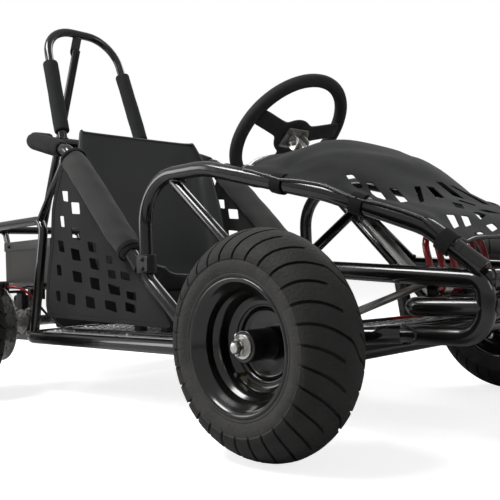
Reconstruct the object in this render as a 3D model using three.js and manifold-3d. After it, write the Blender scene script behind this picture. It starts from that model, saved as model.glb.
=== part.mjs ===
// Off road go kart: a tube frame on four knobbly tyres, with a bucket seat, a padded roll bar, cloth side
// nets and hood, direct steering, pedals, and an electric motor that drives the rear axle by a chain.
// Millimetres, +X to the front, +Y to the driver's left, +Z up, the ground at z = 0.
// Every place along X is first given from the front axle, and the whole kart is moved at the end so that
// the origin lies on the ground under the middle of its length.

import * as THREE from "three";
import { mergeVertices } from "three/addons/utils/BufferGeometryUtils.js";
import Module from "manifold-3d";

const wasm = await Module();
wasm.setup();

// Clearances
const GAP = 0.3;
const CHAIN_GAP = 0.8;
const OVERRUN = 10;

// Wheels and axles
const WHEELBASE = 990;
const FRONT_TRACK = 745;
const REAR_TRACK = 768;
const TYRE_RADIUS = 165;
const TYRE_WIDTH = 118;
const TYRE_WALL = 8;
const TYRE_BULGE = 3;
const RIM_FLANGE_RADIUS = 94;
const RIM_BEAD_RADIUS = 78;
const RIM_WELL_RADIUS = 72;
const RIM_WIDTH = 108;
const RIM_SHEET = 3;
const DISH_RADIUS = 56;
const DISH_DEPTH = 8;
const FRONT_HUB_RADIUS = 22;
const FRONT_HUB_LENGTH = 78;
const FRONT_BORE_RADIUS = 16;
const REAR_HUB_RADIUS = 22;
const REAR_HUB_LENGTH = 70;
const REAR_AXLE_RADIUS = 12.5;
const SPINDLE_RADIUS = 9;
const BEARING_WIDTH = 11;
const BEARING_SPACER_RADIUS = 12;
const NUT_RADIUS = 14;
const NUT_LENGTH = 14;
const AXLE_STICKOUT = 18;

// Frame tubes
const TUBE_RADIUS = 14;
const SLIM_TUBE_RADIUS = 11;
const BRACE_RADIUS = 10.5;
const THIN_ROD_RADIUS = 8;
const SLEEVE_WALL = 2;
const SLEEVE_LENGTH = 60;

// Lower frame and floor
const FRAME_HALF_WIDTH = 245;
const FRAME_NOSE_HALF_WIDTH = 205;
const FRAME_HEIGHT = 130;
const NOSE_HEIGHT = 164;
const REAR_CROSS_AHEAD = 55;
const WAIST_REAR_BACK = 330;
const WAIST_FRONT_BACK = 225;
const NOSE_CORNER_FRONT = 75;
const NOSE_CROSS_FRONT = 128;
const NOSE_CROSS_HALF = 150;
const FRAME_BEND = 60;
const SEAT_CROSS_REAR_AHEAD = 220;
const SEAT_CROSS_FRONT_AHEAD = 430;
const FOOT_CROSS_BACK = 90;
const AXLE_PLATE_HALF = 215;
const AXLE_PLATE_THICKNESS = 6;
const AXLE_PLATE_LENGTH = 96;
const AXLE_PLATE_RISE = 66;
const AXLE_PLATE_DROP = 46;
const FLOOR_SHEET = 2.5;
const FLOOR_REAR_AHEAD = 85;
const FLOOR_HALF_WIDTH = 228;
const FLOOR_NOSE_HALF_WIDTH = 186;
const FLOOR_FRONT = 92;
const FLOOR_CORNER_LENGTH = 42;
const FLOOR_CORNER_WIDTH = 38;

// Upper side rails
const RAIL_FOOT_BACK = 292;
const CLAMP_BACK = 442;
const CLAMP_HEIGHT = 262;
const CLAMP_HALF = 240;
const CLAMP_RADIUS = 20;
const CLAMP_LENGTH = 36;
const RAIL_TOP_HEIGHT = 456;
const RAIL_TOP_FRONT_BACK = 262;
const RAIL_TOP_HALF = 238;
const RAIL_MID_HEIGHT = 385;
const RAIL_MID_HALF = 215;
const RAIL_NOSE_HEIGHT = 322;
const RAIL_NOSE_HALF = 190;
const RAIL_NOSE_FRONT = 160;
const RAIL_KNEE_BEND = 40;
const RAIL_TOP_BEND = 105;
const RAIL_SWEEP_BEND = 160;
const RAIL_NOSE_BEND = 90;
const BRACE_TOP_BACK = 352;
const BRACE_FOOT_BACK = 52;

// Nose loops and bumper
const NOSE_FRONT = 240;
const NOSE_HALF = 178;
const LOOP_REAR_BACK = 140;
const LOOP_REAR_HEIGHT = 273;
const LOOP_TOP_HEIGHT = 243;
const LOOP_CORNER_BEND = 22;
const LOOP_BOTTOM_BEND = 60;
const BUMPER_MID_HEIGHT = 205;
const BUMPER_MID_CROSS_FRONT = 118;
const BUMPER_MID_BEND = 20;

// Roll bar, hoop and rear guard
const BAR_FOOT_BACK = 462;
const BAR_FOOT_HEIGHT = 281;
const SHOULDER_AHEAD = 252;
const SHOULDER_HEIGHT = 556;
const SHOULDER_HALF = 228;
const SHOULDER_BEND = 40;
const CROSSBAR_AHEAD = 65;
const CROSSBAR_HEIGHT = 610;
const CROSSBAR_CORNER_HALF = 214;
const CROSSBAR_BEND = 46;
const HOOP_FOOT_HALF = 126;
const HOOP_TOP_HALF = 108;
const HOOP_TOP_BEHIND = 48;
const HOOP_TOP_HEIGHT = 944;
const HOOP_BEND = 88;
const GUARD_HEIGHT = 412;
const GUARD_BEHIND = 282;
const GUARD_HALF = 204;
const GUARD_BEND = 100;
const GUARD_POST_AHEAD = 94;
const GUARD_POST_FOOT_HALF = 240;
const GUARD_POST_BEND = 40;
const TRAY_BAR_RISE = 88;
const TRAY_BAR_BEHIND = 215;
const TRAY_BAR_HALF = 190;
const TRAY_LINK_HALF = 120;
const BRACE_PLATE_LENGTH = 46;
const BRACE_PLATE_WIDTH = 26;
const BRACE_PLATE_THICKNESS = 5;

// Front axle, knuckles and steering
const KINGPIN_HALF = 290;
const KINGPIN_RADIUS = 6;
const KINGPIN_HEAD_RADIUS = 10;
const KINGPIN_HEAD_LENGTH = 6;
const KNUCKLE_RADIUS = 13;
const KNUCKLE_HALF_HEIGHT = 34;
const YOKE_PLATE = 6;
const YOKE_WIDTH = 32;
const YOKE_BACK_SPACE = 23;
const STEER_ARM_LENGTH = 76;
const STEER_ARM_RISE = 20;
const STEER_ARM_THICKNESS = 8;
const STEER_ARM_WIDTH = 16;
const TIE_ROD_RADIUS = 6;
const TIE_EYE_RADIUS = 11;
const TIE_EYE_HEIGHT = 14;
const TIE_PIN_RADIUS = 5;
const ROD_END_RADIUS = 9;
const ROD_END_LENGTH = 14;
const WHEEL_CENTRE_BACK = 267;
const WHEEL_CENTRE_HEIGHT = 544;
const STEERING_RING_RADIUS = 127;
const STEERING_GRIP_RADIUS = 13;
const STEERING_TILT = THREE.MathUtils.degToRad(46);
const SPOKE_WIDTH = 30;
const SPOKE_THICKNESS = 5;
const SPOKE_DROP = 14;
const HUB_DISC_RADIUS = 43;
const HUB_PLATE_WIDTH = 62;
const HUB_PLATE_DEPTH = 46;
const HUB_PLATE_THICKNESS = 6;
const COLUMN_RADIUS = 10;
const COLUMN_LENGTH = 470;
const PITMAN_FROM_END = 26;
const PITMAN_LENGTH = 45;
const PITMAN_THICKNESS = 6;
const PITMAN_WIDTH = 20;
const BUSH_RADIUS = 18;
const BUSH_LENGTH = 30;
const FOOT_BUSH_LENGTH = 16;
const SUPPORT_BACK = 100;
const SUPPORT_LEG_RADIUS = 9;

// Seat
const SEAT_HALF_WIDTH = 190;
const SEAT_SIDE_GAP = 1;
const SEAT_SHEET = 5;
const SEAT_FRONT_AHEAD = 550;
const SEAT_FRONT_HEIGHT = 262;
const SEAT_PAN_HEIGHT = 236;
const SEAT_HEEL_AHEAD = 290;
const SEAT_TOP_AHEAD = 206;
const SEAT_TOP_HEIGHT = 612;
const SEAT_SIDE_RISE = 62;
const SEAT_STAND_HALF = 130;
const SEAT_STAND_TUBE = 20;

// Padding and cloth
const BAR_SLEEVE_RADIUS = 30;
const SHOULDER_PAD_RADIUS = 22;
const HOOP_PAD_RADIUS = 19.5;
const HOOP_PAD_FROM = 34;
const HOOP_PAD_LENGTH = 206;
const NET_SHEET = 3;
const NET_REAR_AHEAD = 158;
const NET_REAR_TOP_HEIGHT = 428;
const NET_FRONT_BACK = 385;
const NET_BOTTOM_HEIGHT = 163;
const NET_EDGE_MARGIN = 34;
const NET_HOLE_WIDTH = 28;
const NET_HOLE_HEIGHT = 31;
const NET_COLUMN_PITCH = 64;
const NET_ROW_PITCH = 49;
const HOOD_SHEET = 3;
const HOOD_REAR_BACK = 215;
const HOOD_FRONT = 206;
const HOOD_CROWN = 84;
const HOOD_HOLE = 30;
const HOOD_HOLE_ROWS = 6;
const HOOD_HOLE_COLUMNS = 6;

// Battery box
const BOX_FRONT_AHEAD = 60;
const BOX_LENGTH = 250;
const BOX_HALF_WIDTH = 168;
const BOX_HEIGHT = 108;
const BOX_SHEET = 2;
const LID_HEIGHT = 24;
const CELL_MARGIN = 9;

// Drive and brake
const CHAIN_PITCH = 8;
const SPROCKET_TEETH = 54;
const PINION_TEETH = 11;
const CHAIN_HALF = 275;
const SPROCKET_THICKNESS = 4;
const SPROCKET_HUB_RADIUS = 24;
const SPROCKET_HUB_LENGTH = 20;
const CHAIN_THICKNESS = 6;
const CHAIN_WIDTH = 8;
const MOTOR_AHEAD = 128;
const MOTOR_HEIGHT = 205;
const MOTOR_RADIUS = 52;
const MOTOR_LENGTH = 138;
const MOTOR_OUTER_HALF = 208;
const MOTOR_SHAFT_RADIUS = 6;
const MOTOR_FOOT_WIDTH = 90;
const DISC_HALF = 280;
const DISC_RADIUS = 90;
const DISC_THICKNESS = 3;
const DISC_HUB_RADIUS = 24;
const DISC_HUB_LENGTH = 18;
const CALIPER_LENGTH = 56;
const CALIPER_WIDTH = 34;
const CALIPER_HEIGHT = 36;
const CALIPER_SLOT = 5;
const BEARING_CARRIER_RADIUS = 31;
const BEARING_CARRIER_WIDTH = 16;

// Pedals
const PEDAL_HALF = 56;
const PEDAL_LENGTH = 90;
const PEDAL_LOOP_HALF = 37;
const PEDAL_ROD_RADIUS = 5.5;
const PEDAL_BEND = 34;
const PEDAL_LEAN = THREE.MathUtils.degToRad(14);
const PEDAL_HUB_RADIUS = 9.5;
const PEDAL_HUB_LENGTH = 86;
const PEDAL_PIN_RADIUS = 5;
const PEDAL_PIN_BACK = 6;
const PEDAL_PIN_CLEARANCE = 3;
const PEDAL_END_PLAY = 1;
const PEDAL_EAR_THICKNESS = 5;

// Brake cable
const CABLE_RADIUS = 3;
const CABLE_STOP_HALF = 116;
const CABLE_STOP_LENGTH = 16;
const CABLE_STOP_THICKNESS = 12;
const CABLE_STOP_DROP = 5;
const CABLE_STOP_HOLD = 4;

// Counts of facets
const WHEEL_SIDES = 26;
const RIM_SIDES = 16;
const TUBE_SIDES = 8;
const SLIM_SIDES = 8;
const ROUND_SIDES = 12;
const DISC_SIDES = 20;
const BEND_STEP = THREE.MathUtils.degToRad(31);

// Places behind the front axle that keep their distance from the rear axle
const REAR_CROSS_BACK = WHEELBASE - REAR_CROSS_AHEAD;
const SEAT_CROSS_REAR_BACK = WHEELBASE - SEAT_CROSS_REAR_AHEAD;
const SEAT_CROSS_FRONT_BACK = WHEELBASE - SEAT_CROSS_FRONT_AHEAD;
const FLOOR_REAR_BACK = WHEELBASE - FLOOR_REAR_AHEAD;
const SHOULDER_BACK = WHEELBASE - SHOULDER_AHEAD;
const CROSSBAR_BACK = WHEELBASE - CROSSBAR_AHEAD;
const HOOP_TOP_BACK = WHEELBASE + HOOP_TOP_BEHIND;
const GUARD_BACK = WHEELBASE + GUARD_BEHIND;
const GUARD_POST_BACK = WHEELBASE - GUARD_POST_AHEAD;
const TRAY_BAR_BACK = WHEELBASE + TRAY_BAR_BEHIND;
const SEAT_FRONT_BACK = WHEELBASE - SEAT_FRONT_AHEAD;
const SEAT_HEEL_BACK = WHEELBASE - SEAT_HEEL_AHEAD;
const SEAT_TOP_BACK = WHEELBASE - SEAT_TOP_AHEAD;
const NET_REAR_BACK = WHEELBASE - NET_REAR_AHEAD;
const BOX_FRONT_BACK = WHEELBASE - BOX_FRONT_AHEAD;
const MOTOR_BACK = WHEELBASE - MOTOR_AHEAD;

// Sizes that follow
const AXLE_HEIGHT = TYRE_RADIUS * Math.cos(Math.PI / WHEEL_SIDES);
const SPROCKET_RADIUS = (CHAIN_PITCH * SPROCKET_TEETH) / (2 * Math.PI);
const PINION_RADIUS = (CHAIN_PITCH * PINION_TEETH) / (2 * Math.PI);
const NOSE_REACH = NOSE_FRONT + TUBE_RADIUS;
const GUARD_REACH = GUARD_BACK + SLIM_TUBE_RADIUS;
const ORIGIN_SHIFT = (GUARD_REACH - NOSE_REACH) / 2;
const TRAY_BAR_HEIGHT = AXLE_HEIGHT + TRAY_BAR_RISE;
const SEAT_BACK_HALF_WIDTH = SHOULDER_HALF - BAR_SLEEVE_RADIUS - SEAT_SHEET - SEAT_SIDE_GAP;
const RIGHT = -1;
const LEFT = 1;
const SIDES = [
  { side: RIGHT, word: "right" },
  { side: LEFT, word: "left" },
];

// Finishes
const finish = (color, roughness, metalness) =>
  new THREE.MeshStandardMaterial({ color, roughness, metalness });
const GLOSS_BLACK = finish(0x161616, 0.22, 0.3);
const SATIN_BLACK = finish(0x202020, 0.5, 0.2);
const TYRE_RUBBER = finish(0x2b2a29, 0.85, 0);
const SEAT_PLASTIC = finish(0x2a2a2c, 0.6, 0);
const PAD_CLOTH = finish(0x2c2d2e, 0.95, 0);
const NET_CLOTH = finish(0x323334, 0.95, 0);
const GRIP_FOAM = finish(0x1b1b1b, 0.8, 0);
const BRIGHT_STEEL = finish(0xb8b8b6, 0.35, 0.9);
const GREY_METAL = finish(0x8d8a86, 0.5, 0.7);
const CHEQUER_ALUMINIUM = finish(0xc4c5c6, 0.4, 0.9);
const BOX_GREY = finish(0x4a4744, 0.45, 0.4);
const CELL_GREY = finish(0x55585c, 0.7, 0);
const CABLE_RED = finish(0xa5121a, 0.35, 0);
const GLOSS_RED = finish(0x8c0f16, 0.2, 0);

// A point on one side of the kart, its second number measured outwards from the middle
const at = (side, x, outward, z, bend) => ({ point: new THREE.Vector3(x, side * outward, z), bend });

// The centre line of a bent tube: straight runs with a round bend at every inner corner
class BentLine extends THREE.Curve {
  constructor(corners) {
    super();
    this.stations = BentLine.stationsOf(corners);
  }

  static stationsOf(corners) {
    const stations = [];
    const last = corners.length - 1;
    const runs = corners.slice(1).map((corner, index) => corner.point.clone().sub(corners[index].point));
    const ways = runs.map((run) => run.clone().normalize());
    stations.push({ point: corners[0].point, tangent: ways[0] });
    for (let index = 1; index < last; index += 1) {
      const before = ways[index - 1];
      const after = ways[index];
      const angle = before.angleTo(after);
      const room = Math.min(runs[index - 1].length(), runs[index].length()) / 2;
      const trim = Math.min(corners[index].bend * Math.tan(angle / 2), room);
      const bend = trim / Math.tan(angle / 2);
      const inward = after.clone().addScaledVector(before, -after.dot(before)).normalize();
      const start = corners[index].point.clone().addScaledVector(before, -trim);
      const steps = Math.max(1, Math.ceil(angle / BEND_STEP));
      for (let step = 0; step <= steps; step += 1) {
        const turn = (angle * step) / steps;
        const point = start.clone().addScaledVector(before, bend * Math.sin(turn));
        point.addScaledVector(inward, bend * (1 - Math.cos(turn)));
        const tangent = before.clone().multiplyScalar(Math.cos(turn)).addScaledVector(inward, Math.sin(turn));
        stations.push({ point, tangent });
      }
    }
    stations.push({ point: corners[last].point, tangent: ways[last - 1] });
    return stations;
  }

  getUtoTmapping(share) {
    return share;
  }

  getPoint(share, target = new THREE.Vector3()) {
    const last = this.stations.length - 1;
    const index = Math.min(Math.floor(share * last), last - 1);
    const between = share * last - index;
    return target.lerpVectors(this.stations[index].point, this.stations[index + 1].point, between);
  }

  getTangent(share, target = new THREE.Vector3()) {
    const last = this.stations.length - 1;
    return target.copy(this.stations[Math.round(share * last)].tangent);
  }
}

// A closed mesh as a solid that can be cut and joined
function solidOf(geometry) {
  const bare = geometry.clone();
  bare.deleteAttribute("normal");
  bare.deleteAttribute("uv");
  const merged = mergeVertices(bare);
  const mesh = new wasm.Mesh({
    numProp: 3,
    vertProperties: new Float32Array(merged.attributes.position.array),
    triVerts: new Uint32Array(merged.index.array),
  });
  return new wasm.Manifold(mesh);
}

const join = (solids) => solids.reduce((whole, solid) => whole.add(solid));
const cut = (solid, tools) => tools.reduce((left, tool) => left.subtract(tool), solid);

// A regular outline, its first corner half a side round so that a flat side faces along the axes
function roundOutline(radius, sides) {
  const points = [];
  for (let index = 0; index < sides; index += 1) {
    const turn = ((index + 1 / 2) / sides) * 2 * Math.PI;
    points.push(new THREE.Vector2(radius * Math.cos(turn), radius * Math.sin(turn)));
  }
  return new THREE.Shape(points);
}

// A tube along bent corners
function tube(corners, radius, sides = TUBE_SIDES) {
  const line = new BentLine(corners);
  const steps = line.stations.length - 1;
  const settings = { steps, extrudePath: line, bevelEnabled: false };
  return solidOf(new THREE.ExtrudeGeometry(roundOutline(radius, sides), settings));
}

// The radius of a faceted hole that a round of the given radius passes with the gap
function bored(radius, sides = ROUND_SIDES) {
  return (radius + GAP) / Math.cos(Math.PI / sides);
}

// A straight round bar between two points
function rod(from, to, radius, sides = ROUND_SIDES) {
  return tube([{ point: from }, { point: to }], radius, sides);
}

// A box by its middle and its three sizes
function block(centre, sizes) {
  const geometry = new THREE.BoxGeometry(sizes.x, sizes.y, sizes.z);
  geometry.translate(centre.x, centre.y, centre.z);
  return solidOf(geometry);
}

// A turned part whose axis lies along Y; the profile holds radius and place along the axis
function turned(profile, centre, side, sides) {
  const points = profile.map(([radius, along]) => new THREE.Vector2(radius, along));
  points.push(points[0].clone());
  const geometry = new THREE.LatheGeometry(points, sides, Math.PI / sides);
  const matrix = new THREE.Matrix4();
  if (side === RIGHT) {
    matrix.makeRotationX(Math.PI);
  }
  matrix.setPosition(centre);
  geometry.applyMatrix4(matrix);
  const solid = solidOf(geometry);
  return solid.volume() > 0 ? solid : solidOf(turnedInsideOut(geometry));
}

// The same mesh with every face pointing the other way
function turnedInsideOut(geometry) {
  const flipped = geometry.clone();
  const order = Array.from(flipped.index.array);
  for (let index = 0; index < order.length; index += 3) {
    [order[index], order[index + 1]] = [order[index + 1], order[index]];
  }
  flipped.setIndex(order);
  return flipped;
}

// A flat plate: an outline in its own plane, its middle at a place, with its three directions
function plate(outline, thickness, centre, across, up) {
  const through = across.clone().cross(up);
  const settings = { depth: thickness, bevelEnabled: false };
  const geometry = new THREE.ExtrudeGeometry(new THREE.Shape(outline), settings);
  geometry.translate(0, 0, -thickness / 2);
  const matrix = new THREE.Matrix4().makeBasis(across, up, through).setPosition(centre);
  return solidOf(geometry.applyMatrix4(matrix));
}

// A sheet with a thickness over a grid of places, closed at its rim and round every cell left out
function sheet(rows, thickness, isOpen = () => false) {
  const height = rows.length;
  const width = rows[0].length;
  const placeOf = (row, column) =>
    rows[THREE.MathUtils.clamp(row, 0, height - 1)][THREE.MathUtils.clamp(column, 0, width - 1)];
  const lower = [];
  const upper = [];
  for (let row = 0; row < height; row += 1) {
    for (let column = 0; column < width; column += 1) {
      const along = placeOf(row + 1, column).clone().sub(placeOf(row - 1, column));
      const across = placeOf(row, column + 1).clone().sub(placeOf(row, column - 1));
      const normal = along.cross(across).normalize();
      lower.push(placeOf(row, column));
      upper.push(placeOf(row, column).clone().addScaledVector(normal, thickness));
    }
  }
  const count = width * height;
  const faces = [];
  const quad = (first, second, third, fourth) => faces.push(first, second, third, first, third, fourth);
  const isKept = (row, column) =>
    row >= 0 && column >= 0 && row + 1 < height && column + 1 < width && !isOpen(row, column);
  const wall = (from, to) => quad(from, to, count + to, count + from);
  for (let row = 0; row + 1 < height; row += 1) {
    for (let column = 0; column + 1 < width; column += 1) {
      if (isKept(row, column)) {
        const near = row * width + column;
        const far = near + width;
        quad(near, near + 1, far + 1, far);
        quad(count + near, count + far, count + far + 1, count + near + 1);
        const edges = [
          [row - 1, column, near + 1, near],
          [row + 1, column, far, far + 1],
          [row, column - 1, near, far],
          [row, column + 1, far + 1, near + 1],
        ];
        for (const [nextRow, nextColumn, from, to] of edges) {
          if (!isKept(nextRow, nextColumn)) {
            wall(from, to);
          }
        }
      }
    }
  }
  const geometry = new THREE.BufferGeometry();
  const positions = [...lower, ...upper].flatMap((point) => point.toArray());
  geometry.setAttribute("position", new THREE.Float32BufferAttribute(positions, 3));
  geometry.setIndex(faces);
  const solid = solidOf(geometry);
  return solid.volume() > 0 ? solid : solidOf(turnedInsideOut(geometry));
}

// Directions
const FORWARD = new THREE.Vector3(1, 0, 0);
const ACROSS = new THREE.Vector3(0, 1, 0);
const UP = new THREE.Vector3(0, 0, 1);

const kart = new THREE.Group();
kart.position.x = ORIGIN_SHIFT;

// Puts a finished solid on the kart under its own name
function place(name, solid, material) {
  const result = solid.getMesh();
  const geometry = new THREE.BufferGeometry();
  const stride = result.numProp;
  const positions = [];
  for (let index = 0; index < result.vertProperties.length; index += stride) {
    positions.push(...result.vertProperties.slice(index, index + 3));
  }
  geometry.setAttribute("position", new THREE.Float32BufferAttribute(positions, 3));
  geometry.setIndex(Array.from(result.triVerts));
  const mesh = new THREE.Mesh(geometry, material);
  mesh.name = name;
  kart.add(mesh);
}

// Height of the lower rail's centre line at a place along the kart
function railHeightAt(x) {
  const share = THREE.MathUtils.clamp((x + WAIST_REAR_BACK) / (NOSE_CORNER_FRONT + WAIST_REAR_BACK), 0, 1);
  return THREE.MathUtils.lerp(FRAME_HEIGHT, NOSE_HEIGHT, share);
}

// Lower frame: one bent ring of tube with cross tubes and axle plates
function lowerRing(radius) {
  const waistHeight = railHeightAt(-WAIST_FRONT_BACK);
  const halfRing = (side) => [
    at(side, -REAR_CROSS_BACK, 0, FRAME_HEIGHT),
    at(side, -REAR_CROSS_BACK, FRAME_HALF_WIDTH, FRAME_HEIGHT, FRAME_BEND),
    at(side, -WAIST_REAR_BACK, FRAME_HALF_WIDTH, FRAME_HEIGHT, FRAME_BEND),
    at(side, -WAIST_FRONT_BACK, FRAME_NOSE_HALF_WIDTH, waistHeight, FRAME_BEND),
    at(side, NOSE_CORNER_FRONT, FRAME_NOSE_HALF_WIDTH, NOSE_HEIGHT, FRAME_BEND),
    at(side, NOSE_CROSS_FRONT, NOSE_CROSS_HALF, NOSE_HEIGHT, FRAME_BEND),
  ];
  const ring = [...halfRing(RIGHT), ...halfRing(LEFT).reverse()];
  const seam = new THREE.Vector3(-REAR_CROSS_BACK, 0, FRAME_HEIGHT);
  ring[0].point.y = -GAP;
  ring[ring.length - 1].point.y = GAP;
  const half = ACROSS.clone().multiplyScalar(SLEEVE_LENGTH / 2);
  const sleeve = rod(seam.clone().sub(half), seam.clone().add(half), radius + SLEEVE_WALL, ROUND_SIDES);
  return tube(ring, radius).add(sleeve);
}

function crossTube(x, half, height, radius) {
  return rod(new THREE.Vector3(x, -half, height), new THREE.Vector3(x, half, height), radius, SLIM_SIDES);
}

const FOOT_CROSS_HEIGHT = railHeightAt(-FOOT_CROSS_BACK - SLIM_TUBE_RADIUS);
const FLOOR_BOTTOM = FRAME_HEIGHT + SLIM_TUBE_RADIUS * Math.cos(Math.PI / SLIM_SIDES) + GAP;
const FLOOR_TOP = FLOOR_BOTTOM + FLOOR_SHEET;

function axleLine(radius, sides) {
  const end = (side) => new THREE.Vector3(-WHEELBASE, (side * REAR_TRACK) / 2, AXLE_HEIGHT);
  return rod(end(RIGHT), end(LEFT), radius, sides);
}

function axlePlate(side) {
  const rear = -WHEELBASE - AXLE_PLATE_LENGTH / 2;
  const front = -REAR_CROSS_BACK;
  const height = AXLE_PLATE_RISE + AXLE_PLATE_DROP;
  const middle = AXLE_HEIGHT + (AXLE_PLATE_RISE - AXLE_PLATE_DROP) / 2;
  const centre = new THREE.Vector3((rear + front) / 2, side * AXLE_PLATE_HALF, middle);
  return block(centre, new THREE.Vector3(front - rear, AXLE_PLATE_THICKNESS, height));
}

function lowerFrame() {
  const pieces = [
    lowerRing(TUBE_RADIUS),
    crossTube(-SEAT_CROSS_REAR_BACK, FRAME_HALF_WIDTH, FRAME_HEIGHT, SLIM_TUBE_RADIUS),
    crossTube(-SEAT_CROSS_FRONT_BACK, FRAME_HALF_WIDTH, FRAME_HEIGHT, SLIM_TUBE_RADIUS),
    crossTube(-WAIST_REAR_BACK, FRAME_HALF_WIDTH, FRAME_HEIGHT, SLIM_TUBE_RADIUS),
    crossTube(-FOOT_CROSS_BACK, FRAME_NOSE_HALF_WIDTH, FOOT_CROSS_HEIGHT, SLIM_TUBE_RADIUS),
    axlePlate(RIGHT),
    axlePlate(LEFT),
  ];
  return cut(join(pieces), [axleLine(bored(BEARING_CARRIER_RADIUS, DISC_SIDES), DISC_SIDES)]);
}

place("lower_frame", lowerFrame(), GLOSS_BLACK);

// Floor pan: a sheet bent up to the nose and narrowed there, lying on the cross tubes
function floorPan() {
  const profile = [
    [-FLOOR_REAR_BACK, FLOOR_BOTTOM],
    [-WAIST_REAR_BACK, FLOOR_BOTTOM],
    [FLOOR_FRONT, FLOOR_BOTTOM + railHeightAt(FLOOR_FRONT) - FRAME_HEIGHT],
  ];
  const under = profile.map(([x, z]) => new THREE.Vector2(x, z));
  const over = profile.map(([x, z]) => new THREE.Vector2(x, z + FLOOR_SHEET)).reverse();
  const span = 2 * FLOOR_HALF_WIDTH;
  const side = plate([...under, ...over], span, new THREE.Vector3(), FORWARD, UP);
  const plan = [
    [-FLOOR_REAR_BACK, FLOOR_HALF_WIDTH - FLOOR_CORNER_WIDTH],
    [-FLOOR_REAR_BACK + FLOOR_CORNER_LENGTH, FLOOR_HALF_WIDTH],
    [-WAIST_REAR_BACK, FLOOR_HALF_WIDTH],
    [-WAIST_FRONT_BACK, FLOOR_NOSE_HALF_WIDTH],
    [FLOOR_FRONT - FLOOR_CORNER_LENGTH, FLOOR_NOSE_HALF_WIDTH],
    [FLOOR_FRONT, FLOOR_NOSE_HALF_WIDTH - FLOOR_CORNER_WIDTH],
  ];
  const near = plan.map(([x, y]) => new THREE.Vector2(x, -y));
  const far = plan.map(([x, y]) => new THREE.Vector2(x, y)).reverse();
  const middle = new THREE.Vector3(0, 0, NOSE_HEIGHT);
  return side.intersect(plate([...near, ...far], 2 * NOSE_HEIGHT, middle, FORWARD, ACROSS));
}

place("floor_pan", floorPan(), CHEQUER_ALUMINIUM);

// Front axle beam under the rails, with a yoke at each end
const BEAM_HEIGHT = railHeightAt(0) - 2 * TUBE_RADIUS - GAP;
const YOKE_BACK_HALF = KINGPIN_HALF - YOKE_BACK_SPACE;
const YOKE_TOP = AXLE_HEIGHT + KNUCKLE_HALF_HEIGHT + GAP;
const YOKE_BOTTOM = AXLE_HEIGHT - KNUCKLE_HALF_HEIGHT - GAP;

function kingpinLine(side, radius, low, high, sides = ROUND_SIDES) {
  const y = side * KINGPIN_HALF;
  return rod(new THREE.Vector3(0, y, low), new THREE.Vector3(0, y, high), radius, sides);
}

function yoke(side) {
  const reach = YOKE_BACK_SPACE + YOKE_WIDTH / 2;
  const armCentre = side * (YOKE_BACK_HALF + reach / 2);
  const armSize = new THREE.Vector3(YOKE_WIDTH, reach, YOKE_PLATE);
  const arm = (z) => block(new THREE.Vector3(0, armCentre, z), armSize);
  const height = YOKE_TOP - YOKE_BOTTOM + 2 * YOKE_PLATE;
  const back = block(
    new THREE.Vector3(0, side * (YOKE_BACK_HALF + YOKE_PLATE / 2), AXLE_HEIGHT),
    new THREE.Vector3(YOKE_WIDTH, YOKE_PLATE, height),
  );
  return join([arm(YOKE_TOP + YOKE_PLATE / 2), arm(YOKE_BOTTOM - YOKE_PLATE / 2), back]);
}

function frontAxleBeam() {
  const beam = rod(
    new THREE.Vector3(0, -YOKE_BACK_HALF - YOKE_PLATE / 2, BEAM_HEIGHT),
    new THREE.Vector3(0, YOKE_BACK_HALF + YOKE_PLATE / 2, BEAM_HEIGHT),
    TUBE_RADIUS,
    TUBE_SIDES,
  );
  const bores = SIDES.map(({ side }) => kingpinLine(side, bored(KINGPIN_RADIUS), 0, 2 * AXLE_HEIGHT));
  return cut(join([beam, yoke(RIGHT), yoke(LEFT)]), bores);
}

place("front_axle_beam", frontAxleBeam(), GLOSS_BLACK);

// Upper side rails: from the floor up through the clamp, over the knees and down to the nose
const RAIL_FOOT_HALF = (FRAME_HALF_WIDTH + CLAMP_HALF - TUBE_RADIUS) / 2;

function railCorners(side) {
  return [
    at(side, -RAIL_FOOT_BACK, RAIL_FOOT_HALF, FRAME_HEIGHT + TUBE_RADIUS / 2),
    at(side, -CLAMP_BACK, CLAMP_HALF, CLAMP_HEIGHT, RAIL_KNEE_BEND),
    at(side, -CLAMP_BACK, CLAMP_HALF, RAIL_TOP_HEIGHT, RAIL_TOP_BEND),
    at(side, -RAIL_TOP_FRONT_BACK, RAIL_TOP_HALF, RAIL_TOP_HEIGHT, RAIL_SWEEP_BEND),
    at(side, 0, RAIL_MID_HALF, RAIL_MID_HEIGHT, RAIL_SWEEP_BEND),
    at(side, RAIL_NOSE_FRONT, RAIL_NOSE_HALF, RAIL_NOSE_HEIGHT, RAIL_NOSE_BEND),
    at(side, NOSE_FRONT, NOSE_HALF, LOOP_TOP_HEIGHT + TUBE_RADIUS),
  ];
}

function braceCorners(side) {
  return [
    at(side, -BRACE_TOP_BACK, RAIL_TOP_HALF, RAIL_TOP_HEIGHT - TUBE_RADIUS),
    at(side, -BRACE_FOOT_BACK, FRAME_NOSE_HALF_WIDTH, railHeightAt(-BRACE_FOOT_BACK)),
  ];
}

function clampCollar(side, radius) {
  const low = new THREE.Vector3(-CLAMP_BACK, side * CLAMP_HALF, CLAMP_HEIGHT + CLAMP_LENGTH / 4);
  const high = low.clone().addScaledVector(UP, CLAMP_LENGTH);
  return rod(low, high, radius);
}

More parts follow.
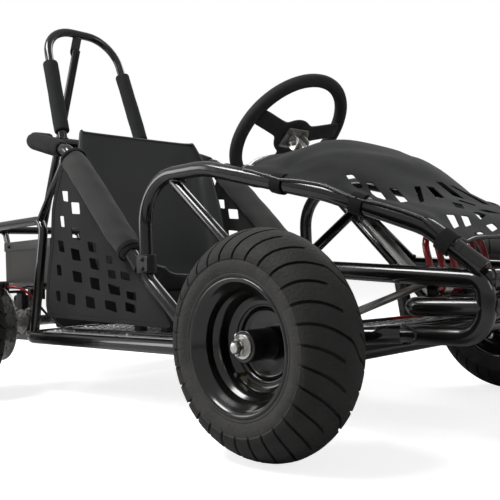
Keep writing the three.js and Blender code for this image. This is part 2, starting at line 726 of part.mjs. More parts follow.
// Nose loops: a bent ring on each side, joined by the bumper's cross tubes
function loopCorners(side) {
  const foot = railHeightAt(-LOOP_REAR_BACK);
  return [
    at(side, -LOOP_REAR_BACK, FRAME_NOSE_HALF_WIDTH, foot),
    at(side, -LOOP_REAR_BACK, NOSE_HALF, LOOP_REAR_HEIGHT, LOOP_BOTTOM_BEND / 2),
    at(side, NOSE_FRONT, NOSE_HALF, LOOP_TOP_HEIGHT, LOOP_CORNER_BEND),
    at(side, NOSE_FRONT, NOSE_HALF, NOSE_HEIGHT, LOOP_BOTTOM_BEND),
    at(side, (NOSE_CORNER_FRONT + NOSE_CROSS_FRONT) / 2, NOSE_HALF, NOSE_HEIGHT),
  ];
}

// Steering column: its line runs from the wheel down and forward
const COLUMN_WAY = new THREE.Vector3(Math.cos(STEERING_TILT), 0, -Math.sin(STEERING_TILT));
const WHEEL_UP = new THREE.Vector3(Math.sin(STEERING_TILT), 0, Math.cos(STEERING_TILT));
const WHEEL_CENTRE = new THREE.Vector3(-WHEEL_CENTRE_BACK, 0, WHEEL_CENTRE_HEIGHT);
const COLUMN_TOP = WHEEL_CENTRE.clone().addScaledVector(COLUMN_WAY, SPOKE_DROP + HUB_PLATE_THICKNESS);
const COLUMN_END = COLUMN_TOP.clone().addScaledVector(COLUMN_WAY, COLUMN_LENGTH);
const alongColumn = (distance) => COLUMN_END.clone().addScaledVector(COLUMN_WAY, -distance);
const columnLine = (radius, from, to) => rod(alongColumn(from), alongColumn(to), radius);

// The pedals' pin and its ears stand on the bumper's middle bar, and so does the stop of the brake cable
const PEDAL_PIN_FRONT = BUMPER_MID_CROSS_FRONT - PEDAL_PIN_BACK;
const PEDAL_PIN_HEIGHT = BUMPER_MID_HEIGHT + TUBE_RADIUS + PEDAL_PIN_CLEARANCE + PEDAL_HUB_RADIUS;
const PEDAL_HUB_OUTER = PEDAL_HALF + PEDAL_HUB_LENGTH / 2;
const PEDAL_HUB_INNER = PEDAL_HALF - PEDAL_HUB_LENGTH / 2;
const PEDAL_EAR_MIDDLE = PEDAL_HUB_OUTER + PEDAL_END_PLAY + PEDAL_EAR_THICKNESS / 2;

function pedalPin(side) {
  const middle = new THREE.Vector3(PEDAL_PIN_FRONT, 0, PEDAL_PIN_HEIGHT);
  const end = at(side, PEDAL_PIN_FRONT, PEDAL_EAR_MIDDLE + PEDAL_EAR_THICKNESS / 2, PEDAL_PIN_HEIGHT);
  return rod(middle, end.point, PEDAL_PIN_RADIUS, SLIM_SIDES);
}

function pedalEar(y, thickness) {
  const top = PEDAL_PIN_HEIGHT + PEDAL_HUB_RADIUS;
  const centre = new THREE.Vector3(PEDAL_PIN_FRONT, y, (top + BUMPER_MID_HEIGHT) / 2);
  return block(centre, new THREE.Vector3(2 * PEDAL_HUB_RADIUS, thickness, top - BUMPER_MID_HEIGHT));
}

function cableStop() {
  const rear = BUMPER_MID_CROSS_FRONT - TUBE_RADIUS + CABLE_STOP_HOLD - CABLE_STOP_LENGTH;
  const centre = new THREE.Vector3(
    rear + CABLE_STOP_LENGTH / 2,
    CABLE_STOP_HALF,
    BUMPER_MID_HEIGHT - CABLE_STOP_DROP,
  );
  return block(centre, new THREE.Vector3(CABLE_STOP_LENGTH, CABLE_STOP_THICKNESS, CABLE_STOP_THICKNESS));
}

function noseFrame(grow) {
  const radius = TUBE_RADIUS + grow;
  const middle = [
    at(RIGHT, NOSE_FRONT, NOSE_HALF, BUMPER_MID_HEIGHT),
    at(RIGHT, BUMPER_MID_CROSS_FRONT, NOSE_HALF, BUMPER_MID_HEIGHT, BUMPER_MID_BEND),
    at(LEFT, BUMPER_MID_CROSS_FRONT, NOSE_HALF, BUMPER_MID_HEIGHT, BUMPER_MID_BEND),
    at(LEFT, NOSE_FRONT, NOSE_HALF, BUMPER_MID_HEIGHT),
  ];
  const footArm = rod(
    alongColumn(FOOT_BUSH_LENGTH / 2).addScaledVector(WHEEL_UP, (COLUMN_RADIUS + BUSH_RADIUS) / 2),
    new THREE.Vector3(BUMPER_MID_CROSS_FRONT, 0, BUMPER_MID_HEIGHT),
    THIN_ROD_RADIUS + grow,
    SLIM_SIDES,
  );
  const pieces = [
    tube(loopCorners(RIGHT), radius),
    tube(loopCorners(LEFT), radius),
    crossTube(NOSE_FRONT, NOSE_HALF, LOOP_TOP_HEIGHT, radius),
    crossTube(NOSE_FRONT, NOSE_HALF, BUMPER_MID_HEIGHT, radius),
    tube(middle, radius),
    footArm,
    columnLine(BUSH_RADIUS, 0, FOOT_BUSH_LENGTH),
    pedalPin(RIGHT),
    pedalPin(LEFT),
    pedalEar(0, 2 * (PEDAL_HUB_INNER - PEDAL_END_PLAY)),
    pedalEar(-PEDAL_EAR_MIDDLE, PEDAL_EAR_THICKNESS),
    pedalEar(PEDAL_EAR_MIDDLE, PEDAL_EAR_THICKNESS),
    cableStop(),
  ];
  const bore = columnLine(bored(COLUMN_RADIUS), -OVERRUN, FOOT_BUSH_LENGTH + OVERRUN);
  const ring = lowerRing(TUBE_RADIUS + GAP);
  return cut(join(pieces), grow > 0 ? [] : [bore, ring]);
}

place("nose_frame", noseFrame(0), GLOSS_BLACK);

for (const { side, word } of SIDES) {
  const rail = join([
    tube(railCorners(side), TUBE_RADIUS),
    tube(braceCorners(side), BRACE_RADIUS, SLIM_SIDES),
    clampCollar(side, CLAMP_RADIUS),
  ]);
  place(`${word}_side_rail`, cut(rail, [lowerRing(TUBE_RADIUS + GAP), noseFrame(GAP)]), GLOSS_BLACK);
}

// Roll bar: a crossbar behind the seat that runs down each side to the clamps, with the hoop on it
function barCorners() {
  const half = (side) => [
    at(side, -BAR_FOOT_BACK, CLAMP_HALF, BAR_FOOT_HEIGHT),
    at(side, -SHOULDER_BACK, SHOULDER_HALF, SHOULDER_HEIGHT, SHOULDER_BEND),
    at(side, -CROSSBAR_BACK, CROSSBAR_CORNER_HALF, CROSSBAR_HEIGHT, CROSSBAR_BEND),
  ];
  return [...half(RIGHT), ...half(LEFT).reverse()];
}

function hoopCorners() {
  const leg = (side) => [
    at(side, -CROSSBAR_BACK, HOOP_FOOT_HALF, CROSSBAR_HEIGHT),
    at(side, -HOOP_TOP_BACK, HOOP_TOP_HALF, HOOP_TOP_HEIGHT, HOOP_BEND),
  ];
  return [...leg(RIGHT), ...leg(LEFT).reverse()];
}

function stayCorners(side) {
  return [
    at(side, -SHOULDER_BACK, SHOULDER_HALF, SHOULDER_HEIGHT),
    at(side, -GUARD_POST_BACK, GUARD_HALF + SLIM_TUBE_RADIUS, GUARD_HEIGHT),
  ];
}

function rollBar(grow) {
  return join([
    tube(barCorners(), TUBE_RADIUS + grow),
    tube(hoopCorners(), SLIM_TUBE_RADIUS + grow),
    tube(stayCorners(RIGHT), THIN_ROD_RADIUS + grow, SLIM_SIDES),
    tube(stayCorners(LEFT), THIN_ROD_RADIUS + grow, SLIM_SIDES),
  ]);
}

// Rear guard: a bent tube round the battery box on two posts, with a lower bar that carries the box
function guardCorners() {
  const half = (side) => [
    at(side, -GUARD_POST_BACK, GUARD_POST_FOOT_HALF, FRAME_HEIGHT),
    at(side, -GUARD_POST_BACK, GUARD_HALF, GUARD_HEIGHT, GUARD_POST_BEND),
    at(side, -GUARD_BACK, GUARD_HALF, GUARD_HEIGHT, GUARD_BEND),
  ];
  return [...half(RIGHT), ...half(LEFT).reverse()];
}

const POST_LEAN_SHARE = (TRAY_BAR_HEIGHT - FRAME_HEIGHT) / (GUARD_HEIGHT - FRAME_HEIGHT);
const TRAY_FRONT_HALF = THREE.MathUtils.lerp(GUARD_POST_FOOT_HALF, GUARD_HALF, POST_LEAN_SHARE);
const TRAY_CROSS_INSET = 30;
const TRAY_CROSS_BACK = BOX_FRONT_BACK + TRAY_CROSS_INSET;
const TRAY_CROSS_SHARE = (TRAY_CROSS_BACK - GUARD_POST_BACK) / (TRAY_BAR_BACK - GUARD_POST_BACK);
const TRAY_CROSS_HALF = THREE.MathUtils.lerp(TRAY_FRONT_HALF, TRAY_BAR_HALF, TRAY_CROSS_SHARE);

function trayCorners() {
  const half = (side) => [
    at(side, -GUARD_POST_BACK, TRAY_FRONT_HALF, TRAY_BAR_HEIGHT),
    at(side, -TRAY_BAR_BACK, TRAY_BAR_HALF, TRAY_BAR_HEIGHT, GUARD_POST_BEND),
  ];
  return [...half(RIGHT), ...half(LEFT).reverse()];
}

function rearGuard(grow) {
  const link = (side) => [
    at(side, -TRAY_BAR_BACK, TRAY_LINK_HALF, TRAY_BAR_HEIGHT),
    at(side, -GUARD_BACK, TRAY_LINK_HALF, GUARD_HEIGHT),
  ];
  return join([
    tube(guardCorners(), SLIM_TUBE_RADIUS + grow),
    tube(trayCorners(), THIN_ROD_RADIUS + grow, SLIM_SIDES),
    crossTube(-TRAY_CROSS_BACK, TRAY_CROSS_HALF, TRAY_BAR_HEIGHT, THIN_ROD_RADIUS + grow),
    tube(link(RIGHT), THIN_ROD_RADIUS + grow, SLIM_SIDES),
    tube(link(LEFT), THIN_ROD_RADIUS + grow, SLIM_SIDES),
  ]);
}

const collars = SIDES.map(({ side }) => clampCollar(side, CLAMP_RADIUS + GAP));
const railTubes = SIDES.map(({ side }) => tube(railCorners(side), TUBE_RADIUS + GAP));
place("rear_guard", cut(rearGuard(0), [lowerRing(TUBE_RADIUS + GAP)]), GLOSS_BLACK);
place("roll_bar", cut(rollBar(0), [rearGuard(GAP), ...collars, ...railTubes]), GLOSS_BLACK);

// Rear stay of the hoop, bolted on with a flat plate at its upper end
const STAY_TOP = new THREE.Vector3(-HOOP_TOP_BACK, 0, HOOP_TOP_HEIGHT);
const STAY_FOOT = new THREE.Vector3(-GUARD_BACK, 0, GUARD_HEIGHT);
const STAY_WAY = STAY_FOOT.clone().sub(STAY_TOP).normalize();

function hoopStay() {
  const across = STAY_WAY.clone().cross(ACROSS);
  const half = BRACE_PLATE_WIDTH / 2;
  const outline = [
    new THREE.Vector2(0, -half),
    new THREE.Vector2(BRACE_PLATE_LENGTH, -half),
    new THREE.Vector2(BRACE_PLATE_LENGTH, half),
    new THREE.Vector2(0, half),
  ];
  const start = STAY_TOP.clone().addScaledVector(across, -SLIM_TUBE_RADIUS + BRACE_PLATE_THICKNESS);
  const tab = plate(outline, BRACE_PLATE_THICKNESS, start, STAY_WAY, ACROSS);
  const upper = STAY_TOP.clone().addScaledVector(STAY_WAY, SLIM_TUBE_RADIUS / 2);
  const whole = join([rod(upper, STAY_FOOT, SLIM_TUBE_RADIUS, TUBE_SIDES), tab]);
  return cut(whole, [rollBar(GAP), rearGuard(GAP)]);
}

place("hoop_stay", hoopStay(), GLOSS_BLACK);

// Foam and cloth round the roll bar
const HOOP_WAY = (side) => {
  const [foot, top] = hoopCorners().slice(0, 2).map(({ point }) => point.clone());
  foot.y = side * HOOP_FOOT_HALF;
  top.y = side * HOOP_TOP_HALF;
  return { foot, way: top.sub(foot).normalize() };
};

for (const { side, word } of SIDES) {
  const { foot, way } = HOOP_WAY(side);
  const from = foot.clone().addScaledVector(way, HOOP_PAD_FROM);
  const to = from.clone().addScaledVector(way, HOOP_PAD_LENGTH);
  const pad = rod(from, to, HOOP_PAD_RADIUS);
  place(`${word}_hoop_pad`, cut(pad, [tube(hoopCorners(), SLIM_TUBE_RADIUS + GAP)]), PAD_CLOTH);
}

const SLEEVE_MARGIN = 16;
const SLEEVE_TO = 26;
const SHOULDER_PAD_FROM = 34;
const SHOULDER_PAD_INWARD = 40;

// The padded sleeve of a slanted bar starts where it is clear of the upright rail
function barSleeve(side, grow) {
  const foot = new THREE.Vector3(-BAR_FOOT_BACK, side * CLAMP_HALF, BAR_FOOT_HEIGHT);
  const shoulder = new THREE.Vector3(-SHOULDER_BACK, side * SHOULDER_HALF, SHOULDER_HEIGHT);
  const way = shoulder.clone().sub(foot).normalize();
  const ahead = BAR_SLEEVE_RADIUS * way.z + TUBE_RADIUS - (BAR_FOOT_BACK - CLAMP_BACK);
  const from = foot.addScaledVector(way, -(ahead + SLEEVE_MARGIN) / way.x);
  return rod(from, shoulder.addScaledVector(way, -SLEEVE_TO), BAR_SLEEVE_RADIUS + grow);
}

function shoulderPad(side) {
  const shoulder = new THREE.Vector3(-SHOULDER_BACK, side * SHOULDER_HALF, SHOULDER_HEIGHT);
  const corner = new THREE.Vector3(-CROSSBAR_BACK, side * CROSSBAR_CORNER_HALF, CROSSBAR_HEIGHT);
  const back = corner.clone().sub(shoulder).normalize();
  return tube([
    { point: shoulder.addScaledVector(back, SHOULDER_PAD_FROM) },
    { point: corner, bend: CROSSBAR_BEND },
    at(side, -CROSSBAR_BACK, HOOP_FOOT_HALF + SHOULDER_PAD_INWARD, CROSSBAR_HEIGHT),
  ], SHOULDER_PAD_RADIUS);
}

for (const { side, word } of SIDES) {
  place(`${word}_bar_sleeve`, cut(barSleeve(side, 0), [rollBar(GAP)]), PAD_CLOTH);
  place(`${word}_shoulder_pad`, cut(shoulderPad(side), [rollBar(GAP)]), PAD_CLOTH);
}

// Side nets: a flat cloth panel under the sleeve, tied above the lower rail, with rows of holes
const BAR_SLOPE = (SHOULDER_HEIGHT - BAR_FOOT_HEIGHT) / (SHOULDER_BACK - BAR_FOOT_BACK);
const barHeightAt = (x) => BAR_FOOT_HEIGHT - (BAR_FOOT_BACK + x) * BAR_SLOPE;

function netOutline() {
  return [
    [-SHOULDER_BACK, barHeightAt(-SHOULDER_BACK)],
    [-NET_REAR_BACK + NET_EDGE_MARGIN, NET_REAR_TOP_HEIGHT],
    [-NET_REAR_BACK, NET_BOTTOM_HEIGHT],
    [-NET_FRONT_BACK, NET_BOTTOM_HEIGHT],
    [-BAR_FOOT_BACK - OVERRUN, barHeightAt(-BAR_FOOT_BACK - OVERRUN)],
  ];
}

function netHoles(side) {
  const sleeveDrop = BAR_SLEEVE_RADIUS * Math.hypot(1, BAR_SLOPE);
  const holes = [];
  const size = new THREE.Vector3(NET_HOLE_WIDTH, OVERRUN, NET_HOLE_HEIGHT);
  const columns = Math.floor((NET_REAR_BACK - NET_FRONT_BACK - 2 * NET_EDGE_MARGIN) / NET_COLUMN_PITCH);
  for (let column = 0; column < columns; column += 1) {
    const x = -NET_REAR_BACK + NET_EDGE_MARGIN + NET_HOLE_WIDTH + column * NET_COLUMN_PITCH;
    const rearRoof = NET_REAR_TOP_HEIGHT + column * NET_COLUMN_PITCH;
    const roof = Math.min(barHeightAt(x + NET_HOLE_WIDTH / 2) - sleeveDrop, rearRoof);
    const bottom = NET_BOTTOM_HEIGHT + NET_EDGE_MARGIN + NET_HOLE_HEIGHT / 2;
    for (let z = bottom; z + NET_HOLE_HEIGHT < roof; z += NET_ROW_PITCH) {
      holes.push(block(new THREE.Vector3(x, side * CLAMP_HALF, z), size));
    }
  }
  return holes;
}

function sideNet(side) {
  const corners = netOutline().map(([x, z]) => new THREE.Vector2(x, z));
  const panel = plate(corners, NET_SHEET, new THREE.Vector3(0, side * CLAMP_HALF, 0), FORWARD, UP);
  return cut(panel, netHoles(side));
}

for (const { side, word } of SIDES) {
  const posts = [barSleeve(side, GAP), rearGuard(GAP), ...railTubes, rollBar(GAP), ...collars];
  place(`${word}_side_net`, cut(sideNet(side), posts), NET_CLOTH);
}

// Hood: a crowned cloth between the upper rails, with square holes
function railPointAt(x) {
  const nodes = railCorners(LEFT).slice(3).map(({ point }) => point);
  let index = nodes.findIndex((point) => point.x > x) - 1;
  index = index < 0 ? 0 : index;
  const share = (x - nodes[index].x) / (nodes[index + 1].x - nodes[index].x);
  return nodes[index].clone().lerp(nodes[index + 1], share);
}

const HOOD_CROWN_POWER = 2.4;
const HOOD_PEAK_SHARE = 0.22;
const HOOD_NOSE_SHARE = 0.2;
const HOOD_HOLE_ACROSS_SHARE = 0.17;
const HOOD_SADDLE = bored(TUBE_RADIUS, TUBE_SIDES);

function hoodPoint(along, across) {
  const x = THREE.MathUtils.lerp(-HOOD_REAR_BACK, HOOD_FRONT, along);
  const rail = railPointAt(x);
  const rise = along < HOOD_PEAK_SHARE
    ? 1 - (HOOD_PEAK_SHARE - along)
    : THREE.MathUtils.lerp(1, HOOD_NOSE_SHARE, (along - HOOD_PEAK_SHARE) / (1 - HOOD_PEAK_SHARE));
  const crown = HOOD_CROWN * rise * (1 - Math.abs(across) ** HOOD_CROWN_POWER);
  return new THREE.Vector3(x, across * rail.y, rail.z + HOOD_SADDLE + crown);
}

// Where the edges of evenly spread holes lie, as shares of the whole, with both ends
function holeEdgeShares(count, holeShare) {
  const edges = [0];
  for (let index = 1; index <= count; index += 1) {
    const middle = index / (count + 1);
    edges.push(middle - holeShare / 2, middle + holeShare / 2);
  }
  return [...edges, 1];
}

function hood() {
  const length = HOOD_REAR_BACK + HOOD_FRONT;
  const alongShares = holeEdgeShares(HOOD_HOLE_ROWS, HOOD_HOLE / length);
  const acrossShares = holeEdgeShares(HOOD_HOLE_COLUMNS, HOOD_HOLE_ACROSS_SHARE / 2);
  const rows = alongShares.map((along) => acrossShares.map((across) => hoodPoint(along, 2 * across - 1)));
  return sheet(rows, HOOD_SHEET, (row, column) => row % 2 === 1 && column % 2 === 1);
}

place("hood_cover", cut(hood(), railTubes), NET_CLOTH);

// Seat: a bucket of moulded sheet, its section a flat middle with raised sides
function seatLine() {
  const edge = SEAT_SIDE_RISE;
  const backFootX = -SEAT_HEEL_BACK - edge / 2;
  const middleX = (backFootX - SEAT_TOP_BACK) / 2;
  const middleZ = (SEAT_PAN_HEIGHT + SEAT_TOP_HEIGHT) / 2;
  const station = (x, z, half, rise) => ({ x, z, half, rise });
  return [
    station(-SEAT_FRONT_BACK, SEAT_FRONT_HEIGHT, SEAT_HALF_WIDTH, edge / 3),
    station(-SEAT_FRONT_BACK - edge, SEAT_PAN_HEIGHT, SEAT_HALF_WIDTH, edge),
    station(-SEAT_HEEL_BACK + edge, SEAT_PAN_HEIGHT, SEAT_HALF_WIDTH, edge),
    station(-SEAT_HEEL_BACK, SEAT_PAN_HEIGHT + edge / 4, SEAT_HALF_WIDTH, edge),
    station(backFootX, SEAT_PAN_HEIGHT + edge, SEAT_HALF_WIDTH, edge),
    station(middleX, middleZ, SEAT_BACK_HALF_WIDTH, edge),
    station(-SEAT_TOP_BACK + SEAT_SHEET, SEAT_TOP_HEIGHT - edge, SEAT_BACK_HALF_WIDTH, edge / 2),
    station(-SEAT_TOP_BACK, SEAT_TOP_HEIGHT, SEAT_BACK_HALF_WIDTH - edge / 3, edge / 4),
  ];
}

const SEAT_ACROSS_SHARES = [-1, -0.97, -0.8, -0.4, 0, 0.4, 0.8, 0.97, 1];
const SEAT_RISE_SHARES = [1, 0.5, 0.1, 0, 0, 0, 0.1, 0.5, 1];

function seatShell() {
  const line = seatLine();
  const rows = line.map((station, index) => {
    const before = line[Math.max(index - 1, 0)];
    const after = line[Math.min(index + 1, line.length - 1)];
    const lift = new THREE.Vector3(-(after.z - before.z), 0, after.x - before.x).normalize().negate();
    return SEAT_ACROSS_SHARES.map((share, column) => {
      const point = new THREE.Vector3(station.x, share * station.half, station.z);
      return point.addScaledVector(lift, station.rise * SEAT_RISE_SHARES[column]);
    });
  });
  return sheet(rows, SEAT_SHEET);
}

place("seat_shell", seatShell(), SEAT_PLASTIC);

// Seat stand: four legs on the floor and a ring of square tube under the seat
function seatStand() {
  const top = SEAT_PAN_HEIGHT - SEAT_SHEET - GAP;
  const foot = FLOOR_TOP + GAP;
  const frontX = -SEAT_FRONT_BACK - SEAT_SIDE_RISE - SEAT_STAND_TUBE;
  const rearX = -SEAT_HEEL_BACK + SEAT_SIDE_RISE + SEAT_STAND_TUBE;
  const barZ = top - SEAT_STAND_TUBE / 2;
  const pieces = [];
  for (const y of [-SEAT_STAND_HALF, SEAT_STAND_HALF]) {
    const size = new THREE.Vector3(frontX - rearX + SEAT_STAND_TUBE, SEAT_STAND_TUBE, SEAT_STAND_TUBE);
    pieces.push(block(new THREE.Vector3((frontX + rearX) / 2, y, barZ), size));
  }
  for (const x of [frontX, rearX]) {
    const size = new THREE.Vector3(SEAT_STAND_TUBE, 2 * SEAT_STAND_HALF, SEAT_STAND_TUBE);
    pieces.push(block(new THREE.Vector3(x, 0, barZ), size));
    for (const y of [-SEAT_STAND_HALF, SEAT_STAND_HALF]) {
      const legSize = new THREE.Vector3(SEAT_STAND_TUBE, SEAT_STAND_TUBE, top - foot);
      pieces.push(block(new THREE.Vector3(x, y, (top + foot) / 2), legSize));
    }
  }
  return join(pieces);
}

place("seat_stand", seatStand(), SATIN_BLACK);

// Steering wheel: a foam ring, and a three spoke plate with the grey hub plate on it
function steeringRing() {
  const profile = [];
  for (let index = 0; index < SLIM_SIDES; index += 1) {
    const turn = (index / SLIM_SIDES) * 2 * Math.PI;
    profile.push([
      STEERING_RING_RADIUS + STEERING_GRIP_RADIUS * Math.cos(turn),
      STEERING_GRIP_RADIUS * Math.sin(turn),
    ]);
  }
  const points = profile.map(([radius, along]) => new THREE.Vector2(radius, along));
  points.push(points[0].clone());
  const geometry = new THREE.LatheGeometry(points, DISC_SIDES);
  geometry.applyMatrix4(new THREE.Matrix4().makeBasis(
    ACROSS.clone().negate(),
    COLUMN_WAY,
    WHEEL_UP.clone(),
  ).setPosition(WHEEL_CENTRE));
  const solid = solidOf(geometry);
  return solid.volume() > 0 ? solid : solidOf(turnedInsideOut(geometry));
}

function spokes() {
  const centre = WHEEL_CENTRE.clone().addScaledVector(COLUMN_WAY, SPOKE_DROP);
  const disc = rod(
    centre.clone().addScaledVector(COLUMN_WAY, -SPOKE_THICKNESS / 2),
    centre.clone().addScaledVector(COLUMN_WAY, SPOKE_THICKNESS / 2),
    HUB_DISC_RADIUS,
  );
  const arms = [0, 1, 2].map((index) => {
    const turn = (index / 3) * 2 * Math.PI + Math.PI;
    const out = WHEEL_UP.clone().multiplyScalar(Math.cos(turn)).addScaledVector(ACROSS, Math.sin(turn));
    const rim = WHEEL_CENTRE.clone().addScaledVector(out, STEERING_RING_RADIUS);
    const root = centre.clone().addScaledVector(out, HUB_DISC_RADIUS - SPOKE_THICKNESS);
    const reach = rim.clone().sub(root);
    const length = reach.length();
    const way = reach.clone().normalize();
    const beside = COLUMN_WAY.clone().cross(way).normalize();
    const outline = [
      new THREE.Vector2(0, -SPOKE_WIDTH / 2),
      new THREE.Vector2(length, -SPOKE_WIDTH / 2),
      new THREE.Vector2(length, SPOKE_WIDTH / 2),
      new THREE.Vector2(0, SPOKE_WIDTH / 2),
    ];
    return plate(outline, SPOKE_THICKNESS, root, way, beside);
  });
  return join([disc, ...arms]);
}

place("steering_wheel", steeringRing().add(spokes()), GRIP_FOAM);

function hubPlate() {
  const halfWidth = HUB_PLATE_WIDTH / 2;
  const halfDepth = HUB_PLATE_DEPTH / 2;
  const outline = [
    new THREE.Vector2(-halfWidth, -halfDepth),
    new THREE.Vector2(halfWidth, -halfDepth),
    new THREE.Vector2(halfWidth, halfDepth),
    new THREE.Vector2(-halfWidth, halfDepth),
  ];
  const rise = SPOKE_DROP - SPOKE_THICKNESS / 2 - HUB_PLATE_THICKNESS / 2 - GAP;
  const centre = WHEEL_CENTRE.clone().addScaledVector(COLUMN_WAY, rise);
  return plate(outline, HUB_PLATE_THICKNESS, centre, ACROSS, WHEEL_UP);
}

place("steering_hub_plate", hubPlate(), GREY_METAL);

// Steering column with the pitman arm near its lower end
function steeringColumn() {
  const outline = [
    new THREE.Vector2(-PITMAN_WIDTH / 2, -PITMAN_WIDTH / 2),
    new THREE.Vector2(PITMAN_WIDTH / 2, -PITMAN_WIDTH / 2),
    new THREE.Vector2(PITMAN_WIDTH / 2, PITMAN_LENGTH + PITMAN_WIDTH / 2),
    new THREE.Vector2(-PITMAN_WIDTH / 2, PITMAN_LENGTH + PITMAN_WIDTH / 2),
  ];
  const arm = plate(outline, PITMAN_THICKNESS, alongColumn(PITMAN_FROM_END), ACROSS, WHEEL_UP);
  const top = WHEEL_CENTRE.clone().addScaledVector(COLUMN_WAY, SPOKE_DROP + SPOKE_THICKNESS / 2 + GAP);
  return rod(top, COLUMN_END, COLUMN_RADIUS).add(arm);
}

place("steering_column", steeringColumn(), BRIGHT_STEEL);

// Column support: two legs from the nose loops up to a bush
const SUPPORT_SHARE = (WHEEL_CENTRE_BACK - SUPPORT_BACK) / Math.cos(STEERING_TILT);
const SUPPORT_CENTRE = WHEEL_CENTRE.clone().addScaledVector(COLUMN_WAY, SUPPORT_SHARE);

function columnSupport() {
  const half = COLUMN_WAY.clone().multiplyScalar(BUSH_LENGTH / 2);
  const bush = rod(SUPPORT_CENTRE.clone().sub(half), SUPPORT_CENTRE.clone().add(half), BUSH_RADIUS);
  const legs = SIDES.map(({ side }) => rod(
    new THREE.Vector3(-SUPPORT_BACK, side * (BUSH_RADIUS + COLUMN_RADIUS) / 2, SUPPORT_CENTRE.z),
    new THREE.Vector3(-SUPPORT_BACK, side * NOSE_HALF, LOOP_REAR_HEIGHT),
    SUPPORT_LEG_RADIUS,
    SLIM_SIDES,
  ));
  const bore = rod(WHEEL_CENTRE, COLUMN_END, bored(COLUMN_RADIUS));
  return cut(join([bush, ...legs]), [bore, noseFrame(GAP)]);
}

place("column_support", columnSupport(), GLOSS_BLACK);

// Knuckles: a barrel on the kingpin, the wheel spindle and the steering arm with its pin
const ARM_HEIGHT = AXLE_HEIGHT + STEER_ARM_RISE;
const EYE_BOTTOM = ARM_HEIGHT + STEER_ARM_THICKNESS / 2 + GAP;
const EYE_TOP = EYE_BOTTOM + TIE_EYE_HEIGHT;
const HUB_OUTER_HALF = FRONT_TRACK / 2 + FRONT_HUB_LENGTH / 2;

function knuckle(side) {
  const y = side * KINGPIN_HALF;
  const low = AXLE_HEIGHT - KNUCKLE_HALF_HEIGHT;
  const barrel = kingpinLine(side, KNUCKLE_RADIUS, low, AXLE_HEIGHT + KNUCKLE_HALF_HEIGHT);
  const root = new THREE.Vector3(0, y, AXLE_HEIGHT);
  const spindleEnd = side * (HUB_OUTER_HALF + GAP + NUT_LENGTH);
  const spindle = rod(root, new THREE.Vector3(0, spindleEnd, AXLE_HEIGHT), SPINDLE_RADIUS);
  const shoulderEnd = side * (FRONT_TRACK / 2 - FRONT_HUB_LENGTH / 2 - GAP);
  const shoulder = rod(root, new THREE.Vector3(0, shoulderEnd, AXLE_HEIGHT), BEARING_SPACER_RADIUS);
  const armLength = STEER_ARM_LENGTH + STEER_ARM_WIDTH / 2;
  const arm = block(
    new THREE.Vector3(armLength / 2, y, ARM_HEIGHT),
    new THREE.Vector3(armLength, STEER_ARM_WIDTH, STEER_ARM_THICKNESS),
  );
  const pin = rod(
    new THREE.Vector3(STEER_ARM_LENGTH, y, ARM_HEIGHT),
    new THREE.Vector3(STEER_ARM_LENGTH, y, EYE_TOP + TIE_PIN_RADIUS),
    TIE_PIN_RADIUS,
  );
  const bore = kingpinLine(side, bored(KINGPIN_RADIUS), 0, 2 * AXLE_HEIGHT);
  return cut(join([barrel, spindle, shoulder, arm, pin]), [bore]);
}

function kingpin(side) {
  const top = YOKE_TOP + YOKE_PLATE + GAP;
  const bottom = YOKE_BOTTOM - YOKE_PLATE - GAP;
  return join([
    kingpinLine(side, KINGPIN_RADIUS, bottom - KINGPIN_HEAD_LENGTH, top + KINGPIN_HEAD_LENGTH),
    kingpinLine(side, KINGPIN_HEAD_RADIUS, top, top + KINGPIN_HEAD_LENGTH, 6),
    kingpinLine(side, KINGPIN_HEAD_RADIUS, bottom - KINGPIN_HEAD_LENGTH, bottom, 6),
  ]);
}

// Tie rods: an eye on the knuckle's pin, and a flat end behind the pitman arm
function tieRod(side, order) {
  const eyeCentre = new THREE.Vector3(STEER_ARM_LENGTH, side * KINGPIN_HALF, EYE_BOTTOM + TIE_EYE_HEIGHT / 2);
  const eyeHalf = UP.clone().multiplyScalar(TIE_EYE_HEIGHT / 2);
  const eye = rod(eyeCentre.clone().sub(eyeHalf), eyeCentre.clone().add(eyeHalf), TIE_EYE_RADIUS);
  const offset = PITMAN_THICKNESS / 2 + GAP + ROD_END_LENGTH / 2 + order * (ROD_END_LENGTH + GAP);
  const endCentre = alongColumn(PITMAN_FROM_END + offset).addScaledVector(WHEEL_UP, PITMAN_LENGTH);
  const endHalf = COLUMN_WAY.clone().multiplyScalar(ROD_END_LENGTH / 2);
  const end = rod(endCentre.clone().sub(endHalf), endCentre.clone().add(endHalf), ROD_END_RADIUS);
  const shaft = rod(eyeCentre, endCentre, TIE_ROD_RADIUS, SLIM_SIDES);
  const bore = rod(
    eyeCentre.clone().addScaledVector(UP, -TIE_EYE_HEIGHT),
    eyeCentre.clone().addScaledVector(UP, TIE_EYE_HEIGHT),
    bored(TIE_PIN_RADIUS),
  );
  return cut(join([eye, end, shaft]), [bore]);
}

SIDES.forEach(({ side, word }, index) => {
  place(`${word}_knuckle`, knuckle(side), SATIN_BLACK);
  place(`${word}_kingpin`, kingpin(side), BRIGHT_STEEL);
  place(`${word}_tie_rod`, tieRod(side, index), GREY_METAL);
});

const WALL_SHARE = 0.46;
const SHOULDER_SHARE = 0.82;
const CROWN_EDGE_SHARE = 0.955;

